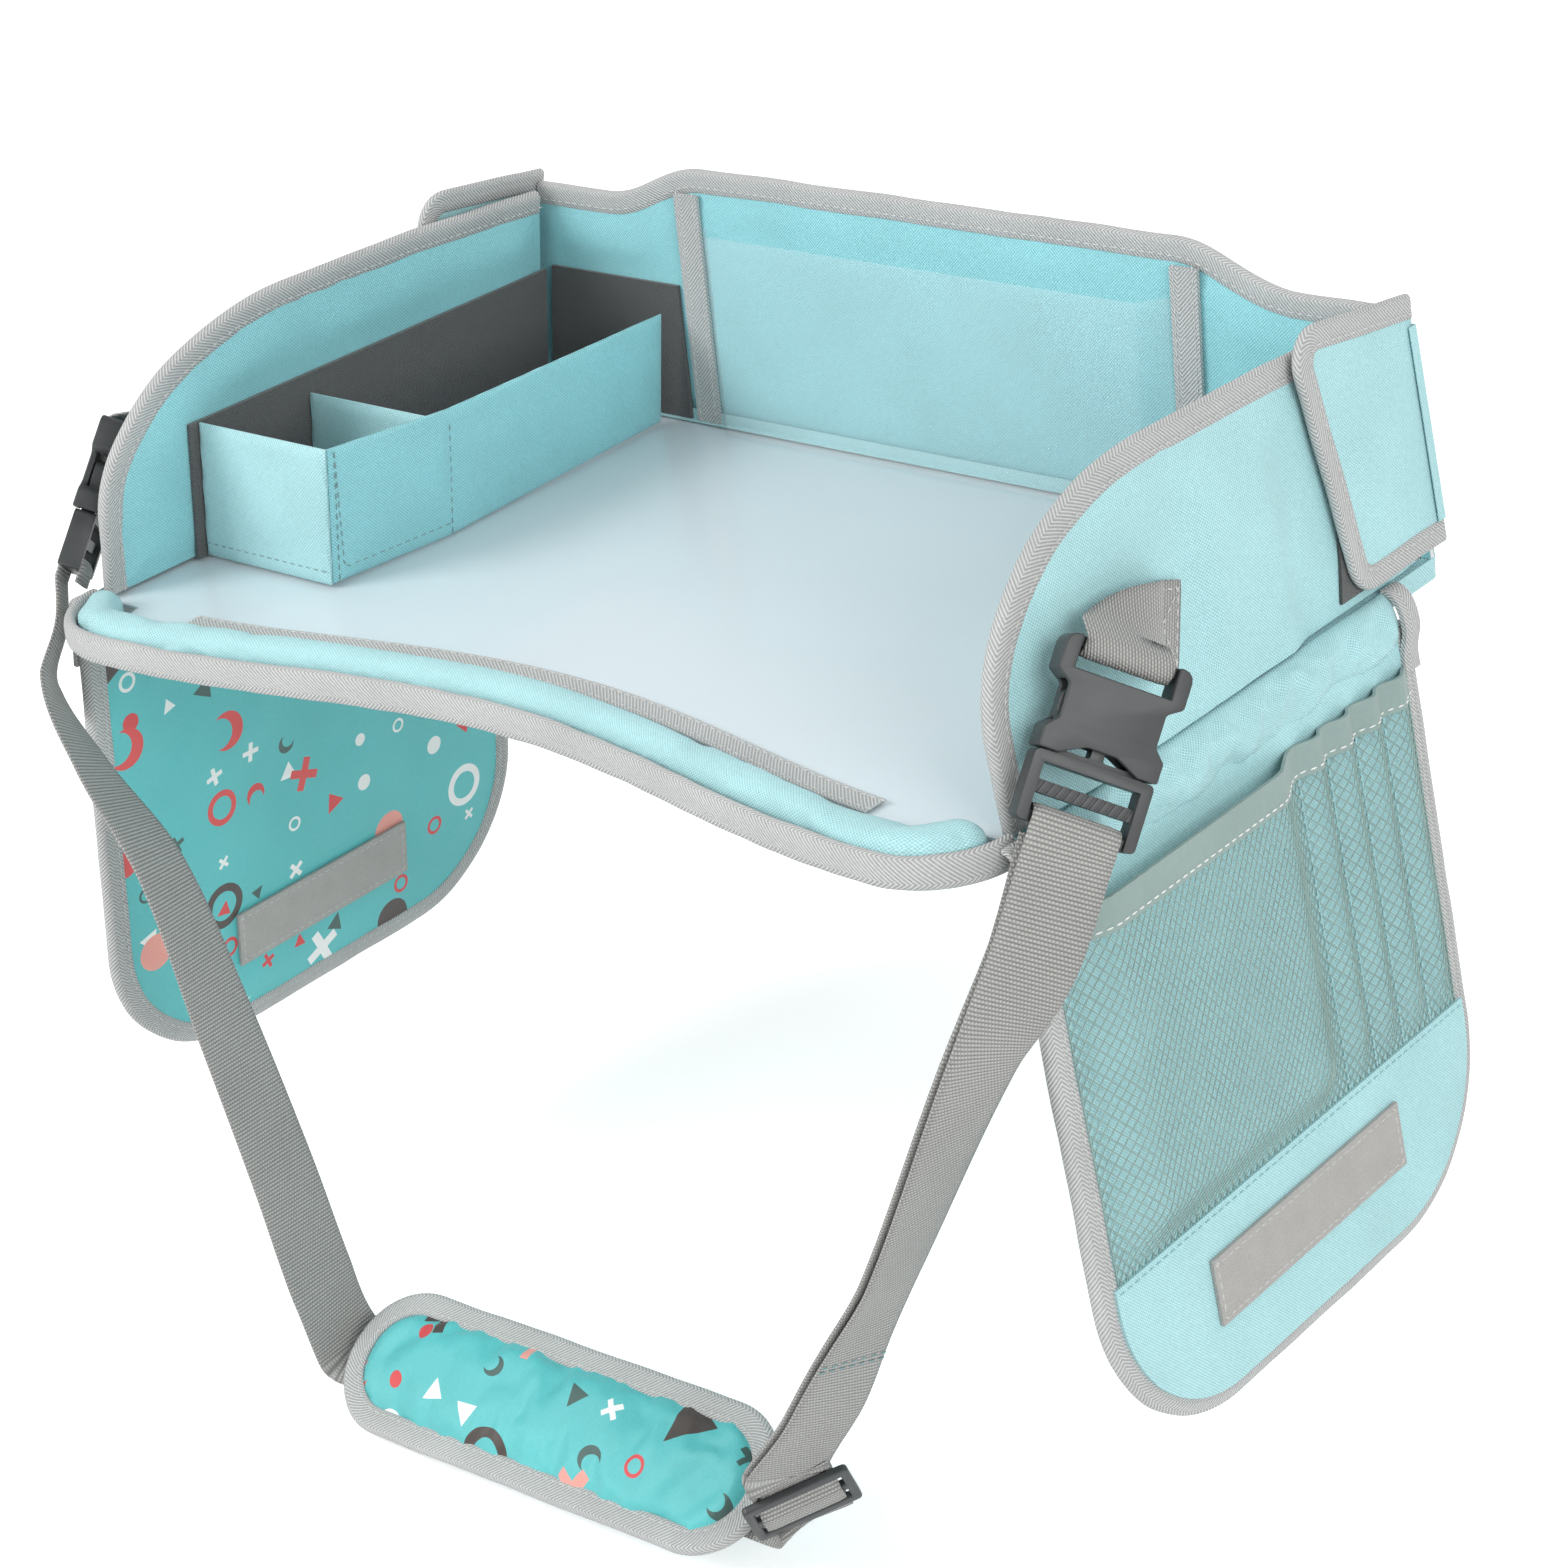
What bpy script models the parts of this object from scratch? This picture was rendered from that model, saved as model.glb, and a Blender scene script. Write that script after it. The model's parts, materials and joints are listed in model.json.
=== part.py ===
"""Car seat tray table: a soft travel tray with stand-up walls, hanging side flaps and a lap strap.

Lengths are in metres. The origin is the centre of the base's underside. +X is to the
right of the child who sits behind the tray's curved front, +Y points away from the child
and +Z is up.
"""

import math

import bmesh
import bpy
from mathutils import Matrix, Vector

GAP = 0.0003                    # between pieces that rest on each other

# Base: the board sandwich that everything stands on
TRAY_WIDTH = 0.420              # between the side walls at the base
WALL_LENGTH = 0.251             # side walls, front edge to back wall
WALL_STACK = 0.0080             # board and two covers of a side wall
BACK_STACK = 0.0060
BOTTOM_COVER = 0.0012
BOARD = 0.0046
DRAWING_SHEET = 0.0010
FILM = 0.0004
FRONT_REACH = 0.0095            # the curved front's middle, ahead of the side walls
FRONT_BULGE = 0.026             # how much further its two lobes reach
LOBE_SETBACK = 0.025            # the lobes' middles, in from the side walls
CORNER_RADIUS = 0.035
CORNER_SETBACK = 0.0025         # the corner arcs end this far ahead of the walls
FRONT_BINDING_WIDTH = 0.005
FRONT_BINDING_HEIGHT = 0.012
FRONT_BINDING_FOOT = 0.0014     # how far its foot stands in from its bulge
ROLL_WIDTH = 0.019
ROLL_HEIGHT = 0.017
FILM_TAPE_WIDTH = 0.010
FILM_TAPE_THICKNESS = 0.0008
FILM_TAPE_SETBACK = 0.003       # from the roll
FILM_TAPE_END = 0.020           # its ends, in from the lobes' middles

# Side walls, drawn in the plane of the wall and leaned inwards
WALL_HEIGHT = 0.098
WALL_REAR_HEIGHT = 0.092
WALL_NOSE_LENGTH = 0.102        # the curve from the front edge to the top
WALL_NOSE_START = 0.030
WALL_LEAN = math.radians(8.5)
WALL_BOARD = 0.0028
WALL_COVER = 0.0020
WALL_REAR_CLEARANCE = 0.0050    # to the back wall, past the tablet pocket's tapes
HINGE_STANDOFF = 0.0014         # fold line to the wall's inner face
BINDING_DEPTH = 0.013
BINDING_LIP = 0.0008            # how far a binding stands proud of what it binds
BINDING_SLOT_DEPTH = 0.008

# Back wall and tablet pocket
BACK_LOW = 0.093                # its top over the corners
BACK_HIGH = 0.108               # and over the middle
BACK_STEP_SETBACK = 0.044       # the step's outer end, in from the side walls
BACK_STEP_RUN = 0.052
BACK_BOARD = 0.0020
BACK_COVER = 0.0016
TAPE_SETBACK = 0.090            # the pocket's tapes, in from the side walls
TAPE_WIDTH = 0.012
TAPE_THICKNESS = 0.0018
TABLET_FILM = 0.0010
TABLET_POCKET_DEPTH = 0.0105
TABLET_FILM_TOP = 0.085
TABLET_FILM_SLOPE = 0.010       # the film's run from the tape to its full depth

# Tabs that wrap from the back wall round the side walls
TAB_TOP_REACH = 0.076
TAB_BOTTOM_REACH = 0.058
TAB_TOP = 0.106
TAB_TOP_REAR = 0.096
TAB_BOTTOM = 0.004
TAB_THICKNESS = 0.0040
TAB_BINDING = 0.011
TAB_CORNER = 0.0135
TAB_STANDOFF = 0.0016           # outer face of the wall to the inner face of the tab
HOOK_PATCH = 0.0012
PATCH_REAR = 0.006
PATCH_BOTTOM_REACH = 0.058
PATCH_TOP_REACH = 0.062
PATCH_TOP = 0.084
PATCH_BULGE = 0.006

# Side flaps, drawn hanging straight down from their fold and then flared
FLAP_FRONT = 0.010              # ahead of the side wall's front edge
FLAP_REAR = 0.025               # short of the back wall
FLAP_DROP = 0.222
FLAP_CORNER = 0.065
FLAP_FLARE = math.radians(8.0)
FLAP_THICKNESS = 0.0052
FLAP_STANDOFF = 0.0012
SHOULDER_RISE = 0.0095
SHOULDER_WIDTH = 0.0120
SHOULDER_DROP = 0.016
POCKET_STANDOFF = 0.009         # free depth of the net pocket
BAND_DROP = 0.018               # top of the grey band below the fold
BAND_HEIGHT = 0.012
BAND_THICKNESS = 0.0014
NET_STRAND = 0.0013
NET_BOTTOM = 0.148
NET_COLUMNS = 12
NET_ROWS = 7
PEN_SLOTS = 4
PEN_SLOT_WIDTH = 0.0185
LOWER_BAND = 0.0016
LOWER_BAND_TOP = 0.150
STRIP_LENGTH = 0.120
STRIP_HEIGHT = 0.025
STRIP_THICKNESS = 0.0014
STRIP_TOP = 0.166
STRIP_PLACE = -0.019            # its middle along the flap
INNER_STRIP_LENGTH = 0.100

# Snack pocket on the left wall
SNACK_FRONT = 0.048             # front panel, behind the wall's front edge
SNACK_DEPTH = 0.070             # long panel, in from the wall at the base
SNACK_HEIGHT = 0.057
SNACK_REAR_HEIGHT = 0.049
SNACK_DIVIDER = 0.107
SNACK_PANEL = 0.0030
SNACK_REAR_CLEARANCE = 0.010
SNACK_FLOOR = 0.0008
BACKING_THICKNESS = 0.0014
BACKING_SHOWS = 0.005           # ahead of the front panel
BACKING_HEIGHT = 0.058
REAR_STRIP_SHOWS = 0.009

# Side release buckles, drawn with their insertion along +Y and their face to +Z
BUCKLE_STANDOFF = 0.026         # its middle, out from the side wall's fold
BUCKLE_BACK = 0.022             # behind the wall's front edge
BUCKLE_RISE = 0.029             # above the drawing surface
BUCKLE_DROP = math.radians(53)  # how steeply it points down and forwards
BUCKLE_TURN = math.radians(39.6)  # turned from the wall towards the front
SOCKET_WIDTH = 0.043
SOCKET_TOP = 0.030
SOCKET_MOUTH = -0.007
SOCKET_ARCH = 0.004
SOCKET_THICKNESS = 0.0115
SOCKET_WAIST = 0.0330
SOCKET_MOUTH_WIDTH = 0.0405
WINDOW_TOP = 0.0145
WINDOW_BOTTOM = 0.0035
CAVITY_TOP = 0.0165
CAVITY_WIDTH = 0.0355
CAVITY_THICKNESS = 0.0066
SLOT_WIDTH = 0.0330
SLOT_BOTTOM = 0.0195
BAR_DEPTH = 0.0036
BAR_THICKNESS = 0.0044
PLUG_BOTTOM = -0.030
PLUG_WIDTH = 0.0405
PLUG_THICKNESS = 0.0085
PLUG_RUNNING_GAP = 0.0005
CROSSPIECE = 0.0035
RIB_BAR_PLACE = -0.0185
RIB_BAR_DEPTH = 0.0042
RIB_COUNT = 11
RIB_DEPTH = 0.0005
RIB_WIDTH = 0.0011
PRONG_THICKNESS = 0.0052
PRONG_TIP = 0.0145
PRONG_OUTER = 0.0160
PRONG_ARM = 0.0034
PAD_OUTER = 0.0173
PAD_START = 0.0045
GUIDE_WIDTH = 0.0044
GUIDE_TIP = 0.0120

# Webbing, lap strap, tri-glide and pad
WEBBING = 0.030
WEBBING_THICKNESS = 0.0015
EYE_CLEARANCE = 0.00035
LAYER_GAP = 0.0008
RETURN_GAP = 0.0016
ANCHOR_PLACE = 0.090            # where the webbing is sewn to the wall, behind its front edge
ANCHOR_RISE = 0.036
ANCHOR_TAIL = 0.010
ANCHOR_LIFT = 0.004
ANCHOR_LEAD = 0.0095            # straight part behind the bar
STRAP_FORWARD = 0.030           # the hanging loop's plane, ahead of the walls' front edge
STRAP_DROP = 0.284              # the pad's middle below the drawing surface
TAIL = 0.006
SLIDER_OUT = 0.0253             # beyond the pad's end
SLIDER_UP = 0.017               # and above the pad's plane
SLIDER_BEND = 0.006
SLIDER_LENGTH = 0.026
SLIDER_WIDTH = 0.040
SLIDER_THICKNESS = 0.0030
SLIDER_RAIL = 0.0040
SLIDER_BAR = 0.0042
PAD_LENGTH = 0.215
PAD_WIDTH = 0.060
PAD_RIM = 0.0027
PAD_CROWN = 0.0038
PAD_SHOULDER = 0.018            # the crown's rise, in from the edge
PAD_LIPS = 0.0050
PAD_CHANNEL = 0.0042            # free height of the sleeve
PAD_SLEEVE = 0.0012
PAD_SLEEVE_LENGTH = 0.150
PAD_BINDING = 0.010
PAD_SLOT = 0.007
PAD_TILT = math.radians(35.8)
PAD_SLOPE = math.radians(2.9)
# The strap's way from the buckles to the pad: shares of the buckle's distance from the middle, of
# the loop's distance ahead and of its drop, then the strap's width direction
LEFT_WAY_SHARES = (
    ((-0.995, 0.25, -0.040), (0.64, -0.62, 0.46)),
    ((-0.975, 0.72, -0.105), (0.62, -0.68, 0.38)),
    ((-0.870, 0.95, -0.200), (0.50, -0.82, 0.27)),
    ((-0.730, 1.02, -0.325), (0.30, -0.95, 0.12)),
    ((-0.635, 1.05, -0.542), (0.10, -1.00, 0.00)),
    ((-0.555, 1.06, -0.757), (0.00, -1.00, -0.10)),
    ((-0.505, 1.05, -0.925), (0.00, -0.92, -0.40)),
)
RIGHT_WAY_SHARES = (
    ((0.640, 1.50, -0.765), (-0.45, -0.88, -0.15)),
    ((0.695, 1.28, -0.660), (-0.25, -0.96, -0.05)),
    ((0.764, 1.10, -0.542), (-0.10, -1.00, 0.00)),
    ((0.930, 1.00, -0.240), (-0.30, -0.94, 0.15)),
    ((0.995, 0.62, -0.108), (-0.60, -0.70, 0.36)),
)
SLIDER_ACROSS_SHARES = (0.62, 0.73, 0.28)
SLIDER_ALONG_SHARES = (0.195, -0.488, 0.85)

TEAL = (0.47, 0.80, 0.80)
DEEP_TEAL = (0.23, 0.62, 0.60)
GREY = (0.55, 0.55, 0.54)
WEB_GREY = (0.42, 0.42, 0.40)
BLACK = (0.03, 0.03, 0.035)
WHITE = (0.80, 0.84, 0.88)

BASE_TOP = BOTTOM_COVER + BOARD + DRAWING_SHEET + FILM + 3 * GAP
HALF_WIDTH = TRAY_WIDTH / 2
HALF_LENGTH = WALL_LENGTH / 2
WALL_FRONT = -HALF_LENGTH
BACK_FACE = HALF_LENGTH
FOLD_HEIGHT = BASE_TOP + GAP
LOBE_PLACE = HALF_WIDTH - LOBE_SETBACK
FILM_TAPE_HALF = LOBE_PLACE - FILM_TAPE_END
BACK_STEP_OUTER = HALF_WIDTH - BACK_STEP_SETBACK
BACK_STEP_INNER = BACK_STEP_OUTER - BACK_STEP_RUN
TAPE_PLACE = HALF_WIDTH - TAPE_SETBACK
BUCKLE_OUT = HALF_WIDTH + BUCKLE_STANDOFF
SIDES = (("right", 1), ("left", -1))

XY = Matrix.Identity(4)
YZ = Matrix(((0, 0, 1, 0), (1, 0, 0, 0), (0, 1, 0, 0), (0, 0, 0, 1)))
XZ = Matrix(((1, 0, 0, 0), (0, 0, -1, 0), (0, 1, 0, 0), (0, 0, 0, 1)))


def clear_scene():
    for obj in list(bpy.data.objects):
        bpy.data.objects.remove(obj, do_unlink=True)


def collection(name):
    made = bpy.data.collections.new(name)
    bpy.context.scene.collection.children.link(made)
    return made


def principled(name, colour, roughness, metallic=0.0, alpha=1.0):
    material = bpy.data.materials.new(name)
    material.use_nodes = True
    shader = material.node_tree.nodes["Principled BSDF"]
    shader.inputs["Base Color"].default_value = (*colour, 1)
    shader.inputs["Roughness"].default_value = roughness
    shader.inputs["Metallic"].default_value = metallic
    shader.inputs["Alpha"].default_value = alpha
    return material


def link(name, data, parent=None, place=XY, group=None):
    obj = bpy.data.objects.new(name, data)
    (group or PARTS).objects.link(obj)
    obj.parent = parent
    obj.matrix_local = place
    return obj


def pivot(name, place, parent=None):
    """An empty on a joint's axis, which carries the pieces that turn about it."""
    return link(name, None, parent, place)


def carry(holder, names):
    """Makes the holder the parent of these objects, which stay where they are."""
    bpy.context.view_layer.update()
    for name in names:
        obj = bpy.data.objects[name]
        world = obj.matrix_world.copy()
        obj.parent = holder
        obj.matrix_parent_inverse = holder.matrix_world.inverted()
        obj.matrix_world = world


def finish(obj, material, smooth=True):
    obj.data.materials.clear()
    obj.data.materials.append(material)
    if smooth:
        obj.data.shade_smooth()
        obj.data.set_sharp_from_angle(angle=math.radians(35))
    return obj


def meshed(obj):
    """The mesh of a curve object, with its caps welded on, in place of the curve."""
    bpy.context.view_layer.update()
    graph = bpy.context.evaluated_depsgraph_get()
    mesh = bpy.data.meshes.new_from_object(obj.evaluated_get(graph))
    work = bmesh.new()
    work.from_mesh(mesh)
    bmesh.ops.remove_doubles(work, verts=work.verts, dist=GAP / 30)
    bmesh.ops.recalc_face_normals(work, faces=work.faces)
    work.to_mesh(mesh)
    work.free()
    made = link("meshed", mesh, obj.parent, obj.matrix_local.copy(), obj.users_collection[0])
    name = obj.name
    bpy.data.objects.remove(obj)
    made.name = name
    return made


def curve(name, lines, cyclic=True, flat=True):
    data = bpy.data.curves.new(name, "CURVE")
    data.dimensions = "2D" if flat else "3D"
    for line in lines:
        spline = data.splines.new("POLY")
        spline.points.add(len(line) - 1)
        for point, place in zip(spline.points, line):
            point.co = (*place, *([0] * (3 - len(place))), 1)
        spline.use_cyclic_u = cyclic
    return data


def plate(name, outlines, thickness, material, parent=None, place=XY, group=None):
    """A flat piece: outlines in the plane, filled and given a thickness about that plane."""
    data = curve(name, outlines)
    data.fill_mode = "BOTH"
    data.extrude = thickness / 2
    return finish(meshed(link(name, data, parent, place, group)), material)


def swept(name, path, section, material, parent=None, place=XY, cyclic=False, radii=None, flat=True):
    """A section carried along a path: its X lies across the path and its Y along the plane's normal."""
    guide = link(name + "_section", curve(name + "_section", [section]), group=GUIDES)
    guide.hide_render = True
    guide.display_type = "WIRE"
    data = curve(name, [path], cyclic, flat)
    data.bevel_mode = "OBJECT"
    data.bevel_object = guide
    data.use_fill_caps = not cyclic
    for index, radius in enumerate(radii or []):
        data.splines[0].points[index].radius = radius
    made = meshed(link(name, data, parent, place))
    bpy.data.objects.remove(guide)
    return finish(made, material)


def boolean(obj, other, operation):
    """Joins or cuts obj with other, which is then kept as a hidden cutter or removed."""
    modifier = obj.modifiers.new(operation.title(), "BOOLEAN")
    modifier.operation = operation
    modifier.solver = "EXACT"
    modifier.object = other
    bpy.context.view_layer.update()
    graph = bpy.context.evaluated_depsgraph_get()
    mesh = bpy.data.meshes.new_from_object(obj.evaluated_get(graph))
    material = obj.data.materials[0]
    obj.modifiers.clear()
    obj.data = mesh
    bpy.data.objects.remove(other)
    return finish(obj, material)


def lofted(name, rings, material, parent=None, place=XY):
    """A closed skin through rings that turn and change along their way."""
    work = bmesh.new()
    rows = [[work.verts.new(point) for point in ring] for ring in rings]
    for near, far in zip(rows, rows[1:]):
        for index in range(len(near)):
            after = (index + 1) % len(near)
            work.faces.new((near[index], near[after], far[after], far[index]))
    work.faces.new(rows[0][::-1])
    work.faces.new(rows[-1])
    bmesh.ops.recalc_face_normals(work, faces=work.faces)
    mesh = bpy.data.meshes.new(name)
    work.to_mesh(mesh)
    work.free()
    return finish(link(name, mesh, parent, place), material)


def offset(path, distance):
    """The path moved sideways, to the left of its direction."""
    moved = []
    for index, point in enumerate(path):
        before = Vector(path[max(index - 1, 0)])
        after = Vector(path[min(index + 1, len(path) - 1)])
        along = (after - before).normalized()
        moved.append((point[0] - along.y * distance, point[1] + along.x * distance))
    return moved


def rounded(corners, radius, steps=5, closed=True):
    """A polygon whose corners are arcs. Corners are (x, y) or (x, y, its own radius)."""
    line = []
    count = len(corners)
    for index, corner in enumerate(corners):
        here = Vector(corner[:2])
        if not closed and index in (0, count - 1):
            line.append(tuple(here))
            continue
        before = (Vector(corners[index - 1][:2]) - here).normalized()
        after = (Vector(corners[(index + 1) % count][:2]) - here).normalized()
        turn = before.angle(after)
        own = corner[2] if len(corner) > 2 else radius
        reach = own / math.tan(turn / 2)
        centre = here + (before + after).normalized() * own / math.sin(turn / 2)
        start = here + before * reach - centre
        end = here + after * reach - centre
        sweep = start.angle_signed(end)
        for step in range(steps + 1):
            share = step / steps
            angle = -sweep * share
            line.append(tuple(centre + Matrix.Rotation(angle, 2) @ start))
    return line


def u_section(depth, thickness, slot_depth, slot, inside=1):
    """A binding's section: a folded tape with its slot on the inner side."""
    half = thickness / 2
    lip = slot / 2
    outer = -inside * depth / 2
    inner = inside * depth / 2
    floor = inner - inside * slot_depth
    soft = half * 2 / 3
    return [
        (outer, -soft), (outer + inside * (half - soft), -half), (inner, -half), (inner, -lip),
        (floor, -lip), (floor, lip), (inner, lip), (inner, half),
        (outer + inside * (half - soft), half), (outer, soft),
    ]


def ellipse(half_width, half_height, count):
    turns = [2 * math.pi * index / count for index in range(count)]
    return [(half_width * math.cos(turn), half_height * math.sin(turn)) for turn in turns]


# Base

def front_edge(inset=0.0, steps=30):
    """The curved front from its left corner to its right one, moved in by inset."""
    middle = WALL_FRONT - FRONT_REACH
    lobe = middle - FRONT_BULGE
    wave = math.pi / LOBE_PLACE
    centre = Vector((LOBE_PLACE, lobe + CORNER_RADIUS))
    line = []
    for step in range(steps + 1):
        x = LOBE_PLACE * step / steps
        slope = -FRONT_BULGE / 2 * wave * math.sin(wave * x)
        normal = Vector((-slope, 1)).normalized()
        y = middle - FRONT_BULGE * (1 - math.cos(wave * x)) / 2
        line.append((x + normal.x * inset, y + normal.y * inset))
    end = WALL_FRONT - CORNER_SETBACK
    last = math.asin((end - centre.y) / CORNER_RADIUS)
    corner_steps = steps // 4
    radius = CORNER_RADIUS - inset
    for step in range(1, corner_steps + 1):
        turn = -math.pi / 2 + (last + math.pi / 2) * step / corner_steps
        line.append((centre.x + radius * math.cos(turn), centre.y + radius * math.sin(turn)))
    return [(-x, y) for x, y in reversed(line[1:])] + line


def base_outline(inset, side_clearance=0.0):
    """Plan of a base sheet: the curved front, straight sides and a straight rear."""
    half = HALF_WIDTH + WALL_STACK - side_clearance
    rear = BACK_FACE + BACK_STACK - side_clearance
    front = front_edge(inset, 16)
    corner = front[-1][0]
    left = [(-half, WALL_FRONT), (-corner, WALL_FRONT)]
    return left + front + [(corner, WALL_FRONT), (half, WALL_FRONT), (half, rear), (-half, rear)]


def make_base():
    sheets_inset = FRONT_BINDING_WIDTH + ROLL_WIDTH + 2 * GAP
    height = 0.0
    sheets = (
        ("base_bottom_cover", BOTTOM_COVER, FRONT_BINDING_WIDTH + GAP, M_TEAL),
        ("base_board", BOARD, sheets_inset, M_BOARD),
        ("drawing_board", DRAWING_SHEET, sheets_inset, M_WHITE),
        ("board_film", FILM, sheets_inset, M_CLEAR),
    )
    for name, thickness, inset, material in sheets:
        place = Matrix.Translation((0, 0, height + thickness / 2))
        plate(name, [base_outline(inset)], thickness, material, place=place)
        height += thickness + GAP
    half = FRONT_BINDING_WIDTH / 2
    top = FRONT_BINDING_HEIGHT
    foot = FRONT_BINDING_FOOT
    section = [
        (half - foot, GAP), (half, top / 4), (half, top * 2 / 3), (half - foot, top),
        (-half + foot, top), (-half, top * 3 / 4), (-half, GAP),
    ]
    swept("base_binding", front_edge(FRONT_BINDING_WIDTH / 2), section, M_GREY)
    roll_inset = FRONT_BINDING_WIDTH + GAP + ROLL_WIDTH / 2
    path = front_edge(roll_inset)
    lengths = [0.0]
    for before, after in zip(path, path[1:]):
        lengths.append(lengths[-1] + (Vector(after) - Vector(before)).length)
    radii = []
    for length in lengths:
        short = max(0.0, 1 - min(length, lengths[-1] - length) / (ROLL_WIDTH / 2))
        radii.append(max(1 / 4, math.sqrt(1 - short * short)))
    section = ellipse(ROLL_WIDTH / 2, ROLL_HEIGHT / 2, 12)
    rise = Matrix.Translation((0, 0, BOTTOM_COVER + GAP + ROLL_HEIGHT / 2))
    swept("front_bumper_roll", path, section, M_TEAL, place=rise, radii=radii)
    tape_inset = sheets_inset + FILM_TAPE_SETBACK
    outer = [point for point in front_edge(tape_inset, 16) if abs(point[0]) < FILM_TAPE_HALF]
    inner = offset(outer, FILM_TAPE_WIDTH)
    rise = Matrix.Translation((0, 0, FOLD_HEIGHT + FILM_TAPE_THICKNESS / 2))
    plate("film_edge_tape", [outer + inner[::-1]], FILM_TAPE_THICKNESS, M_GREY, place=rise)


# Side walls

def wall_edge(inset=0.0, steps=14):
    """The wall's front and top edge in its plane, from the front foot to the rear top."""
    line = [(WALL_FRONT, 0.0)]
    rise = WALL_HEIGHT - WALL_NOSE_START
    centre = WALL_FRONT + WALL_NOSE_LENGTH
    for step in range(steps + 1):
        turn = math.pi / 2 * step / steps
        y = centre - WALL_NOSE_LENGTH * math.cos(turn)
        line.append((y, WALL_NOSE_START + rise * math.sin(turn)))
    rear = BACK_FACE - WALL_REAR_CLEARANCE
    line.append(((centre + rear) / 2, WALL_HEIGHT - (WALL_HEIGHT - WALL_REAR_HEIGHT) / 4))
    line.append((rear, WALL_REAR_HEIGHT))
    return offset(line, -inset)


def wall_outline(inset):
    edge = wall_edge(inset)
    rear = edge[-1][0]
    return [(edge[0][0], GAP)] + edge[1:] + [(rear, GAP)]


def wall_place(side):
    """The leaned frame of a side wall: its origin on the fold line, its X pointing outwards or inwards."""
    turn = Matrix.Rotation(-side * WALL_LEAN, 4, "Y")
    return Matrix.Translation((side * (HALF_WIDTH - HINGE_STANDOFF), 0, FOLD_HEIGHT)) @ turn


def outwards(side, distance):
    return Matrix.Translation((side * distance, 0, 0)) @ YZ


def make_walls():
    layers = (
        ("inner_cover", WALL_COVER, M_TEAL),
        ("board", WALL_BOARD, M_BOARD),
        ("outer_cover", WALL_COVER, M_TEAL),
    )
    stack = 2 * WALL_COVER + WALL_BOARD + 2 * GAP
    for name, side in SIDES:
        fold = pivot(name + "_wall_fold", wall_place(side))
        PIVOTS[name + "_wall"] = fold
        depth = HINGE_STANDOFF + (WALL_STACK - stack) / 2
        for layer, thickness, material in layers:
            inset = BINDING_DEPTH + GAP
            if layer == "board":
                inset = BINDING_DEPTH - BINDING_SLOT_DEPTH + GAP
            place = outwards(side, depth + thickness / 2)
            plate(f"{name}_wall_{layer}", [wall_outline(inset)], thickness, material, fold, place)
            depth += thickness + GAP
        section = u_section(BINDING_DEPTH, WALL_STACK, BINDING_SLOT_DEPTH, WALL_BOARD + 2 * GAP)
        edge = wall_edge(BINDING_DEPTH / 2)
        edge[0] = (edge[0][0], GAP)
        place = outwards(side, HINGE_STANDOFF + WALL_STACK / 2)
        swept(f"{name}_wall_binding", edge, section, M_GREY, fold, place)


# Back wall, its tablet pocket and its tabs

def back_half(height):
    """Half the back wall's width at a height: it ends against the tabs' inner faces."""
    outer = HINGE_STANDOFF + WALL_STACK + TAB_STANDOFF - BINDING_LIP - GAP
    return HALF_WIDTH - HINGE_STANDOFF + outer / math.cos(WALL_LEAN) - height * math.tan(WALL_LEAN)


def back_top(x):
    share = (abs(x) - BACK_STEP_INNER) / (BACK_STEP_OUTER - BACK_STEP_INNER)
    share = min(max(share, 0), 1)
    return BACK_HIGH + (BACK_LOW - BACK_HIGH) * (1 - math.cos(math.pi * share)) / 2


def back_edge(inset=0.0):
    reach = back_half(BACK_LOW)
    step = BACK_STEP_OUTER - BACK_STEP_INNER
    places = [reach, BACK_STEP_OUTER]
    places += [BACK_STEP_OUTER - step * part / 6 for part in range(1, 7)]
    xs = [-x for x in places] + places[::-1]
    return offset([(x, back_top(x)) for x in xs], -inset)


def back_outline(inset):
    edge = back_edge(inset)
    top = edge[-1][1]
    edge[0] = (-back_half(top), edge[0][1])
    edge[-1] = (back_half(top), top)
    return [(-back_half(0), GAP)] + edge + [(back_half(0), GAP)]


def facing(depth):
    """The back wall's plane, this far behind its inner face, in its fold's frame."""
    return Matrix.Translation((0, depth - BACK_STACK - GAP, 0)) @ XZ


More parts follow.
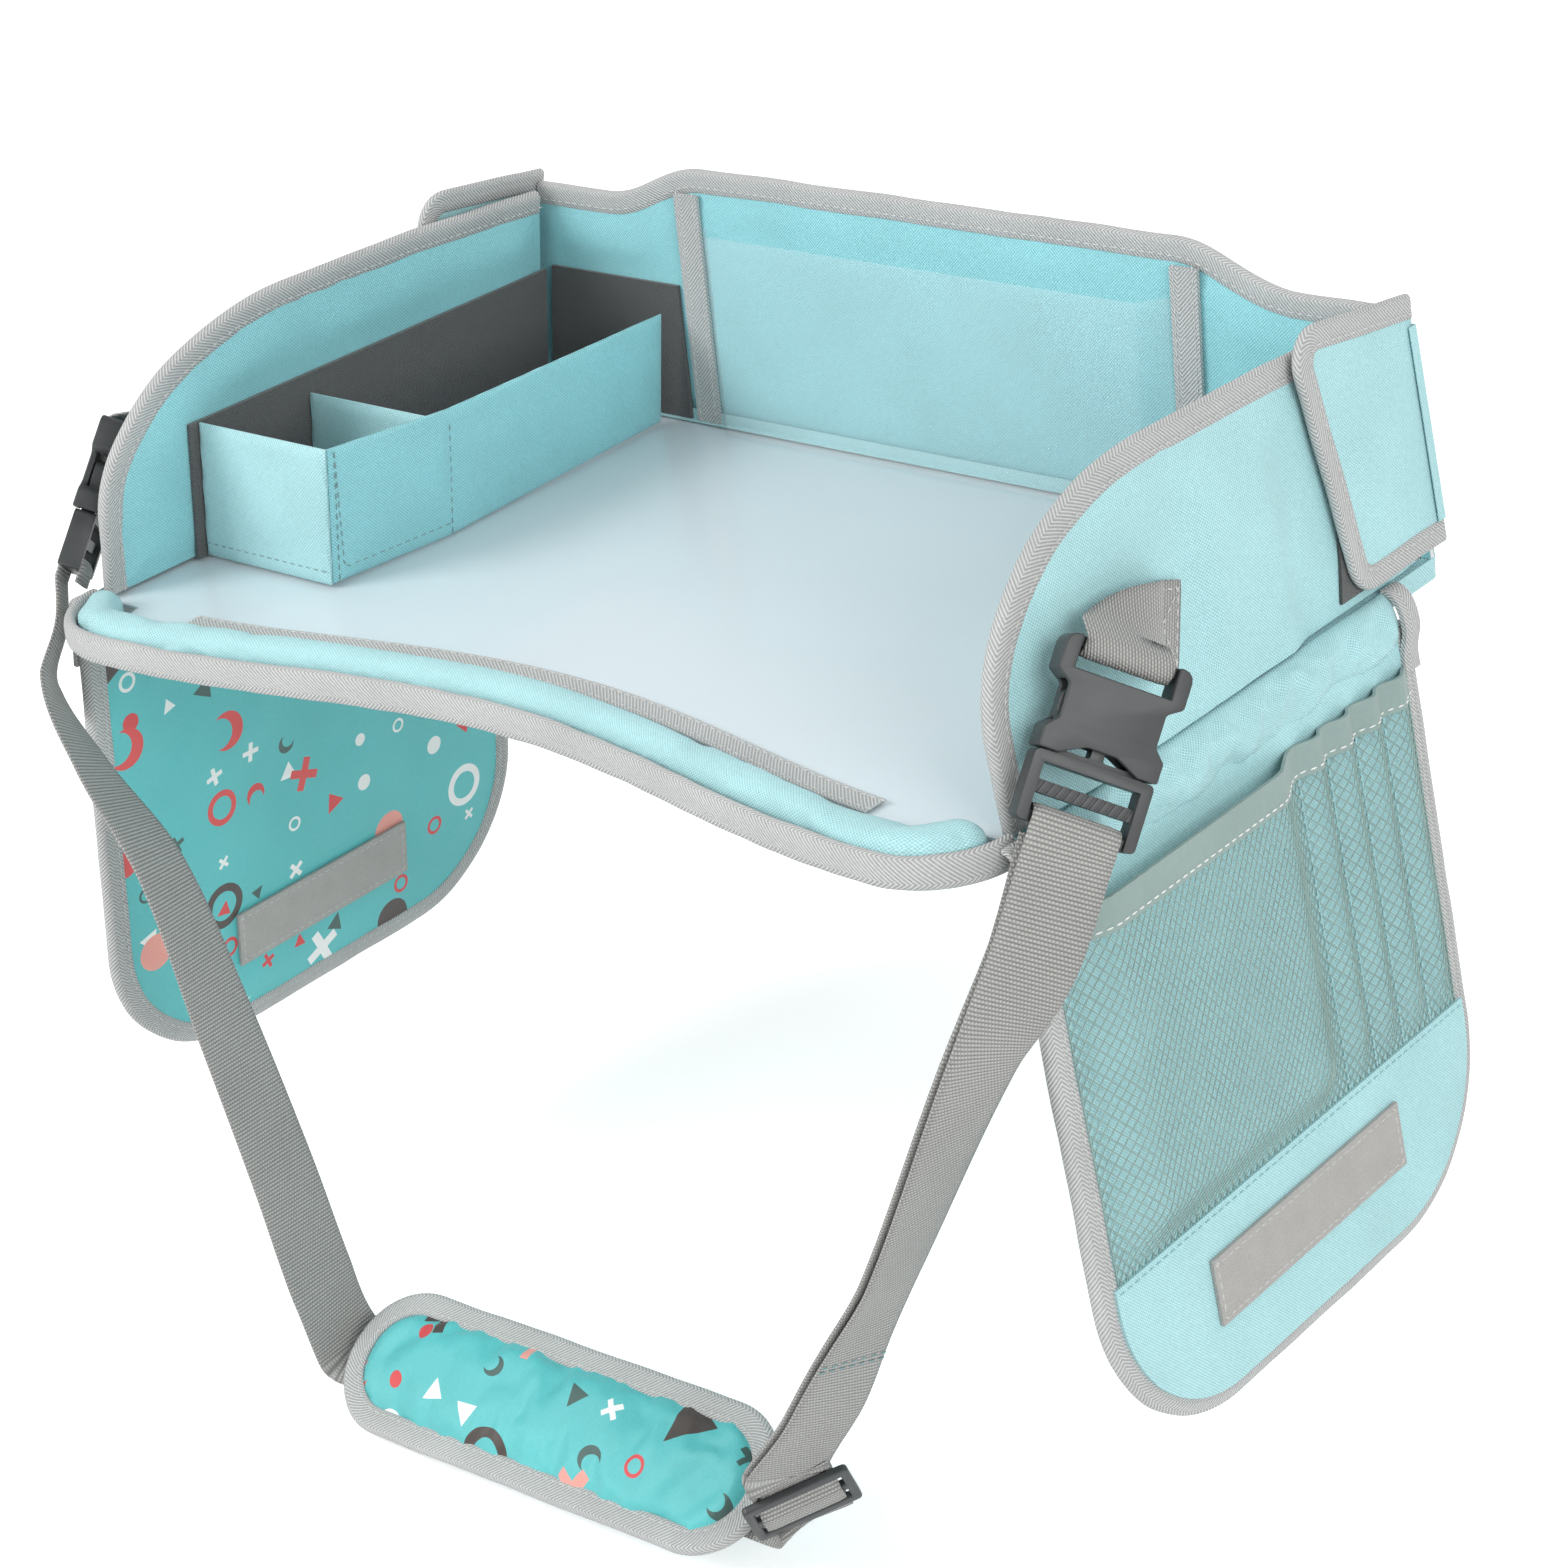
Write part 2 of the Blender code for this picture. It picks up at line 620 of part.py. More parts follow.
def make_back_wall():
    fold = pivot("back_wall_fold", Matrix.Translation((0, BACK_FACE + BACK_STACK + GAP, FOLD_HEIGHT)))
    PIVOTS["back_wall"] = fold
    layers = (
        ("front_cover", BACK_COVER, M_TEAL),
        ("board", BACK_BOARD, M_BOARD),
        ("rear_cover", BACK_COVER, M_TEAL),
    )
    depth = (BACK_STACK - 2 * BACK_COVER - BACK_BOARD - 2 * GAP) / 2
    for layer, thickness, material in layers:
        inset = BINDING_DEPTH + GAP
        if layer == "board":
            inset = BINDING_DEPTH - BINDING_SLOT_DEPTH + GAP
        place = facing(depth + thickness / 2)
        plate(f"back_wall_{layer}", [back_outline(inset)], thickness, material, fold, place)
        depth += thickness + GAP
    section = u_section(BINDING_DEPTH, BACK_STACK, BINDING_SLOT_DEPTH, BACK_BOARD + 2 * GAP)
    swept("back_wall_binding", back_edge(BINDING_DEPTH / 2), section, M_GREY, fold, facing(BACK_STACK / 2))
    front = (BACK_STACK - 2 * BACK_COVER - BACK_BOARD - 2 * GAP) / 2
    for name, side in SIDES:
        top = back_top(TAPE_PLACE) - BINDING_DEPTH - GAP
        half = TAPE_WIDTH / 2
        centre = side * TAPE_PLACE
        outline = [(centre - half, GAP), (centre + half, GAP), (centre + half, top), (centre - half, top)]
        place = facing(front - GAP - TAPE_THICKNESS / 2)
        plate(f"tablet_tape_{name}", [outline], TAPE_THICKNESS, M_GREY, fold, place)
    near = front - GAP - TABLET_FILM / 2
    far = front - TABLET_POCKET_DEPTH - TABLET_FILM / 2
    edge = TAPE_PLACE - TAPE_WIDTH / 2 - GAP - TABLET_FILM
    flat = edge - TABLET_FILM_SLOPE
    path = [(-edge, near), (-flat - TABLET_FILM_SLOPE / 4, far + TABLET_FILM_SLOPE / 4), (-flat, far)]
    path += [(-x, y) for x, y in reversed(path)]
    half = TABLET_FILM / 2
    section = [(-half, GAP), (half, GAP), (half, TABLET_FILM_TOP), (-half, TABLET_FILM_TOP)]
    place = Matrix.Translation((0, -BACK_STACK - GAP, 0))
    swept("tablet_film", path, section, M_CLEAR, fold, place)
    make_tabs(fold)


def tab_corner(side):
    """The crease at a rear corner: the inner rear edge of the tab, leaned like the wall."""
    out = HINGE_STANDOFF + WALL_STACK + TAB_STANDOFF
    return Matrix.Translation((side * out, BACK_FACE + BACK_STACK + GAP, 0))


def make_tabs(back_fold):
    for name, side in SIDES:
        world = wall_place(side) @ tab_corner(side)
        crease = pivot(name + "_tab_crease", back_fold.matrix_world.inverted() @ world, back_fold)
        PIVOTS[name + "_tab"] = crease
        corners = [
            (0, TAB_BOTTOM), (-TAB_BOTTOM_REACH, TAB_BOTTOM), (-TAB_TOP_REACH, TAB_TOP), (0, TAB_TOP_REAR),
        ]
        edge = rounded(corners, TAB_CORNER, closed=False)
        inner = offset(edge, -TAB_BINDING - GAP)
        inner[0] = (0, inner[0][1])
        inner[-1] = (0, inner[-1][1])
        place = outwards(side, TAB_THICKNESS / 2)
        core = TAB_THICKNESS - 2 * BINDING_LIP
        slot_path = offset(edge, -TAB_BINDING / 2)
        slot_path[0] = (0, slot_path[0][1])
        slot_path[-1] = (0, slot_path[-1][1])
        plate(f"{name}_tab", [inner], core, M_TEAL, crease, place)
        half = TAB_THICKNESS / 2
        reach = TAB_BINDING / 2
        soft = half * 2 / 3
        section = [
            (-reach, -soft), (-reach + half - soft, -half), (reach, -half),
            (reach, half), (-reach + half - soft, half), (-reach, soft),
        ]
        swept(f"{name}_tab_binding", slot_path, section, M_GREY, crease, place)
        rear = BACK_FACE - PATCH_REAR
        low = TAB_BOTTOM
        patch = [
            (rear, low), (BACK_FACE - PATCH_BOTTOM_REACH, low),
            (BACK_FACE - PATCH_BOTTOM_REACH + PATCH_BULGE / 2, PATCH_TOP / 5),
            (BACK_FACE - PATCH_BOTTOM_REACH + PATCH_BULGE, PATCH_TOP * 2 / 5),
            (BACK_FACE - PATCH_TOP_REACH + PATCH_BULGE, PATCH_TOP * 3 / 4),
            (BACK_FACE - PATCH_TOP_REACH, PATCH_TOP), (rear, PATCH_TOP - PATCH_BULGE / 2),
        ]
        spare = (WALL_STACK - WALL_COVER * 2 - WALL_BOARD - 2 * GAP) / 2
        depth = HINGE_STANDOFF + WALL_STACK + GAP + HOOK_PATCH / 2 - spare
        wall_fold = PIVOTS[name + "_wall"]
        plate(f"{name}_hook_patch", [patch], HOOK_PATCH, M_HOOK, wall_fold, outwards(side, depth))


# Side flaps

def flap_place(side):
    turn = Matrix.Rotation(-side * FLAP_FLARE, 4, "Y")
    return Matrix.Translation((side * (HALF_WIDTH + WALL_STACK + GAP), 0, -GAP)) @ turn


def flap_edge(inset=0.0, top=0.0):
    """The flap's bound edge in its plane: down the front, round the bottom and up the rear."""
    front = WALL_FRONT - FLAP_FRONT
    rear = BACK_FACE - FLAP_REAR
    corners = [(front, top), (front, -FLAP_DROP), (rear, -FLAP_DROP), (rear, top)]
    return offset(rounded(corners, FLAP_CORNER, 8, closed=False), inset)


def flap_shoulder_section(side):
    """The puffed fabric over the fold, seen along the tray's depth."""
    inner = FLAP_STANDOFF + GAP
    outer = FLAP_STANDOFF + FLAP_THICKNESS - GAP
    low = -SHOULDER_DROP
    line = [(inner, low), (inner, SHOULDER_RISE)]
    half_height = (SHOULDER_RISE - low) / 2
    middle = (SHOULDER_RISE + low) / 2
    for step in range(1, 8):
        turn = math.pi / 2 - math.pi * step / 8
        width = SHOULDER_WIDTH - inner
        line.append((inner + width * math.cos(turn), middle + half_height * math.sin(turn)))
    line.append((outer, low))
    return [(side * x, z) for x, z in line]


def make_flap(name, side):
    fold = pivot(name + "_flap_fold", flap_place(side))
    PIVOTS[name + "_flap"] = fold
    middle = FLAP_STANDOFF + FLAP_THICKNESS / 2
    top = -SHOULDER_DROP / 4
    board_inset = BINDING_DEPTH - BINDING_SLOT_DEPTH + GAP
    slot = FLAP_THICKNESS * 2 / 5
    outline = flap_edge(BINDING_DEPTH + GAP, top)
    centre = outwards(side, middle)
    panel = plate(f"{name}_flap_panel", [outline], FLAP_THICKNESS, M_TEAL, fold, centre)
    tongue = plate("tongue", [flap_edge(board_inset, top)], slot - 2 * GAP, M_TEAL, fold, centre)
    panel = boolean(panel, tongue, "UNION")
    start = WALL_FRONT - FLAP_FRONT + BINDING_DEPTH + GAP
    end = BACK_FACE - FLAP_REAR - BINDING_DEPTH - GAP
    length = end - start
    place = Matrix.Translation((0, (start + end) / 2, 0)) @ XZ
    shoulder = plate("shoulder", [flap_shoulder_section(side)], length, M_TEAL, fold, place)
    boolean(panel, shoulder, "UNION")
    section = u_section(BINDING_DEPTH, FLAP_THICKNESS + 2 * BINDING_LIP, BINDING_SLOT_DEPTH, slot, -1)
    swept(f"{name}_flap_binding", flap_edge(BINDING_DEPTH / 2, top), section, M_GREY, fold, centre)
    make_net(name, side, fold)
    surface = FLAP_STANDOFF + FLAP_THICKNESS + GAP
    low = flap_edge(BINDING_DEPTH + 2 * GAP, -LOWER_BAND_TOP)
    band_place = outwards(side, surface + LOWER_BAND / 2)
    plate(f"{name}_flap_lower_band", [low], LOWER_BAND, M_TEAL, fold, band_place)
    outer = surface + LOWER_BAND + GAP + STRIP_THICKNESS / 2
    inner = FLAP_STANDOFF - GAP - STRIP_THICKNESS / 2
    strips = (("loop", STRIP_LENGTH, outer), ("hook", INNER_STRIP_LENGTH, inner))
    for kind, strip_length, depth in strips:
        half = strip_length / 2
        corners = [
            (STRIP_PLACE - half, -STRIP_TOP), (STRIP_PLACE + half, -STRIP_TOP),
            (STRIP_PLACE + half, -STRIP_TOP - STRIP_HEIGHT), (STRIP_PLACE - half, -STRIP_TOP - STRIP_HEIGHT),
        ]
        plate(f"{name}_flap_{kind}_strip", [corners], STRIP_THICKNESS, M_STRIP, fold, outwards(side, depth))


def pocket_bulge(y, front, rear):
    """How far the net stands off the flap: one wide pocket, then the pen slots at the rear."""
    slots_start = rear - PEN_SLOTS * PEN_SLOT_WIDTH
    if y < slots_start:
        share = (y - front) / (slots_start - front)
        return min(1.0, 6 * share, 6 * (1 - share))
    share = (y - slots_start) / PEN_SLOT_WIDTH
    return abs(math.sin(math.pi * share))


def make_net(name, side, fold):
    """The net pocket: diamonds of cord, drawn as a poked grid whose old edges are dissolved."""
    front = WALL_FRONT - FLAP_FRONT + BINDING_DEPTH + NET_STRAND
    rear = BACK_FACE - FLAP_REAR - BINDING_DEPTH - NET_STRAND
    top = -BAND_DROP - BAND_HEIGHT - NET_STRAND
    low = -NET_BOTTOM
    work = bmesh.new()
    bmesh.ops.create_grid(work, x_segments=NET_COLUMNS, y_segments=NET_ROWS, size=1)
    old = [edge for edge in work.edges if not edge.is_boundary]
    bmesh.ops.poke(work, faces=work.faces)
    bmesh.ops.dissolve_edges(work, edges=old, use_verts=False)
    surface = FLAP_STANDOFF + FLAP_THICKNESS + GAP + NET_STRAND
    for vertex in work.verts:
        y = front + (rear - front) * (vertex.co.x + 1) / 2
        z = low + (top - low) * (vertex.co.y + 1) / 2
        share = pocket_bulge(y, front, rear) * min(1.0, 6 * (z - low) / (top - low))
        vertex.co = (side * (surface + POCKET_STANDOFF * share), y, z)
    mesh = bpy.data.meshes.new(f"{name}_flap_net")
    work.to_mesh(mesh)
    work.free()
    net = link(f"{name}_flap_net", mesh, fold)
    wire = net.modifiers.new("Cords", "WIREFRAME")
    wire.thickness = NET_STRAND
    wire.use_boundary = True
    wire.use_even_offset = False
    finish(net, M_NET, smooth=False)
    half = BAND_THICKNESS / 2
    centre = surface - NET_STRAND / 2 + half
    steps = 4 * PEN_SLOTS
    slots_start = rear - PEN_SLOTS * PEN_SLOT_WIDTH
    places = [front, front + (slots_start - front) / 6, slots_start - (slots_start - front) / 6, slots_start]
    places += [slots_start + (rear - slots_start) * step / steps for step in range(1, steps + 1)]
    path = [(side * (centre + POCKET_STANDOFF * pocket_bulge(y, front, rear)), y) for y in places]
    section = [(-half, 0), (half, 0), (half, BAND_HEIGHT), (-half, BAND_HEIGHT)]
    place = Matrix.Translation((0, 0, -BAND_DROP - BAND_HEIGHT))
    swept(f"{name}_flap_net_band", path, section, M_STRIP, fold, place)


# Snack pocket

def make_snack_pocket():
    """Panels that lean like the left wall and fold forward against it as a parallelogram."""
    wall = wall_place(-1)
    turned = wall.to_3x3().to_4x4()
    lean = math.tan(WALL_LEAN)
    half = SNACK_PANEL / 2
    floor = SNACK_FLOOR
    start = BACKING_THICKNESS + 2 * GAP - HINGE_STANDOFF
    front_y = WALL_FRONT + SNACK_FRONT
    divider_y = WALL_FRONT + SNACK_DIVIDER
    inner = SNACK_DEPTH - SNACK_PANEL
    panels = [
        ("front_panel", front_y, SNACK_HEIGHT, SNACK_DEPTH),
        ("divider", divider_y, SNACK_REAR_HEIGHT, inner - GAP),
    ]
    upright = Matrix.Rotation(-WALL_LEAN, 4, "Y")
    for name, y, height, far in panels:
        place = Matrix.Translation((0, y - half, 0)) @ Matrix.Translation(wall.translation) @ turned
        fold = pivot(f"snack_{name}_fold", place)
        PIVOTS["snack_" + name] = fold
        corners = [(start, floor), (far, floor), (far, height), (start, height)]
        outline = [(x + z * lean, z) for x, z in corners]
        place = Matrix.Translation((0, half, 0)) @ upright @ XZ
        plate(f"snack_{name}", [outline], SNACK_PANEL, M_TEAL, fold, place)
    front_fold = PIVOTS["snack_front_panel"]
    corner = Vector((wall.translation.x + inner, front_y + half, FOLD_HEIGHT))
    place = Matrix.Translation(corner) @ turned
    corner_fold = pivot("snack_corner_fold", front_fold.matrix_world.inverted() @ place, front_fold)
    PIVOTS["snack_long_panel"] = corner_fold
    length = BACK_FACE - SNACK_REAR_CLEARANCE - corner.y
    outline = [(GAP, floor), (length, floor), (length, SNACK_REAR_HEIGHT), (GAP, SNACK_HEIGHT)]
    place = Matrix.Translation((half + GAP / 10, 0, 0)) @ YZ
    plate("snack_long_panel", [outline], SNACK_PANEL, M_TEAL, corner_fold, place)
    depth = HINGE_STANDOFF - GAP - BACKING_THICKNESS / 2
    rear = BACK_FACE - WALL_REAR_CLEARANCE
    front = front_y - BACKING_SHOWS
    outline = [(front, GAP), (rear, GAP), (rear, BACKING_HEIGHT), (front, BACKING_HEIGHT)]
    place = outwards(-1, depth)
    plate("snack_wall_backing", [outline], BACKING_THICKNESS, M_HOOK, PIVOTS["left_wall"], place)
    inner = -HALF_WIDTH + HINGE_STANDOFF + SNACK_DEPTH + REAR_STRIP_SHOWS
    outer = -HALF_WIDTH + HINGE_STANDOFF
    rise = BACKING_HEIGHT
    outline = [(outer, GAP), (inner, GAP), (inner, rise), (outer + rise * lean, rise)]
    front = (BACK_STACK - 2 * BACK_COVER - BACK_BOARD - 2 * GAP) / 2
    place = facing(front - GAP - BACKING_THICKNESS / 2)
    plate("snack_rear_strip", [outline], BACKING_THICKNESS, M_HOOK, PIVOTS["back_wall"], place)


# Buckles

def buckle_frame(side):
    """The buckle's frame: X across it, Y up along its insertion and Z out of its face."""
    along = Vector((0, math.cos(BUCKLE_DROP), math.sin(BUCKLE_DROP)))
    across = Vector((0, math.sin(BUCKLE_DROP), -math.cos(BUCKLE_DROP)))
    out = Vector((side, 0, 0)) * math.cos(BUCKLE_TURN) - across * math.sin(BUCKLE_TURN)
    width = along.cross(out)
    centre = Vector((side * BUCKLE_OUT, WALL_FRONT + BUCKLE_BACK, BASE_TOP + BUCKLE_RISE))
    frame = Matrix((width, along, out)).transposed().to_4x4()
    frame.translation = centre
    return frame


def raised(height):
    return Matrix.Translation((0, 0, height))


def box_outline(half_width, low, high):
    return [(-half_width, low), (half_width, low), (half_width, high), (-half_width, high)]


def make_socket(name, side):
    frame = buckle_frame(side)
    soft = BAR_DEPTH / 2
    half = SOCKET_WIDTH / 2
    waist = SOCKET_WAIST / 2
    mouth = SOCKET_MOUTH_WIDTH / 2
    right = [
        (half, SOCKET_TOP, 2 * soft), (half, SLOT_BOTTOM - soft, soft), (waist, WINDOW_TOP, soft),
        (waist, WINDOW_BOTTOM, soft), (mouth, WINDOW_BOTTOM - 2 * soft, soft),
        (mouth, SOCKET_MOUTH, soft / 2),
        (mouth * 2 / 3, SOCKET_MOUTH, soft), (mouth / 4, SOCKET_MOUTH + SOCKET_ARCH, 2 * soft),
    ]
    corners = right + [(-x, y, r) for x, y, r in reversed(right)]
    socket = plate(name, [rounded(corners, soft, 3)], SOCKET_THICKNESS, M_BLACK, place=frame)
    bar = box_outline(SLOT_WIDTH / 2, SOCKET_TOP - 2 * BAR_DEPTH, SOCKET_TOP + BAR_DEPTH)
    cuts = (
        (box_outline(CAVITY_WIDTH / 2, SOCKET_MOUTH - CROSSPIECE, CAVITY_TOP), CAVITY_THICKNESS, 0),
        (box_outline(SLOT_WIDTH / 2, SLOT_BOTTOM, SOCKET_TOP - BAR_DEPTH), 2 * SOCKET_THICKNESS, 0),
        (bar, SOCKET_THICKNESS, 1),
        (bar, SOCKET_THICKNESS, -1),
    )
    for outline, thickness, level in cuts:
        lift = level * (BAR_THICKNESS + SOCKET_THICKNESS) / 2
        cutter = plate("cut", [outline], thickness, M_BLACK, None, frame @ raised(lift), CUTTERS)
        boolean(socket, cutter, "DIFFERENCE")
    return socket


def make_plug(name, side):
    frame = buckle_frame(side)
    half = PLUG_WIDTH / 2
    top = SOCKET_MOUTH - PLUG_RUNNING_GAP
    soft = BAR_DEPTH / 2
    outline = [(half, PLUG_BOTTOM, soft), (half, top, soft), (-half, top, soft), (-half, PLUG_BOTTOM, soft)]
    hole = box_outline(SLOT_WIDTH / 2, PLUG_BOTTOM + BAR_DEPTH, top - CROSSPIECE)
    plug = plate(name, [rounded(outline, soft, 3), hole], PLUG_THICKNESS, M_BLACK, place=frame)
    for level in (-1, 1):
        lift = level * (BAR_THICKNESS + PLUG_THICKNESS) / 2
        outline = box_outline(SLOT_WIDTH / 2, PLUG_BOTTOM - BAR_DEPTH, PLUG_BOTTOM + 2 * BAR_DEPTH)
        cutter = plate("cut", [outline], PLUG_THICKNESS, M_BLACK, None, frame @ raised(lift), CUTTERS)
        boolean(plug, cutter, "DIFFERENCE")
    low = RIB_BAR_PLACE - RIB_BAR_DEPTH / 2
    high = RIB_BAR_PLACE + RIB_BAR_DEPTH / 2
    bar = plate("bar", [box_outline(SLOT_WIDTH / 2 + soft, low, high)], BAR_THICKNESS, M_BLACK, place=frame)
    pitch = SLOT_WIDTH / RIB_COUNT
    slant = RIB_BAR_DEPTH / 2
    grooves = []
    for index in range(RIB_COUNT):
        x = -SLOT_WIDTH / 2 + pitch * (index + 1 / 2)
        grooves.append([
            (x - slant, low - soft), (x - slant + RIB_WIDTH, low - soft),
            (x + slant + RIB_WIDTH - slant / 2, high + soft), (x + slant - slant / 2, high + soft),
        ])
    lift = BAR_THICKNESS / 2 + RIB_DEPTH
    cutter = plate("cut", grooves, 4 * RIB_DEPTH, M_BLACK, None, frame @ raised(lift), CUTTERS)
    boolean(bar, cutter, "DIFFERENCE")
    boolean(plug, bar, "UNION")
    inner = PRONG_OUTER - PRONG_ARM
    tip = PRONG_ARM / 2
    foot = top - CROSSPIECE / 2
    guide = GUIDE_WIDTH / 2
    right = [
        (PRONG_OUTER, foot, tip / 4), (PRONG_OUTER, PAD_START - tip, tip), (PAD_OUTER, PAD_START + tip, tip),
        (PAD_OUTER, PRONG_TIP - 2 * tip, 2 * tip), (inner, PRONG_TIP, tip), (inner - tip, PAD_START, tip),
        (inner, PAD_START - 3 * tip, tip), (inner - tip, top + tip, tip), (guide, top + tip, tip / 2),
        (guide, GUIDE_TIP, guide / 2),
    ]
    corners = right + [(-x, y, r) for x, y, r in reversed(right)]
    prongs = plate("prongs", [rounded(corners, tip, 3)], PRONG_THICKNESS, M_BLACK, place=frame)
    boolean(plug, prongs, "UNION")
    return plug


# Webbing

def bar_wrap(frame, bar, turns):
    """Places round a buckle's bar for the middle of the webbing, at these turns from the frame's Y."""
    reach = math.hypot(BAR_DEPTH, BAR_THICKNESS) / 2 + EYE_CLEARANCE + WEBBING_THICKNESS / 2
    places = []
    for turn in turns:
        angle = math.radians(turn)
        places.append(frame @ Vector((0, bar + reach * math.cos(angle), reach * math.sin(angle))))
    return places


def ribbon_rings(centres, widths, width, thickness, columns=3):
    """Sections of a strap along its centres: each a flat rectangle across the way it runs."""
    rings = []
    last = len(centres) - 1
    for index, centre in enumerate(centres):
        along = (centres[min(index + 1, last)] - centres[max(index - 1, 0)]).normalized()
        across = (widths[index] - along * widths[index].dot(along)).normalized()
        thick = along.cross(across) * thickness / 2
        shares = [column / columns - 1 / 2 for column in range(columns + 1)]
        ring = [centre + across * width * share - thick for share in shares]
        ring += [centre + across * width * share + thick for share in reversed(shares)]
        rings.append(ring)
    return rings


def smooth_way(places, acrosses, steps=6):
    """Places and width directions on a smooth curve through the given ones, with even tangents."""
    spans = [(after - before).length for before, after in zip(places, places[1:])]
    smooth = []
    for values in (places, acrosses):
        slopes = []
        for index in range(len(values)):
            low = max(index - 1, 0)
            high = min(index + 1, len(values) - 1)
            slopes.append((values[high] - values[low]) / sum(spans[low:high]))
        line = []
        for index, span in enumerate(spans):
            start, end = values[index], values[index + 1]
            leave, arrive = slopes[index] * span, slopes[index + 1] * span
            for step in range(steps):
                t = step / steps
                line.append(
                    start * (2 * t ** 3 - 3 * t ** 2 + 1) + leave * (t ** 3 - 2 * t ** 2 + t)
                    + end * (3 * t ** 2 - 2 * t ** 3) + arrive * (t ** 3 - t ** 2)
                )
        smooth.append(line + [values[-1]])
    return smooth


def ribbon(name, places, acrosses):
    """A flat strap through places given in world space, with its width along acrosses."""
    return lofted(name, ribbon_rings(places, acrosses, WEBBING, WEBBING_THICKNESS), M_WEB)


def in_tray(shares):
    """A place of the strap's way in world space."""
    out, ahead, drop = shares
    return Vector((out * BUCKLE_OUT, WALL_FRONT - ahead * STRAP_FORWARD, BASE_TOP + drop * STRAP_DROP))


def pad_frame():
    tilt = Matrix.Rotation(PAD_TILT, 4, "X")
    slope = Matrix.Rotation(-PAD_SLOPE, 4, "Y")
    centre = Vector((0, WALL_FRONT - STRAP_FORWARD, BASE_TOP - STRAP_DROP))
    return Matrix.Translation(centre) @ slope @ tilt


def slider_frame():
    along = Vector(SLIDER_ALONG_SHARES)
    across = Vector(SLIDER_ACROSS_SHARES).normalized()
    along = (along - across * along.dot(across)).normalized()
    frame = Matrix((across, along, across.cross(along))).transposed().to_4x4()
    frame.translation = pad_frame() @ Vector((PAD_LENGTH / 2 + SLIDER_OUT, 0, SLIDER_UP))
    return frame


def stadium(length, width, inset, height, steps=12):
    radius = width / 2 - inset
    centre = length / 2 - width / 2
    ring = []
    for side in (1, -1):
        for step in range(steps + 1):
            turn = math.pi * step / steps - math.pi / 2
            x = side * (centre + radius * math.cos(turn))
            ring.append(Vector((x, side * radius * math.sin(turn), height)))
    return ring


def make_pad():
    frame = pad_frame()
    rim = PAD_RIM / 2
    levels = (
        (0, -rim), (0, rim), (PAD_BINDING + GAP, rim), (PAD_BINDING + 2 * GAP, rim + PAD_CROWN / 4),
        ((PAD_BINDING + PAD_SHOULDER) / 2, rim + PAD_CROWN * 3 / 4), (PAD_SHOULDER, rim + PAD_CROWN),
    )
    floor = PAD_BINDING - PAD_SLOT + GAP
    rings = [stadium(PAD_LENGTH, PAD_WIDTH, inset or floor, height) for inset, height in levels]
    lofted("pad_front_cover", rings, M_PRINT, place=frame)
    path = [tuple(point.xy) for point in stadium(PAD_LENGTH, PAD_WIDTH, PAD_BINDING / 2, 0)]
    section = u_section(PAD_BINDING, PAD_LIPS, PAD_SLOT, PAD_RIM + 2 * GAP)
    swept("pad_binding", path, section, M_GREY, place=frame, cyclic=True)
    half = PAD_WIDTH / 2 - PAD_BINDING - GAP
    wall = half - 2 * PAD_SLEEVE
    top = -rim - GAP
    low = top - PAD_CHANNEL
    section = [
        (-half, top), (-half, low - PAD_SLEEVE), (half, low - PAD_SLEEVE), (half, top),
        (wall, top), (wall, low), (-wall, low), (-wall, top),
    ]
    plate("pad_sleeve", [section], PAD_SLEEVE_LENGTH, M_TEAL, place=frame @ YZ)


def make_slider():
    half_width = SLIDER_WIDTH / 2
    half_length = SLIDER_LENGTH / 2
    slot = WEBBING / 2 + 2 * LAYER_GAP
    soft = SLIDER_RAIL / 2
    outline = [(x, y, soft) for x, y in box_outline(half_width, -half_length, half_length)]
    inner = half_length - SLIDER_RAIL
    slots = [box_outline(slot, SLIDER_BAR / 2, inner), box_outline(slot, -inner, -SLIDER_BAR / 2)]
    outlines = [rounded(outline, soft, 4)] + slots
    plate("strap_slider", outlines, SLIDER_THICKNESS, M_BLACK, place=slider_frame())


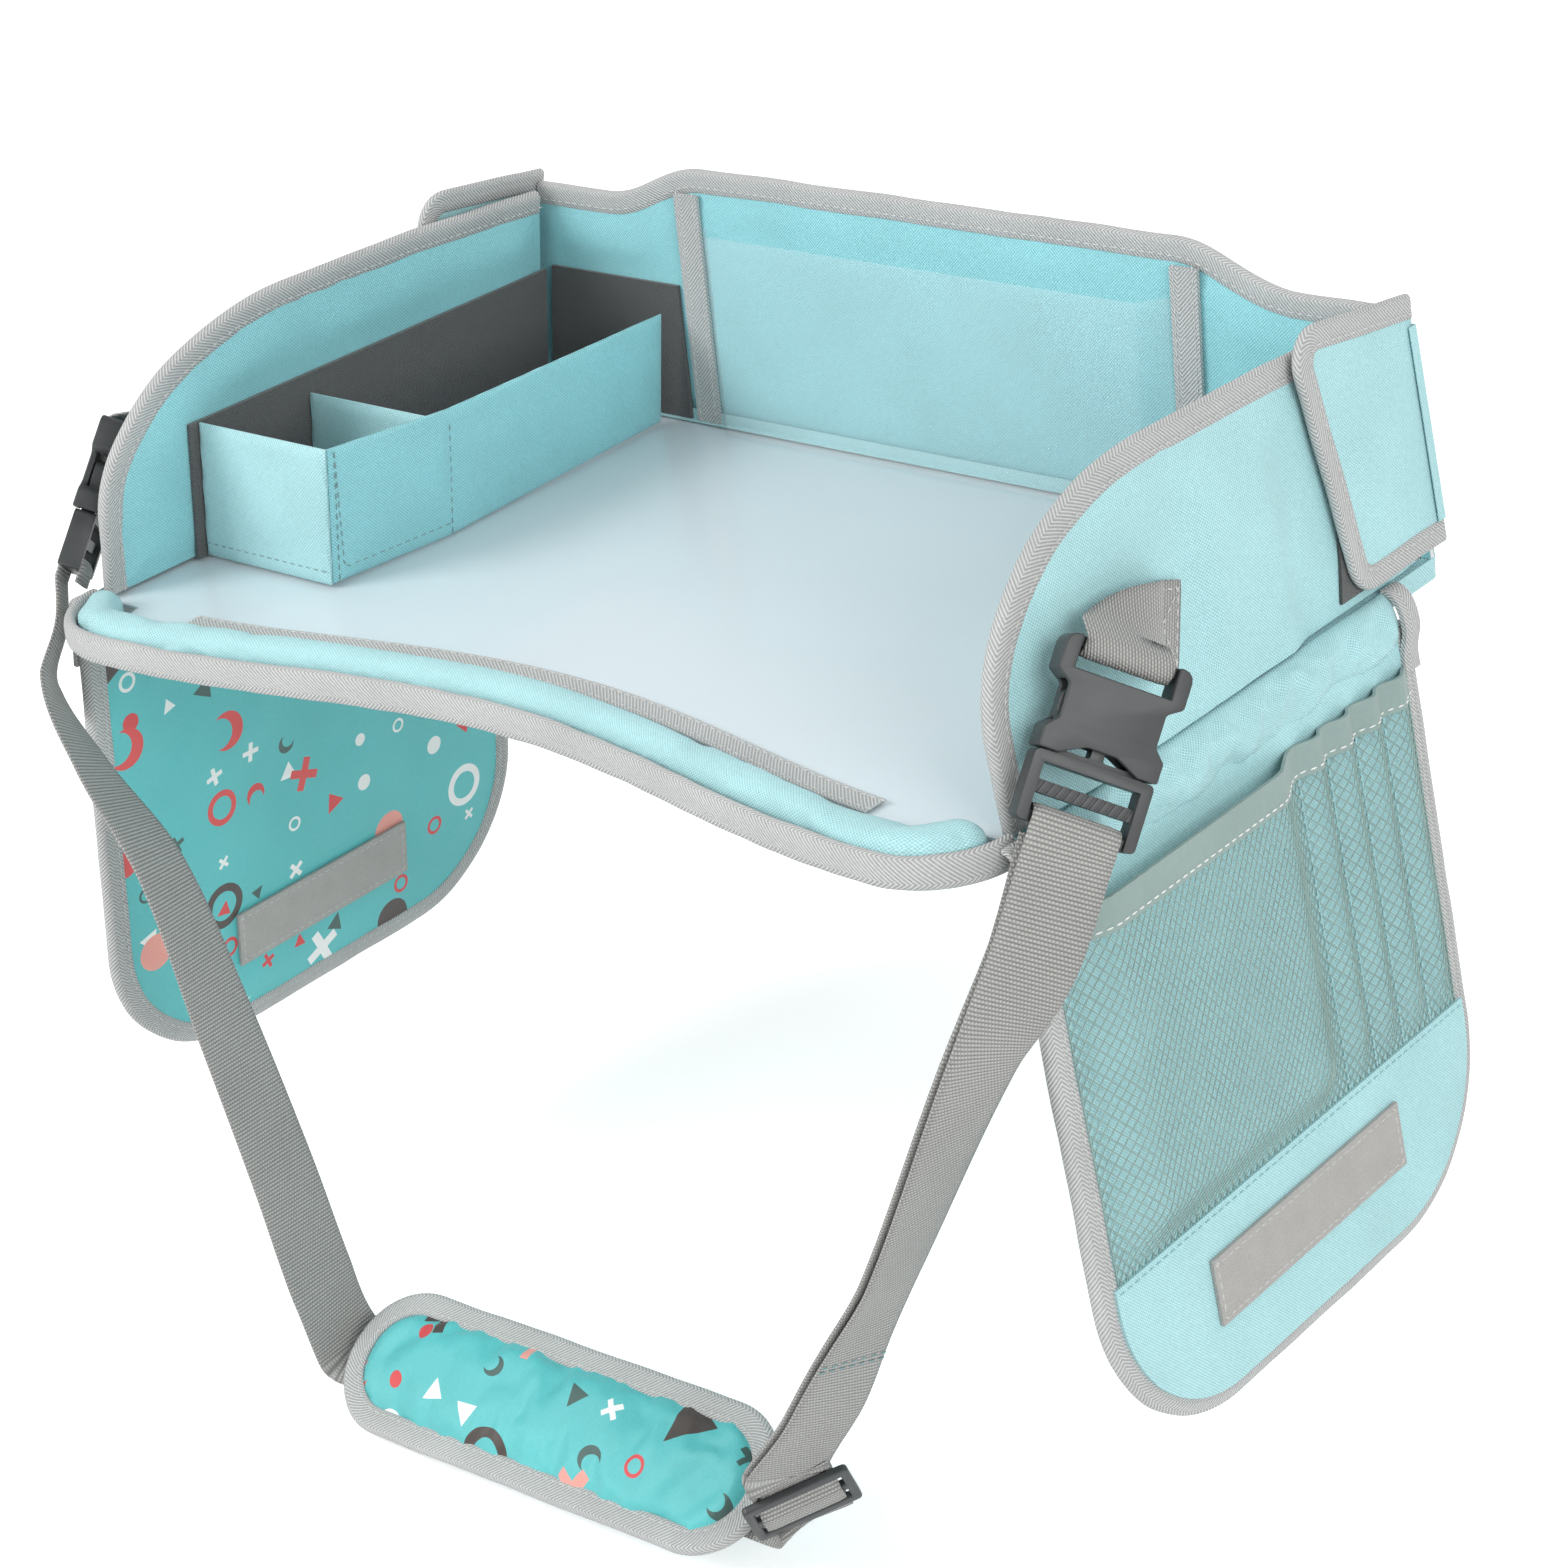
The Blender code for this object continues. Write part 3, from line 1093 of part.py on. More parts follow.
def make_straps():
    left = buckle_frame(-1)
    right = buckle_frame(1)
    pad = pad_frame()
    slider = slider_frame()
    bar = PLUG_BOTTOM + BAR_DEPTH / 2
    reach = math.hypot(BAR_DEPTH, BAR_THICKNESS) / 2 + EYE_CLEARANCE + WEBBING_THICKNESS / 2
    turns = (-90, -60, -30, 0, 30, 60, 90)
    places = [left @ Vector((0, bar - TAIL, -reach))] + bar_wrap(left, bar, turns)
    across = left.to_3x3() @ Vector((1, 0, 0))
    acrosses = [across] * len(places)
    free = [left @ Vector((0, bar - TAIL, reach))] + [in_tray(shares) for shares, _ in LEFT_WAY_SHARES]
    turned = [across] + [Vector(share) for _, share in LEFT_WAY_SHARES]
    pad_across = pad.to_3x3() @ Vector((0, -1, 0))
    depth = -PAD_RIM / 2 - GAP - PAD_CHANNEL / 2
    end = PAD_LENGTH / 2
    free += [pad @ Vector((x, 0, depth)) for x in (-end - TAIL, -end + TAIL)]
    turned += [pad_across] * 2
    way, way_across = smooth_way(free, turned)
    places += way
    acrosses += way_across
    lift = SLIDER_THICKNESS / 2 + EYE_CLEARANCE + WEBBING_THICKNESS / 2
    slider_across = slider.to_3x3() @ Vector((-1, 0, 0))
    near = SLIDER_BAR / 2 + 2 * LAYER_GAP
    far = SLIDER_LENGTH / 2 - SLIDER_RAIL - LAYER_GAP
    out = SLIDER_LENGTH / 2 + LAYER_GAP
    free = [pad @ Vector((x, 0, depth)) for x in (end - PAD_BINDING, end + SLIDER_BEND / 2)]
    free += [slider @ Vector((0, y, -lift)) for y in (-out - SLIDER_BEND, -out, -far)]
    turned = [pad_across] * 2 + [slider_across] * 3
    way, way_across = smooth_way(free, turned)
    places += way
    acrosses += way_across
    for y, z in ((-near, lift), (near, lift), (far, -lift)):
        places.append(slider @ Vector((0, y, z)))
        acrosses.append(slider_across)
    free = [slider @ Vector((0, y, -lift)) for y in (out, out + SLIDER_BEND)]
    free += [in_tray(shares) for shares, _ in RIGHT_WAY_SHARES]
    free.append(right @ Vector((0, bar - TAIL, reach)))
    right_across = right.to_3x3() @ Vector((-1, 0, 0))
    turned = [slider_across] * 2 + [Vector(share) for _, share in RIGHT_WAY_SHARES] + [right_across]
    way, way_across = smooth_way(free, turned)
    places += way
    acrosses += way_across
    tail = bar_wrap(right, bar, turns[::-1])
    places += tail
    acrosses += [right_across] * len(tail)
    ribbon("lap_strap", places, acrosses)
    behind = []
    for index, centre in enumerate(way):
        along = (way[min(index + 1, len(way) - 1)] - way[max(index - 1, 0)]).normalized()
        side = (way_across[index] - along * way_across[index].dot(along)).normalized()
        share = max(0.0, 1 - (len(way) - index) / 6)
        distance = WEBBING_THICKNESS + RETURN_GAP + share * (2 * reach - WEBBING_THICKNESS - RETURN_GAP)
        behind.append(centre - along.cross(side) * distance)
    below = lift + WEBBING_THICKNESS + RETURN_GAP
    under = [slider @ Vector((0, SLIDER_BAR / 2, -lift)), slider @ Vector((0, far, -below))]
    ribbon("lap_strap_return", under + behind, [slider_across] * 2 + way_across)


def make_anchor(name, side):
    """The webbing sewn to the wall, which runs out to the socket and round its bar."""
    frame = buckle_frame(side)
    wall = wall_place(side)
    bar = SOCKET_TOP - BAR_DEPTH / 2
    wrap = bar_wrap(frame, bar, (20, 50, 80, 110, 140, 170, 200, 230, 260, 285))
    lead = wrap[0] + (wrap[0] - wrap[1]).normalized() * ANCHOR_LEAD
    out = side * (HINGE_STANDOFF + WALL_STACK + GAP + WEBBING_THICKNESS / 2)
    seam = wall @ Vector((out, WALL_FRONT + ANCHOR_PLACE, ANCHOR_RISE))
    normal = wall.to_3x3() @ Vector((side, 0, 0))
    run = lead - seam
    along = (run - normal * run.dot(normal)).normalized()
    sewn_across = along.cross(normal)
    across = frame.to_3x3() @ Vector((1, 0, 0))
    if across.dot(sewn_across) < 0:
        across = -across
    middle = seam.lerp(lead, 1 / 3) + normal * ANCHOR_LIFT
    places = [seam - along * ANCHOR_TAIL, seam - along * ANCHOR_TAIL / 2]
    turned = [sewn_across, sewn_across.lerp(across, 1 / 6), across]
    way, way_across = smooth_way([seam, middle, lead], turned)
    places += way + wrap
    acrosses = [sewn_across] * 2 + way_across + [across] * len(wrap)
    ribbon(f"{name}_anchor_webbing", places, acrosses)


def main():
    make_materials()
    make_base()
    make_walls()
    make_back_wall()
    for name, side in SIDES:
        make_flap(name, side)
    make_snack_pocket()
    for name, side in SIDES:
        make_socket(name + "_buckle_socket", side)
        make_plug(name + "_buckle_plug", side)
        make_anchor(name, side)
    make_pad()
    make_slider()
    make_straps()
    release = pivot("strap_release", buckle_frame(1))
    carry(release, ("left_buckle_plug", "right_buckle_plug", "lap_strap", "lap_strap_return"))
    carry(release, ("strap_slider", "pad_front_cover", "pad_sleeve", "pad_binding"))


def make_materials():
    global M_TEAL, M_GREY, M_BOARD, M_WHITE, M_CLEAR, M_HOOK, M_STRIP, M_NET, M_BLACK, M_WEB, M_PRINT
    M_TEAL = principled("teal_oxford", TEAL, 0.75)
    M_PRINT = principled("printed_lining", DEEP_TEAL, 0.55)
    M_GREY = principled("grey_twill", GREY, 0.85)
    M_WEB = principled("grey_webbing", WEB_GREY, 0.8)
    M_STRIP = principled("grey_loop", WEB_GREY, 0.95)
    M_NET = principled("grey_net", GREY, 0.8)
    M_HOOK = principled("black_hook", BLACK, 0.95)
    M_BLACK = principled("black_acetal", BLACK, 0.4)
    M_BOARD = principled("stiffener", WHITE, 0.7)
    M_WHITE = principled("white_board", WHITE, 0.25)
    M_CLEAR = principled("clear_film", WHITE, 0.08, alpha=0.35)


PIVOTS = {}
clear_scene()
PARTS = collection("car_seat_tray_table")
GUIDES = collection("sections")
CUTTERS = collection("cutters")
main()
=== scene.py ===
import json
import math

import bmesh
import bpy
import numpy
from mathutils import Matrix, Vector, kdtree, noise

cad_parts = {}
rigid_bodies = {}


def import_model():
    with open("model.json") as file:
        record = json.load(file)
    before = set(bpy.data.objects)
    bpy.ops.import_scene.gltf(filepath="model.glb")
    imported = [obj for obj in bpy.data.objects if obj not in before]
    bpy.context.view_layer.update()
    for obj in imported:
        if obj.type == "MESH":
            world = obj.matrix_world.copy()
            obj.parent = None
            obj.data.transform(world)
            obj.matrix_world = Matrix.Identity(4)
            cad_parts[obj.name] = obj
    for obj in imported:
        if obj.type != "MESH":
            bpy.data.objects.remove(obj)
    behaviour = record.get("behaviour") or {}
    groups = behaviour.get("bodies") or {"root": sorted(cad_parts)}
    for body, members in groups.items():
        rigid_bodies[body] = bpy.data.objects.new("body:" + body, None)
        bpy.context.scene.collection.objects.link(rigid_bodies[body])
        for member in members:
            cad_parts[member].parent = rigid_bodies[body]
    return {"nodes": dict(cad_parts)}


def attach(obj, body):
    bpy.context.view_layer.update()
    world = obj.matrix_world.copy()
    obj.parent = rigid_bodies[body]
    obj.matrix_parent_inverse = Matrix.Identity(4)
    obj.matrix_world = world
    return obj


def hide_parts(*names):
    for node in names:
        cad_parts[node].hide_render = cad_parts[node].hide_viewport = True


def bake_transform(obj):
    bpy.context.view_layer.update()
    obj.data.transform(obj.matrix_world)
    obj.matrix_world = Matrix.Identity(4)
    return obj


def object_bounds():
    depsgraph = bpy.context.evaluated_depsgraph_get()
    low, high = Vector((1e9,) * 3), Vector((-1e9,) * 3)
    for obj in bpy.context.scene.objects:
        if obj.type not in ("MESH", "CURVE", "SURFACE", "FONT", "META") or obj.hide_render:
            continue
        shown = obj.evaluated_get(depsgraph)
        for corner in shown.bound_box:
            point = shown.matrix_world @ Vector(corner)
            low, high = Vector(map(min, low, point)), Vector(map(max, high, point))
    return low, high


bl_info = {
    "name": "Car Seat Tray Table",
    "version": (1, 0, 0),
    "blender": (4, 5, 0),
    "location": "View3D > Sidebar > Tray",
    "description": "Dresses the packed car seat tray table in cloth, webbing, mesh and moulded plastic",
    "category": "Object",
}

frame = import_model()
CAD_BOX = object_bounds()
SIDES = (("right", 1), ("left", -1))
PADDING_PRESSURE = 4            # of the cloth simulation that swells the padded pieces
PADDING_FRAMES = 20

# The stage
FLOOR_DROP = 0.004              # below the lowest solid
FLOOR_TONE = 0.88
FLOOR_GLOW = 0.36               # seen by the camera and in reflections only
SKY_STRENGTH = 0.66
LAMPS = (                       # name, place, size and power
    ("key", (-1.2, -1.8, 1.4), 1.1, 40),
    ("side", (2.1, -0.9, 1.0), 1.2, 28),
    ("rim", (0.4, 2.2, 1.5), 1.6, 10),
)

# Sizes shared with the solids, in metres
GAP = 0.0003
HALF_WIDTH = 0.210              # of the base, between the side walls
WALL_FRONT = -0.1255
BACK_FACE = 0.1255
BASE_TOP = 0.0081
FOLD_HEIGHT = BASE_TOP + GAP
BOTTOM_COVER = 0.0012
FILM = 0.0004
FRONT_REACH = 0.0095
FRONT_BULGE = 0.026
LOBE_PLACE = 0.185
CORNER_RADIUS = 0.035
CORNER_SETBACK = 0.0025
FRONT_BINDING_WIDTH = 0.005
FRONT_BINDING_HEIGHT = 0.012
ROLL_WIDTH = 0.019
ROLL_HEIGHT = 0.017
ROLL_SHARE = 0.90                # of its room that the roll's cloth fills
SKIRT = 0.0004
FOLD_CLOTH = 0.0004
TAPE_SETBACK = 0.003
TAPE_WIDTH = 0.010
TAPE_HALF = 0.165
WALL_STACK = 0.0080
WALL_HEIGHT = 0.098
WALL_REAR_HEIGHT = 0.092
WALL_NOSE_LENGTH = 0.102
WALL_NOSE_START = 0.030
WALL_LEAN = math.radians(8.5)
WALL_BOARD = 0.0028
WALL_COVER = 0.0020
WALL_REAR_CLEARANCE = 0.0050
HINGE_STANDOFF = 0.0014
BINDING_DEPTH = 0.0095           # of the tape that shows on each face
BINDING_LIP = 0.0008
WALL_EDGE = 0.0058               # the walls are drawn in where they are bound
BACK_EDGE = 0.0048
PINCH = 0.0012
BACK_STACK = 0.0060
BACK_LOW = 0.093
BACK_HIGH = 0.108
BACK_STEP_INNER = 0.114
BACK_STEP_OUTER = 0.166
BACK_BOARD = 0.0020
BACK_COVER = 0.0016
TAPE_PLACE = 0.120
POCKET_TAPE_WIDTH = 0.012
POCKET_TAPE = 0.0018
TABLET_FILM = 0.0010
POCKET_DEPTH = 0.0105
POCKET_TOP = 0.085
POCKET_SLOPE = 0.010
TAB_TOP_REACH = 0.076
TAB_BOTTOM_REACH = 0.058
TAB_TOP = 0.106
TAB_TOP_REAR = 0.096
TAB_BOTTOM = 0.004
TAB_THICKNESS = 0.0040
TAB_BINDING = 0.009
TAB_CORNER = 0.0135
TAB_STANDOFF = 0.0016
FLAP_FRONT = 0.010
FLAP_REAR = 0.025
FLAP_DROP = 0.222
FLAP_CORNER = 0.065
FLAP_FLARE = math.radians(8.0)
FLAP_THICKNESS = 0.0052
FLAP_STANDOFF = 0.0012
SHOULDER_RISE = 0.0095
SHOULDER_WIDTH = 0.0120
SHOULDER_DROP = 0.016
POCKET_STANDOFF = 0.009
BAND_DROP = 0.018
BAND_HEIGHT = 0.012
BAND_THICKNESS = 0.0014
NET_STRAND = 0.0013
NET_BOTTOM = 0.148
PEN_SLOTS = 4
PEN_SLOT_WIDTH = 0.0185
SLOT_BULGE = 0.42                # of the pocket's depth, where the pen slots stand empty
LOWER_BAND = 0.0016
LOWER_BAND_TOP = 0.150
STRIP_LENGTH = 0.120
INNER_STRIP_LENGTH = 0.100
STRIP_HEIGHT = 0.025
STRIP_THICKNESS = 0.0014
STRIP_TOP = 0.166
STRIP_PLACE = -0.019
SNACK_FRONT = 0.048
SNACK_DEPTH = 0.070
SNACK_HEIGHT = 0.057
SNACK_REAR_HEIGHT = 0.049
SNACK_DIVIDER = 0.107
SNACK_PANEL = 0.0030
SNACK_REAR_CLEARANCE = 0.010
SNACK_KINK = 0.0055              # the long panel stands out by the divider
SNACK_FLOOR = 0.0008
BACKING_THICKNESS = 0.0014
BUCKLE_OUT = 0.236
BUCKLE_BACK = 0.022
BUCKLE_RISE = 0.029
BUCKLE_DROP = math.radians(53)
BUCKLE_TURN = math.radians(39.6)
SOCKET_TOP = 0.030
BAR_DEPTH = 0.0036
BAR_THICKNESS = 0.0044
PLUG_BOTTOM = -0.030
EYE_CLEARANCE = 0.00035
WEBBING = 0.030
WEBBING_THICKNESS = 0.0015
LAYER_GAP = 0.0008
RETURN_GAP = 0.0016
ANCHOR_PLACE = 0.090
ANCHOR_RISE = 0.036
ANCHOR_TAIL = 0.010
ANCHOR_LIFT = 0.004
ANCHOR_LEAD = 0.0095
STRAP_FORWARD = 0.030
STRAP_DROP = 0.284
TAIL = 0.006
SLIDER_OUT = 0.0253
SLIDER_UP = 0.017
SLIDER_BEND = 0.006
SLIDER_LENGTH = 0.026
SLIDER_THICKNESS = 0.0030
SLIDER_RAIL = 0.0040
SLIDER_BAR = 0.0042
PAD_LENGTH = 0.215
PAD_WIDTH = 0.060
PAD_RIM = 0.0027
PAD_CROWN = 0.0038
PAD_SHOULDER = 0.018
PAD_LIPS = 0.0050
PAD_CHANNEL = 0.0042
PAD_BINDING = 0.010
PAD_TILT = math.radians(35.8)
PAD_SLOPE = math.radians(2.9)
LEFT_WAY_SHARES = (
    ((-0.995, 0.25, -0.040), (0.64, -0.62, 0.46)),
    ((-0.975, 0.72, -0.105), (0.62, -0.68, 0.38)),
    ((-0.870, 0.95, -0.200), (0.50, -0.82, 0.27)),
    ((-0.730, 1.02, -0.325), (0.30, -0.95, 0.12)),
    ((-0.635, 1.05, -0.542), (0.10, -1.00, 0.00)),
    ((-0.555, 1.06, -0.757), (0.00, -1.00, -0.10)),
    ((-0.505, 1.05, -0.925), (0.00, -0.92, -0.40)),
)
RIGHT_WAY_SHARES = (
    ((0.640, 1.50, -0.765), (-0.45, -0.88, -0.15)),
    ((0.695, 1.28, -0.660), (-0.25, -0.96, -0.05)),
    ((0.764, 1.10, -0.542), (-0.10, -1.00, 0.00)),
    ((0.930, 1.00, -0.240), (-0.30, -0.94, 0.15)),
    ((0.995, 0.62, -0.108), (-0.60, -0.70, 0.36)),
)
SLIDER_ACROSS_SHARES = (0.62, 0.73, 0.28)
SLIDER_ALONG_SHARES = (0.195, -0.488, 0.85)

# The camera, in the photograph's place
EYE = Vector((0.8402, -0.9250, 0.5214))
CAMERA_RIGHT = Vector((0.7709, 0.6297, -0.0954))
CAMERA_UP = Vector((-0.2083, 0.3907, 0.8966))
CAMERA_BACK = Vector((0.6019, -0.6714, 0.4324))
LENS = 83.25

XY = Matrix.Identity(4)
YZ = Matrix(((0, 0, 1, 0), (1, 0, 0, 0), (0, 1, 0, 0), (0, 0, 0, 1)))
XZ = Matrix(((1, 0, 0, 0), (0, 0, -1, 0), (0, 1, 0, 0), (0, 0, 0, 1)))


def length_property(name, description, default):
    return bpy.props.FloatProperty(
        name=name, description=description, default=default, min=0, precision=5, unit="LENGTH",
    )


def colour_property(name, description, default):
    return bpy.props.FloatVectorProperty(
        name=name, description=description, default=default, subtype="COLOR", size=3, min=0, max=1
    )


class TraySizes(bpy.types.PropertyGroup):
    """The sewing and weaving sizes of the tray."""

    cloth_step: length_property("Cloth step", "Width of a cloth face", 0.0035)
    wrinkle: length_property("Wrinkle", "Height of the slack waves in the covers", 0.0011)
    pucker: length_property("Pucker", "Height of the gathers along a seam", 0.0006)
    stitch_pitch: length_property("Stitch pitch", "From one stitch to the next", 0.0041)
    stitch_length: length_property("Stitch length", "Visible length of a stitch", 0.0029)
    thread: length_property("Thread", "Width of the sewing thread", 0.00065)
    weave: length_property("Weave", "Pitch of the oxford weave", 0.00135)
    twill: length_property("Twill", "Pitch of the binding's ribs", 0.0017)
    webbing_rib: length_property("Webbing rib", "Pitch of the ribs across the webbing", 0.00145)
    net_strand: length_property("Net strand", "Width of the net's cords", 0.00050)
    net_columns: bpy.props.IntProperty(
        name="Net columns", description="Meshes along the net", default=58, min=4,
    )
    net_rows: bpy.props.IntProperty(name="Net rows", description="Meshes down the net", default=26, min=4)


class TrayColours(bpy.types.PropertyGroup):
    """The colours of the tray's cloth, plastic and board."""

    teal: colour_property("Oxford", "Outer cloth", (0.420, 0.715, 0.745))
    # painted shade: a darker, more saturated copy of the oxford that stands for the shade on the faces inside
    # the tray
    inner: colour_property("Inner oxford", "Cloth of the faces inside the tray", (0.295, 0.655, 0.705))
    lining: colour_property("Lining", "Ground of the printed lining", (0.095, 0.490, 0.500))
    twill: colour_property("Binding", "Twill binding", (0.520, 0.530, 0.525))
    webbing: colour_property("Webbing", "Straps", (0.400, 0.400, 0.385))
    loop: colour_property("Loop tape", "Soft side of the hook and loop tape", (0.400, 0.390, 0.370))
    net: colour_property("Net", "Mesh of the pockets", (0.230, 0.330, 0.310))
    band: colour_property("Net band", "Band along the net's top", (0.250, 0.340, 0.320))
    black: colour_property("Black", "Moulded plastic and hook tape", (0.022, 0.024, 0.025))
    board: colour_property("Board", "Drawing surface", (0.620, 0.710, 0.750))
    thread: colour_property("Thread", "Sewing thread of the bindings", (0.560, 0.570, 0.560))
    white: colour_property("White thread", "Sewing thread on the net band", (0.850, 0.860, 0.850))


def sizes():
    return bpy.context.scene.tray_sizes


def colours():
    return bpy.context.scene.tray_colours


# Shader building

def node(tree, kind, inputs=None, **settings):
    """A node with its settings, its values and the sockets that feed it."""
    made = tree.nodes.new(kind)
    for key, value in settings.items():
        setattr(made, key, value)
    for key, value in (inputs or {}).items():
        if isinstance(value, bpy.types.NodeSocket):
            tree.links.new(value, made.inputs[key])
        else:
            made.inputs[key].default_value = value
    return made


def maths(tree, operation, *values):
    return node(tree, "ShaderNodeMath", dict(enumerate(values)), operation=operation).outputs[0]


def group_tree(name, inputs, outputs):
    """An empty node group with its named sockets: the tree, its input node and its output node."""
    tree = bpy.data.node_groups.new(name, "ShaderNodeTree")
    for label, kind, default in inputs:
        socket = tree.interface.new_socket(label, in_out="INPUT", socket_type=kind)
        if default is not None:
            socket.default_value = default
    for label in outputs:
        tree.interface.new_socket(label, in_out="OUTPUT", socket_type="NodeSocketFloat")
    return tree, tree.nodes.new("NodeGroupInput"), tree.nodes.new("NodeGroupOutput")


VECTOR, FLOAT = "NodeSocketVector", "NodeSocketFloat"


def scaled_axes(tree, vector, pitch):
    """The vector's X and Y, each divided by a pitch and turned to an angle."""
    parts = node(tree, "ShaderNodeSeparateXYZ", {0: vector})
    found = []
    for axis in (0, 1):
        turns = maths(tree, "DIVIDE", parts.outputs[axis], pitch)
        found.append(maths(tree, "MULTIPLY", turns, 2 * math.pi))
    return found


def waves(tree, angle):
    return maths(tree, "MULTIPLY_ADD", maths(tree, "SINE", angle), 0.5, 0.5)


def oxford_weave():
    """Crossed threads that show as a chequer of small bumps."""
    tree, given, out = group_tree(
        "Oxford Weave", [("Vector", VECTOR, None), ("Pitch", FLOAT, 0.001)], ["Height"],
    )
    along, across = scaled_axes(tree, given.outputs["Vector"], given.outputs["Pitch"])
    product = maths(tree, "MULTIPLY", maths(tree, "COSINE", along), maths(tree, "COSINE", across))
    slub = node(
        tree, "ShaderNodeTexNoise", {"Vector": given.outputs["Vector"], "Scale": 420.0, "Detail": 2.0},
    )
    threads = maths(tree, "MULTIPLY_ADD", product, 0.45, 0.4)
    height = maths(tree, "MULTIPLY_ADD", slub.outputs[0], 0.25, threads)
    tree.links.new(height, out.inputs["Height"])
    return tree


def herringbone_twill():
    """Slanted ribs that turn back across the tape."""
    tree, given, out = group_tree(
        "Herringbone Twill",
        [("Vector", VECTOR, None), ("Pitch", FLOAT, 0.0017), ("Turn", FLOAT, 0.0085)], ["Height"],
    )
    parts = node(tree, "ShaderNodeSeparateXYZ", {0: given.outputs["Vector"]})
    fold = maths(tree, "PINGPONG", parts.outputs[1], given.outputs["Turn"])
    slanted = maths(tree, "ADD", parts.outputs[0], maths(tree, "MULTIPLY", fold, 1.1))
    angle = maths(tree, "MULTIPLY", maths(tree, "DIVIDE", slanted, given.outputs["Pitch"]), 2 * math.pi)
    fibre = node(
        tree, "ShaderNodeTexNoise", {"Vector": given.outputs["Vector"], "Scale": 900.0, "Detail": 2.0},
    )
    ribs = maths(tree, "MULTIPLY", waves(tree, angle), 0.75)
    tree.links.new(maths(tree, "MULTIPLY_ADD", fibre.outputs[0], 0.35, ribs), out.inputs["Height"])
    return tree


def webbing_ribs():
    """Ribs across a strap, broken into rows of knots."""
    tree, given, out = group_tree(
        "Webbing Ribs",
        [("Vector", VECTOR, None), ("Pitch", FLOAT, 0.0016), ("Knot", FLOAT, 0.0011)], ["Height"],
    )
    along, _ = scaled_axes(tree, given.outputs["Vector"], given.outputs["Pitch"])
    _, across = scaled_axes(tree, given.outputs["Vector"], given.outputs["Knot"])
    half = maths(tree, "MULTIPLY", along, 0.5)
    shift = maths(tree, "MULTIPLY", maths(tree, "SIGN", maths(tree, "SINE", half)), math.pi / 2)
    knots = waves(tree, maths(tree, "ADD", across, shift))
    ribs = maths(tree, "POWER", waves(tree, along), 0.6)
    height = maths(tree, "MULTIPLY", ribs, maths(tree, "MULTIPLY_ADD", knots, 0.6, 0.4))
    tree.links.new(height, out.inputs["Height"])
    return tree


def cloth_mottle():
    """Slow changes of tone over a piece of cloth, from handling and dye."""
    tree, given, out = group_tree(
        "Cloth Mottle", [("Vector", VECTOR, None), ("Scale", FLOAT, 30.0)], ["Tone"],
    )
    broad = node(
        tree, "ShaderNodeTexNoise", {"Vector": given.outputs["Vector"], "Scale": given.outputs["Scale"]},
    )
    fine = node(
        tree, "ShaderNodeTexNoise", {"Vector": given.outputs["Vector"], "Scale": 700.0, "Detail": 3.0},
    )
    mixed = maths(tree, "MULTIPLY_ADD", fine.outputs[0], 0.4, maths(tree, "MULTIPLY", broad.outputs[0], 0.6))
    tree.links.new(mixed, out.inputs["Tone"])
    return tree


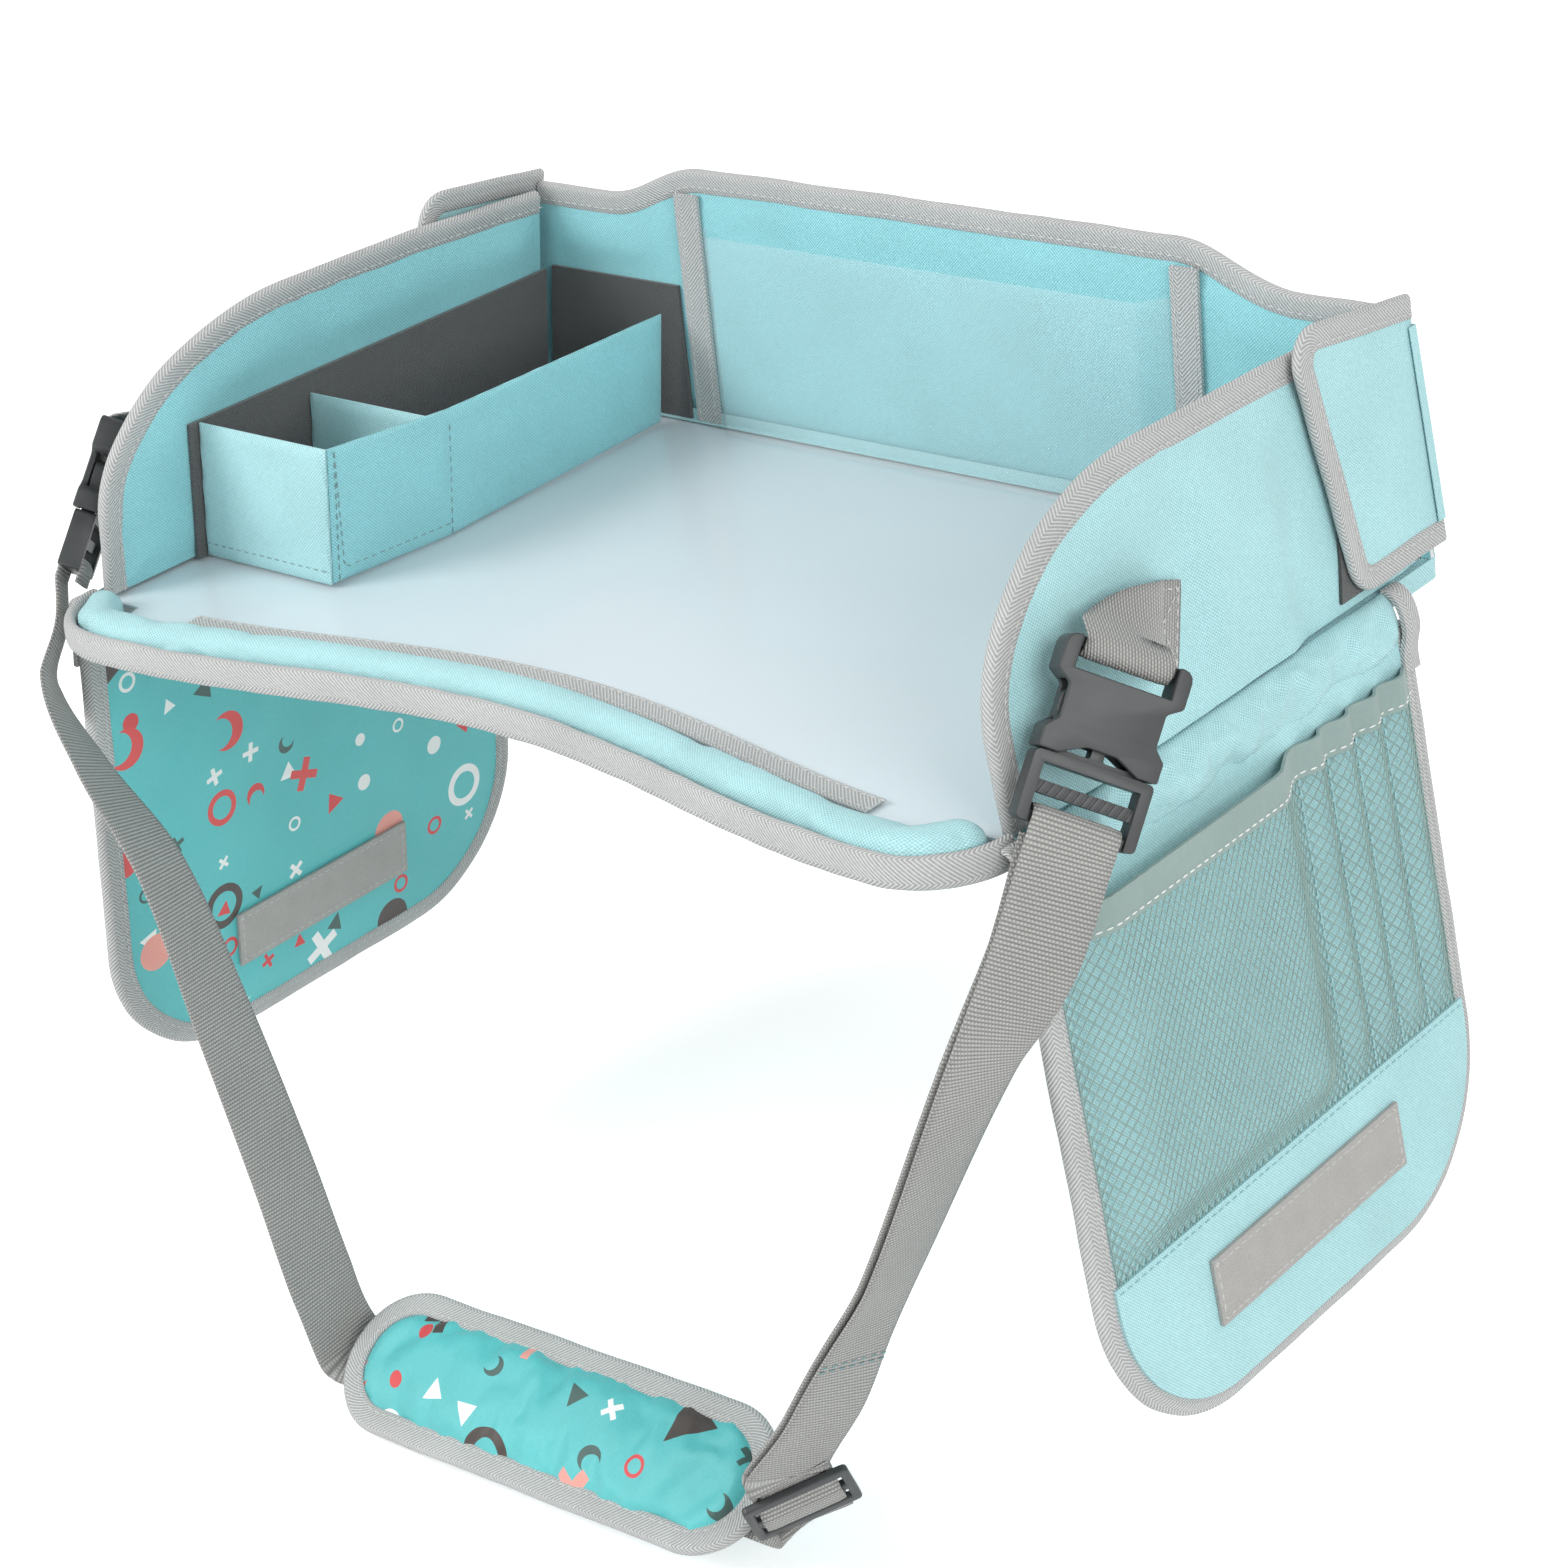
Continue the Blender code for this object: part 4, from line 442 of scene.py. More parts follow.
def scattered_motifs():
    """One small figure to a cell, turned and shifted by chance: dot, ring, triangle, cross or half-moon."""
    tree, given, out = group_tree(
        "Scattered Motifs",
        [("Vector", VECTOR, None), ("Cell", FLOAT, 0.03), ("Seed", FLOAT, 0.0), ("Density", FLOAT, 0.8)],
        ["Mask", "Pick"],
    )
    scale = maths(tree, "DIVIDE", 1.0, given.outputs["Cell"])
    grid = node(tree, "ShaderNodeVectorMath", {0: given.outputs["Vector"], "Scale": scale}, operation="SCALE")
    cell = node(tree, "ShaderNodeVectorMath", {0: grid.outputs[0]}, operation="FLOOR")
    local = node(tree, "ShaderNodeVectorMath", {0: grid.outputs[0]}, operation="FRACTION")
    seed = node(tree, "ShaderNodeCombineXYZ", {2: given.outputs["Seed"]})
    keyed = node(tree, "ShaderNodeVectorMath", {0: cell.outputs[0], 1: seed.outputs[0]}, operation="ADD")
    chance = node(tree, "ShaderNodeTexWhiteNoise", {"Vector": keyed.outputs[0]}, noise_dimensions="3D")
    other = node(tree, "ShaderNodeVectorMath", {0: keyed.outputs[0], 1: (17.3, 5.1, 3.7)}, operation="ADD")
    second = node(tree, "ShaderNodeTexWhiteNoise", {"Vector": other.outputs[0]}, noise_dimensions="3D")
    random = node(tree, "ShaderNodeSeparateColor", {0: chance.outputs["Color"]})
    picks = node(tree, "ShaderNodeSeparateColor", {0: second.outputs["Color"]})
    shift = node(
        tree, "ShaderNodeVectorMath", {0: chance.outputs["Color"], 1: (0.36, 0.36, 0), 2: (0.32, 0.32, 0)},
        operation="MULTIPLY_ADD",
    )
    centred = node(
        tree, "ShaderNodeVectorMath", {0: local.outputs[0], 1: shift.outputs[0]}, operation="SUBTRACT",
    )
    flat = node(tree, "ShaderNodeVectorMath", {0: centred.outputs[0], 1: (1, 1, 0)}, operation="MULTIPLY")
    angle = maths(tree, "MULTIPLY", random.outputs[2], 2 * math.pi)
    turned = node(
        tree, "ShaderNodeVectorRotate", {"Vector": flat.outputs[0], "Angle": angle}, rotation_type="Z_AXIS",
    )
    size = maths(tree, "MULTIPLY_ADD", picks.outputs[2], 0.10, 0.16)
    unit = node(
        tree, "ShaderNodeVectorMath", {0: turned.outputs[0], "Scale": maths(tree, "DIVIDE", 1.0, size)},
        operation="SCALE",
    )
    parts = node(tree, "ShaderNodeSeparateXYZ", {0: unit.outputs[0]})
    x, y = parts.outputs[0], parts.outputs[1]
    reach = node(tree, "ShaderNodeVectorMath", {0: unit.outputs[0]}, operation="LENGTH").outputs["Value"]
    wide, tall = maths(tree, "ABSOLUTE", x), maths(tree, "ABSOLUTE", y)
    dot = maths(tree, "LESS_THAN", reach, 0.8)
    ring = maths(tree, "LESS_THAN", maths(tree, "ABSOLUTE", maths(tree, "SUBTRACT", reach, 0.75)), 0.16)
    slope = maths(tree, "MULTIPLY_ADD", y, 0.5, maths(tree, "MULTIPLY", wide, 0.866))
    triangle = maths(tree, "LESS_THAN", maths(tree, "MAXIMUM", maths(tree, "MULTIPLY", y, -1.0), slope), 0.55)
    upright = maths(tree, "LESS_THAN", maths(tree, "MAXIMUM", maths(tree, "MULTIPLY", wide, 4.0), tall), 0.9)
    level = maths(tree, "LESS_THAN", maths(tree, "MAXIMUM", maths(tree, "MULTIPLY", tall, 4.0), wide), 0.9)
    cross = maths(tree, "MAXIMUM", upright, level)
    bite = node(
        tree, "ShaderNodeVectorMath", {0: unit.outputs[0], 1: (0.45, 0, 0)}, operation="DISTANCE",
    ).outputs["Value"]
    moon = maths(
        tree, "MULTIPLY", maths(tree, "LESS_THAN", reach, 0.95), maths(tree, "GREATER_THAN", bite, 0.75),
    )
    mask = None
    for index, figure in enumerate((dot, ring, triangle, cross, moon)):
        middle = (index + 0.5) / 5
        near = maths(
            tree, "LESS_THAN", maths(tree, "ABSOLUTE", maths(tree, "SUBTRACT", picks.outputs[0], middle)),
            0.1,
        )
        shown = maths(tree, "MULTIPLY", figure, near)
        mask = shown if mask is None else maths(tree, "MAXIMUM", mask, shown)
    kept = maths(tree, "LESS_THAN", chance.outputs["Value"], given.outputs["Density"])
    tree.links.new(maths(tree, "MULTIPLY", mask, kept), out.inputs["Mask"])
    tree.links.new(picks.outputs[1], out.inputs["Pick"])
    return tree


GROUPS = {}


def placed_group(tree, build, inputs):
    """An instance of a shared effect in a material."""
    if build.__name__ not in GROUPS:
        GROUPS[build.__name__] = build()
    made = tree.nodes.new("ShaderNodeGroup")
    made.node_tree = GROUPS[build.__name__]
    for key, value in inputs.items():
        if isinstance(value, bpy.types.NodeSocket):
            tree.links.new(value, made.inputs[key])
        else:
            made.inputs[key].default_value = value
    return made


def shaded(colour, share):
    return (*[min(1.0, channel * share) for channel in colour], 1)


def blank_material(name, roughness, **sockets):
    """A material, its tree and its shader with constant values on the shader's own sockets."""
    made = bpy.data.materials.new(name)
    made.use_nodes = True
    tree = made.node_tree
    shader = tree.nodes["Principled BSDF"]
    shader.inputs["Roughness"].default_value = roughness
    for key, value in sockets.items():
        shader.inputs[key.replace("_", " ")].default_value = value
    return made, tree, shader


def bumped(tree, shader, height, distance, strength=1.0):
    bump = node(tree, "ShaderNodeBump", {"Height": height, "Distance": distance, "Strength": strength})
    tree.links.new(bump.outputs[0], shader.inputs["Normal"])


def toned(tree, colour, height, tone, dark=0.72, light=1.10):
    """The cloth's colour, darker between its threads as painted shade and lighter on their raised tops as
    painted light, with the real tone of the yarn's slubs and fibres in it too, and changed slowly over the
    piece.
    """
    # painted shade where the weave lies low, painted light on its raised threads
    threads = node(
        tree, "ShaderNodeMix", {0: height, 6: shaded(colour, dark), 7: shaded(colour, light)},
        data_type="RGBA",
    )
    spread = node(tree, "ShaderNodeMapRange", {0: tone, 1: 0.3, 2: 0.7, 3: 0.90, 4: 1.06})
    worn = node(
        tree, "ShaderNodeVectorMath", {
            0: threads.outputs[2], "Scale": spread.outputs[0],
        }, operation="SCALE",
    )
    return worn.outputs[0]


def cloth_material(name, colour, build, settings, distance, roughness, dark=0.72, light=1.1, sheen=0.15):
    made, tree, shader = blank_material(name, roughness, Sheen_Weight=sheen, Sheen_Roughness=0.5)
    place = node(tree, "ShaderNodeUVMap", uv_map="UVMap").outputs[0]
    pattern = placed_group(tree, build, {"Vector": place, **settings})
    tone = placed_group(tree, cloth_mottle, {"Vector": place, "Scale": 24.0})
    colour_out = toned(tree, colour, pattern.outputs["Height"], tone.outputs["Tone"], dark, light)
    tree.links.new(colour_out, shader.inputs["Base Color"])
    bumped(tree, shader, pattern.outputs["Height"], distance)
    return made


def oxford():
    return cloth_material(
        "oxford_cloth", colours().teal, oxford_weave, {"Pitch": sizes().weave}, 0.00022, 0.72, 0.62, 1.16,
    )


def inside_shade_oxford():
    # the faces inside the tray in a darker copy of the oxford, as painted shade
    return cloth_material(
        "inside_shade_oxford", colours().inner, oxford_weave, {"Pitch": sizes().weave}, 0.00022, 0.72, 0.62, 1.16,
    )


def twill():
    settings = {"Pitch": sizes().twill, "Turn": 0.0085}
    return cloth_material(
        "twill_binding", colours().twill, herringbone_twill, settings, 0.0004, 0.85, 0.50, 1.22,
    )


def webbing():
    settings = {"Pitch": sizes().webbing_rib, "Knot": 0.0013}
    return cloth_material(
        "ribbed_webbing", colours().webbing, webbing_ribs, settings, 0.00045, 0.72, 0.42, 1.30,
    )


def net_band():
    return cloth_material(
        "net_band", colours().band, oxford_weave, {"Pitch": 0.0006}, 0.00006, 0.6, 0.92, 1.04,
    )


def fuzzy(name, colour, roughness, scale, distance):
    """The brushed face of a hook or loop tape."""
    made, tree, shader = blank_material(name, roughness, Sheen_Weight=0.4, Sheen_Roughness=0.6)
    place = node(tree, "ShaderNodeUVMap", uv_map="UVMap").outputs[0]
    tufts = node(
        tree, "ShaderNodeTexNoise", {"Vector": place, "Scale": scale, "Detail": 4.0, "Roughness": 0.7},
    )
    tone = placed_group(tree, cloth_mottle, {"Vector": place, "Scale": 90.0})
    # painted shade between the tufts and painted light on their tips, over the tape's random tone
    tree.links.new(
        toned(tree, colour, tufts.outputs[0], tone.outputs["Tone"], 0.55, 1.4), shader.inputs["Base Color"],
    )
    bumped(tree, shader, tufts.outputs[0], distance)
    return made


def loop_tape():
    return fuzzy("loop_tape", colours().loop, 0.95, 1500.0, 0.0008)


def hook_tape():
    return fuzzy("hook_tape", colours().black, 0.8, 2200.0, 0.0005)


def net_cord():
    made, tree, shader = blank_material("net_cord", 0.7, Sheen_Weight=0.1)
    place = node(tree, "ShaderNodeTexCoord").outputs["Object"]
    tone = placed_group(tree, cloth_mottle, {"Vector": place, "Scale": 40.0})
    base = node(
        tree, "ShaderNodeMix",
        {0: tone.outputs["Tone"], 6: shaded(colours().net, 0.7), 7: shaded(colours().net, 1.5)},
        data_type="RGBA",
    )
    tree.links.new(base.outputs[2], shader.inputs["Base Color"])
    return made


def lining():
    """Smooth printed cloth: scattered figures in two sizes on a deep teal ground."""
    made, tree, shader = blank_material("printed_lining", 0.42, Sheen_Weight=0.1)
    place = node(tree, "ShaderNodeUVMap", uv_map="UVMap").outputs[0]
    weave = placed_group(tree, oxford_weave, {"Vector": place, "Pitch": 0.0008})
    tone = placed_group(tree, cloth_mottle, {"Vector": place, "Scale": 16.0})
    cloth = toned(tree, colours().lining, weave.outputs["Height"], tone.outputs["Tone"], 0.85, 1.12)
    for cell, seed, density, inks in (
        (
            0.021, 3.0, 0.55,
            ((0.80, 0.82, 0.80), (0.62, 0.055, 0.06), (0.80, 0.82, 0.80), (0.045, 0.10, 0.09)),
        ),
        (
            0.047, 8.0, 0.80,
            ((0.060, 0.045, 0.04), (0.66, 0.07, 0.07), (0.78, 0.33, 0.28), (0.84, 0.85, 0.84)),
        ),
    ):
        motifs = placed_group(
            tree, scattered_motifs, {"Vector": place, "Cell": cell, "Seed": seed, "Density": density},
        )
        ramp = node(tree, "ShaderNodeValToRGB", {0: motifs.outputs["Pick"]})
        ramp.color_ramp.interpolation = "CONSTANT"
        while len(ramp.color_ramp.elements) < len(inks):
            ramp.color_ramp.elements.new(0.5)
        for index, ink in enumerate(inks):
            ramp.color_ramp.elements[index].position = index / len(inks)
            ramp.color_ramp.elements[index].color = (*ink, 1)
        mixed = node(
            tree, "ShaderNodeMix", {0: motifs.outputs["Mask"], 6: cloth, 7: ramp.outputs[0]},
            data_type="RGBA",
        )
        cloth = mixed.outputs[2]
    tree.links.new(cloth, shader.inputs["Base Color"])
    bumped(tree, shader, weave.outputs["Height"], 0.00008)
    return made


def moulded():
    """Black acetal with a fine satin grain and faint rub marks."""
    made, tree, shader = blank_material("moulded_acetal", 0.42, Specular_IOR_Level=0.5)
    place = node(tree, "ShaderNodeTexCoord").outputs["Object"]
    grain = node(tree, "ShaderNodeTexNoise", {"Vector": place, "Scale": 1800.0, "Detail": 3.0})
    rub = node(tree, "ShaderNodeTexNoise", {"Vector": place, "Scale": 90.0, "Detail": 5.0})
    base = node(
        tree, "ShaderNodeMix",
        {0: rub.outputs[0], 6: shaded(colours().black, 0.8), 7: shaded(colours().black, 2.2)},
        data_type="RGBA",
    )
    tree.links.new(base.outputs[2], shader.inputs["Base Color"])
    rough = node(tree, "ShaderNodeMapRange", {0: rub.outputs[0], 3: 0.34, 4: 0.55})
    tree.links.new(rough.outputs[0], shader.inputs["Roughness"])
    bumped(tree, shader, grain.outputs[0], 0.00004, 0.6)
    return made


def board():
    made, tree, shader = blank_material("drawing_board", 0.28, Coat_Weight=0.3, Coat_Roughness=0.1)
    place = node(tree, "ShaderNodeTexCoord").outputs["Object"]
    wiped = node(tree, "ShaderNodeTexNoise", {"Vector": place, "Scale": 9.0, "Detail": 4.0})
    base = node(
        tree, "ShaderNodeMix",
        {0: wiped.outputs[0], 6: shaded(colours().board, 0.97), 7: shaded(colours().board, 1.05)},
        data_type="RGBA",
    )
    tree.links.new(base.outputs[2], shader.inputs["Base Color"])
    return made


def stiffener():
    made, tree, shader = blank_material("stiffener_sheet", 0.6)
    place = node(tree, "ShaderNodeTexCoord").outputs["Object"]
    grain = node(tree, "ShaderNodeTexNoise", {"Vector": place, "Scale": 120.0})
    base = node(
        tree, "ShaderNodeMix", {0: grain.outputs[0], 6: (0.6, 0.62, 0.63, 1), 7: (0.7, 0.72, 0.73, 1)},
        data_type="RGBA",
    )
    tree.links.new(base.outputs[2], shader.inputs["Base Color"])
    return made


def clear_vinyl():
    """Thin clear film with slow ripples in its gloss."""
    made, tree, shader = blank_material("clear_vinyl", 0.10, Alpha=0.08, IOR=1.5)
    shader.inputs["Base Color"].default_value = (0.93, 0.96, 0.98, 1)
    place = node(tree, "ShaderNodeTexCoord").outputs["Object"]
    ripple = node(tree, "ShaderNodeTexNoise", {"Vector": place, "Scale": 11.0, "Detail": 1.0})
    bumped(tree, shader, ripple.outputs[0], 0.002, 0.4)
    return made


def thread(name, colour):
    made, tree, shader = blank_material(name, 0.55, Sheen_Weight=0.2)
    place = node(tree, "ShaderNodeTexCoord").outputs["Object"]
    twist = node(tree, "ShaderNodeTexNoise", {"Vector": place, "Scale": 1600.0})
    base = node(
        tree, "ShaderNodeMix", {0: twist.outputs[0], 6: shaded(colour, 0.75), 7: shaded(colour, 1.15)},
        data_type="RGBA",
    )
    tree.links.new(base.outputs[2], shader.inputs["Base Color"])
    return made


def grey_thread():
    return thread("grey_thread", colours().thread)


def white_thread():
    return thread("white_thread", colours().white)


def seam_thread():
    return thread("seam_thread", [channel * 0.45 for channel in colours().teal])


def teal_thread():
    return thread("teal_thread", [channel * 0.85 for channel in colours().teal])


MATERIALS = {}


def material(build):
    """The material that a function builds, made once."""
    if build.__name__ not in MATERIALS:
        MATERIALS[build.__name__] = build()
    return MATERIALS[build.__name__]


# Mesh helpers

def added(name, work, build, body, replaced=(), smooth=50):
    """A finished piece: it rides on its body, if it has one, and stands for its nodes."""
    mesh = bpy.data.meshes.new(name)
    work.to_mesh(mesh)
    work.free()
    mesh.materials.append(material(build))
    mesh.shade_smooth()
    if smooth < 180:
        mesh.set_sharp_from_angle(angle=math.radians(smooth))
    obj = bpy.data.objects.new(name, mesh)
    bpy.context.scene.collection.objects.link(obj)
    if body:
        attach(obj, body)
    if replaced:
        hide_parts(*replaced)
    return obj


def dressed(name, build):
    """A solid of the frame that keeps its shape and gets a better material."""
    mesh = frame["nodes"][name].data
    mesh.materials.clear()
    mesh.materials.append(material(build))


def uv_layer(work):
    return work.loops.layers.uv.get("UVMap") or work.loops.layers.uv.new("UVMap")


def copied(name):
    """A working copy of a solid, its corners joined and its flat faces whole again."""
    work = bmesh.new()
    work.from_mesh(frame["nodes"][name].data)
    bmesh.ops.remove_doubles(work, verts=work.verts, dist=GAP / 30)
    bmesh.ops.dissolve_limit(work, angle_limit=math.radians(1), verts=work.verts, edges=work.edges)
    return work


def prism(outline, thickness):
    """A flat slab of an outline, its large faces cut into triangles."""
    work = bmesh.new()
    low = [work.verts.new((x, y, -thickness / 2)) for x, y in outline]
    high = [work.verts.new((x, y, thickness / 2)) for x, y in outline]
    bottom = work.faces.new(low[::-1])
    top = work.faces.new(high)
    for index in range(len(low)):
        after = (index + 1) % len(low)
        work.faces.new((low[index], low[after], high[after], high[index]))
    bmesh.ops.recalc_face_normals(work, faces=work.faces)
    bmesh.ops.triangulate(work, faces=[bottom, top])
    return work


def lay_uv(work, turn=0.0):
    """A UV map in metres over the piece's own plane, for its weave."""
    layer = uv_layer(work)
    cosine, sine = math.cos(turn), math.sin(turn)
    for face in work.faces:
        upright = abs(face.normal.z) < 0.5
        for loop in face.loops:
            place = loop.vert.co
            x = place.x + (place.z if upright else 0)
            loop[layer].uv = (x * cosine - place.y * sine, x * sine + place.y * cosine)


def rim_distances(points, outline):
    """How far each point of the plane is from the outline."""
    starts = numpy.array([tuple(point[:2]) for point in outline])
    spans = numpy.roll(starts, -1, axis=0) - starts
    squares = numpy.maximum((spans ** 2).sum(axis=1), 1e-16)
    found = numpy.full(len(points), 1.0)
    for start, span, square in zip(starts, spans, squares):
        away = points - start
        share = numpy.clip((away @ span) / square, 0, 1)
        found = numpy.minimum(found, numpy.linalg.norm(away - share[:, None] * span, axis=1))
    return found


def panelled(outline, thickness, place, lift, step=None, turn=0.0, rim=None):
    """A slab cut into small faces, whose two sides a lift moves outwards, then put in place."""
    work = prism(outline, thickness)
    step = step or sizes().cloth_step
    for axis in (0, 1):
        values = [point[axis] for point in outline]
        low, high = min(values), max(values)
        count = max(1, round((high - low) / step))
        normal = Vector((1, 0, 0)) if axis == 0 else Vector((0, 1, 0))
        for index in range(1, count):
            where = normal * (low + (high - low) * index / count)
            parts = work.verts[:] + work.edges[:] + work.faces[:]
            bmesh.ops.bisect_plane(work, geom=parts, plane_co=where, plane_no=normal, dist=step / 1000)
    bmesh.ops.remove_doubles(work, verts=work.verts, dist=step / 100)
    lay_uv(work, turn)
    vertices = list(work.verts)
    distances = rim_distances(numpy.array([tuple(vertex.co.xy) for vertex in vertices]), rim or outline)
    for vertex, distance in zip(vertices, distances):
        face = 1 if vertex.co.z > 0 else -1
        vertex.co.z += face * lift(vertex.co.x, vertex.co.y, distance, face)
    work.transform(place)
    return work


def slack(x, y, seed=0.0, scale=26.0):
    """Slow waves from 0 to 1, as in cloth that isn't pulled tight."""
    broad = noise.fractal(Vector((x * scale, y * scale, seed)), 1.0, 2.0, 3)
    return min(max(0.5 + 0.6 * broad, 0.0), 1.0)


def gathers(x, y, distance, seed=0.0):
    """Short ridges that run in from a seam and die away."""
    ridges = noise.noise(Vector((x * 110, y * 110, seed + 7)))
    return (0.5 + 0.5 * ridges) * math.exp(-distance / 0.006)


def eased(share):
    share = min(max(share, 0.0), 1.0)
    return share * share * (3 - 2 * share)


def soft_lift(outer=0, puff=0.0, seed=0.0, mask=None, wrinkle=None, pinch=0.0, crown=0.02):
    """How far a cover stands off its board: a crown, slack waves, gathers by seams and edges drawn in."""
    def lift(x, y, distance, face):
        if outer and face != outer:
            return 0.0
        rise = eased(distance / crown)
        edge = min(distance / 0.004, 1.0)
        height = rise * (puff + (wrinkle or sizes().wrinkle) * slack(x, y, seed))
        height += edge * sizes().pucker * gathers(x, y, distance, seed)
        return height * (mask(x, y) if mask else 1.0) - pinch * (1 - eased(distance / 0.012))
    return lift


def offset(path, distance):
    moved = []
    for index, point in enumerate(path):
        before = Vector(path[max(index - 1, 0)])
        after = Vector(path[min(index + 1, len(path) - 1)])
        along = (after - before).normalized()
        moved.append((point[0] - along.y * distance, point[1] + along.x * distance))
    return moved


def rounded(corners, radius, steps=10, closed=True):
    """A polygon whose corners are arcs."""
    line = []
    count = len(corners)
    for index, corner in enumerate(corners):
        here = Vector(corner[:2])
        if not closed and index in (0, count - 1):
            line.append(tuple(here))
            continue
        before = (Vector(corners[index - 1][:2]) - here).normalized()
        after = (Vector(corners[(index + 1) % count][:2]) - here).normalized()
        turn = before.angle(after)
        reach = radius / math.tan(turn / 2)
        centre = here + (before + after).normalized() * radius / math.sin(turn / 2)
        start = here + before * reach - centre
        sweep = start.angle_signed(here + after * reach - centre)
        for step in range(steps + 1):
            line.append(tuple(centre + Matrix.Rotation(-sweep * step / steps, 2) @ start))
    return line


def evenly(path, step):
    """Points at even distances along a path of any dimension."""
    points = [Vector(point) for point in path]
    lengths = [0.0]
    for before, after in zip(points, points[1:]):
        lengths.append(lengths[-1] + (after - before).length)
    count = max(2, round(lengths[-1] / step))
    found, place = [], 0
    for index in range(count + 1):
        want = lengths[-1] * index / count
        while place < len(points) - 2 and lengths[place + 1] < want:
            place += 1
        span = lengths[place + 1] - lengths[place]
        found.append(points[place].lerp(points[place + 1], (want - lengths[place]) / span if span else 0))
    return found


def lofted(rings, cyclic=False, caps=True):
    """A skin through rings, with a UV map in metres: along the rings, then round them."""
    work = bmesh.new()
    layer = uv_layer(work)
    rows = [[work.verts.new(point) for point in ring] for ring in rings]
    middles = [sum(ring, Vector()) / len(ring) for ring in rings]
    along = [0.0]
    for before, after in zip(middles, middles[1:] + middles[:1]):
        along.append(along[-1] + (after - before).length)
    around = [0.0]
    widest = rings[len(rings) // 2]
    for index, point in enumerate(widest):
        around.append(around[-1] + (widest[(index + 1) % len(widest)] - point).length)
    spans = range(len(rows) if cyclic else len(rows) - 1)
    for row in spans:
        near, far = rows[row], rows[(row + 1) % len(rows)]
        for index in range(len(near)):
            after = (index + 1) % len(near)
            face = work.faces.new((near[index], near[after], far[after], far[index]))
            corners = ((row, index), (row, index + 1), (row + 1, index + 1), (row + 1, index))
            for loop, (u, v) in zip(face.loops, corners):
                loop[layer].uv = (along[u], around[v])
    if caps and not cyclic:
        for row in (rows[0][::-1], rows[-1]):
            face = work.faces.new(row)
            for loop in face.loops:
                loop[layer].uv = (loop.vert.co.x, loop.vert.co.z)
    bmesh.ops.recalc_face_normals(work, faces=work.faces)
    return work


def flat_frames(path, place, cyclic=False):
    """Centres, left sides and normals of a path drawn in a plane."""
    turn = place.to_3x3()
    up = turn @ Vector((0, 0, 1))
    found = []
    last = len(path) - 1
    for index, point in enumerate(path):
        before = path[(index - 1) % (last + 1)] if cyclic else path[max(index - 1, 0)]
        after = path[(index + 1) % (last + 1)] if cyclic else path[min(index + 1, last)]
        along = (Vector(after) - Vector(before)).normalized()
        found.append((place @ Vector((*point, 0)), turn @ Vector((-along.y, along.x, 0)), up))
    return found


def binding_section(depth, thickness, inside, steps=7):
    """A folded tape: a round outer edge and two lips that lie on the cloth."""
    radius = thickness / 2
    centre = -depth / 2 + radius
    lip = 0.0006
    line = [
        (depth / 2, radius - lip), (depth / 2 - lip, radius), (0.0, radius * 0.97),
        (centre + radius / 2, radius),
    ]
    for step in range(steps + 1):
        turn = math.pi / 2 + math.pi * step / steps
        line.append((centre + radius * math.cos(turn), radius * math.sin(turn)))
    line += [
        (centre + radius / 2, -radius), (0.0, -radius * 0.97), (depth / 2 - lip, -radius),
        (depth / 2, lip - radius),
    ]
    return [(inside * x, y) for x, y in line]


def bound(
    name, path, place, depth, thickness, inside, body, replaced, cyclic=False, seed=0.0, step=0.0022,
):
    """A twill binding carried along an edge, with the small waves of sewn tape."""
    path = evenly(path, step)
    if cyclic:
        path = path[:-1]
    section = binding_section(depth, thickness, inside)
    rings = []
    for index, (centre, side, up) in enumerate(flat_frames(path, place, cyclic)):
        wave = noise.noise(Vector((index * step * 70, seed, 0.5)))
        swell = 1 + 0.07 * wave
        slide = 0.0004 * noise.noise(Vector((index * step * 45, seed, 3.5)))
        rings.append([centre + side * (x + slide) + up * y * swell for x, y in section])
    return added(name, lofted(rings, cyclic), twill, body, replaced)


STITCHES = {}


def sew(points, body, build=grey_thread):
    """Notes a line of stitches on a body, to be sewn with its other lines."""
    STITCHES.setdefault((body, build), []).append([Vector(point) for point in points])


def sew_flat(path, place, height, body, build=grey_thread):
    sew([place @ Vector((point[0], point[1], height)) for point in path], body, build)


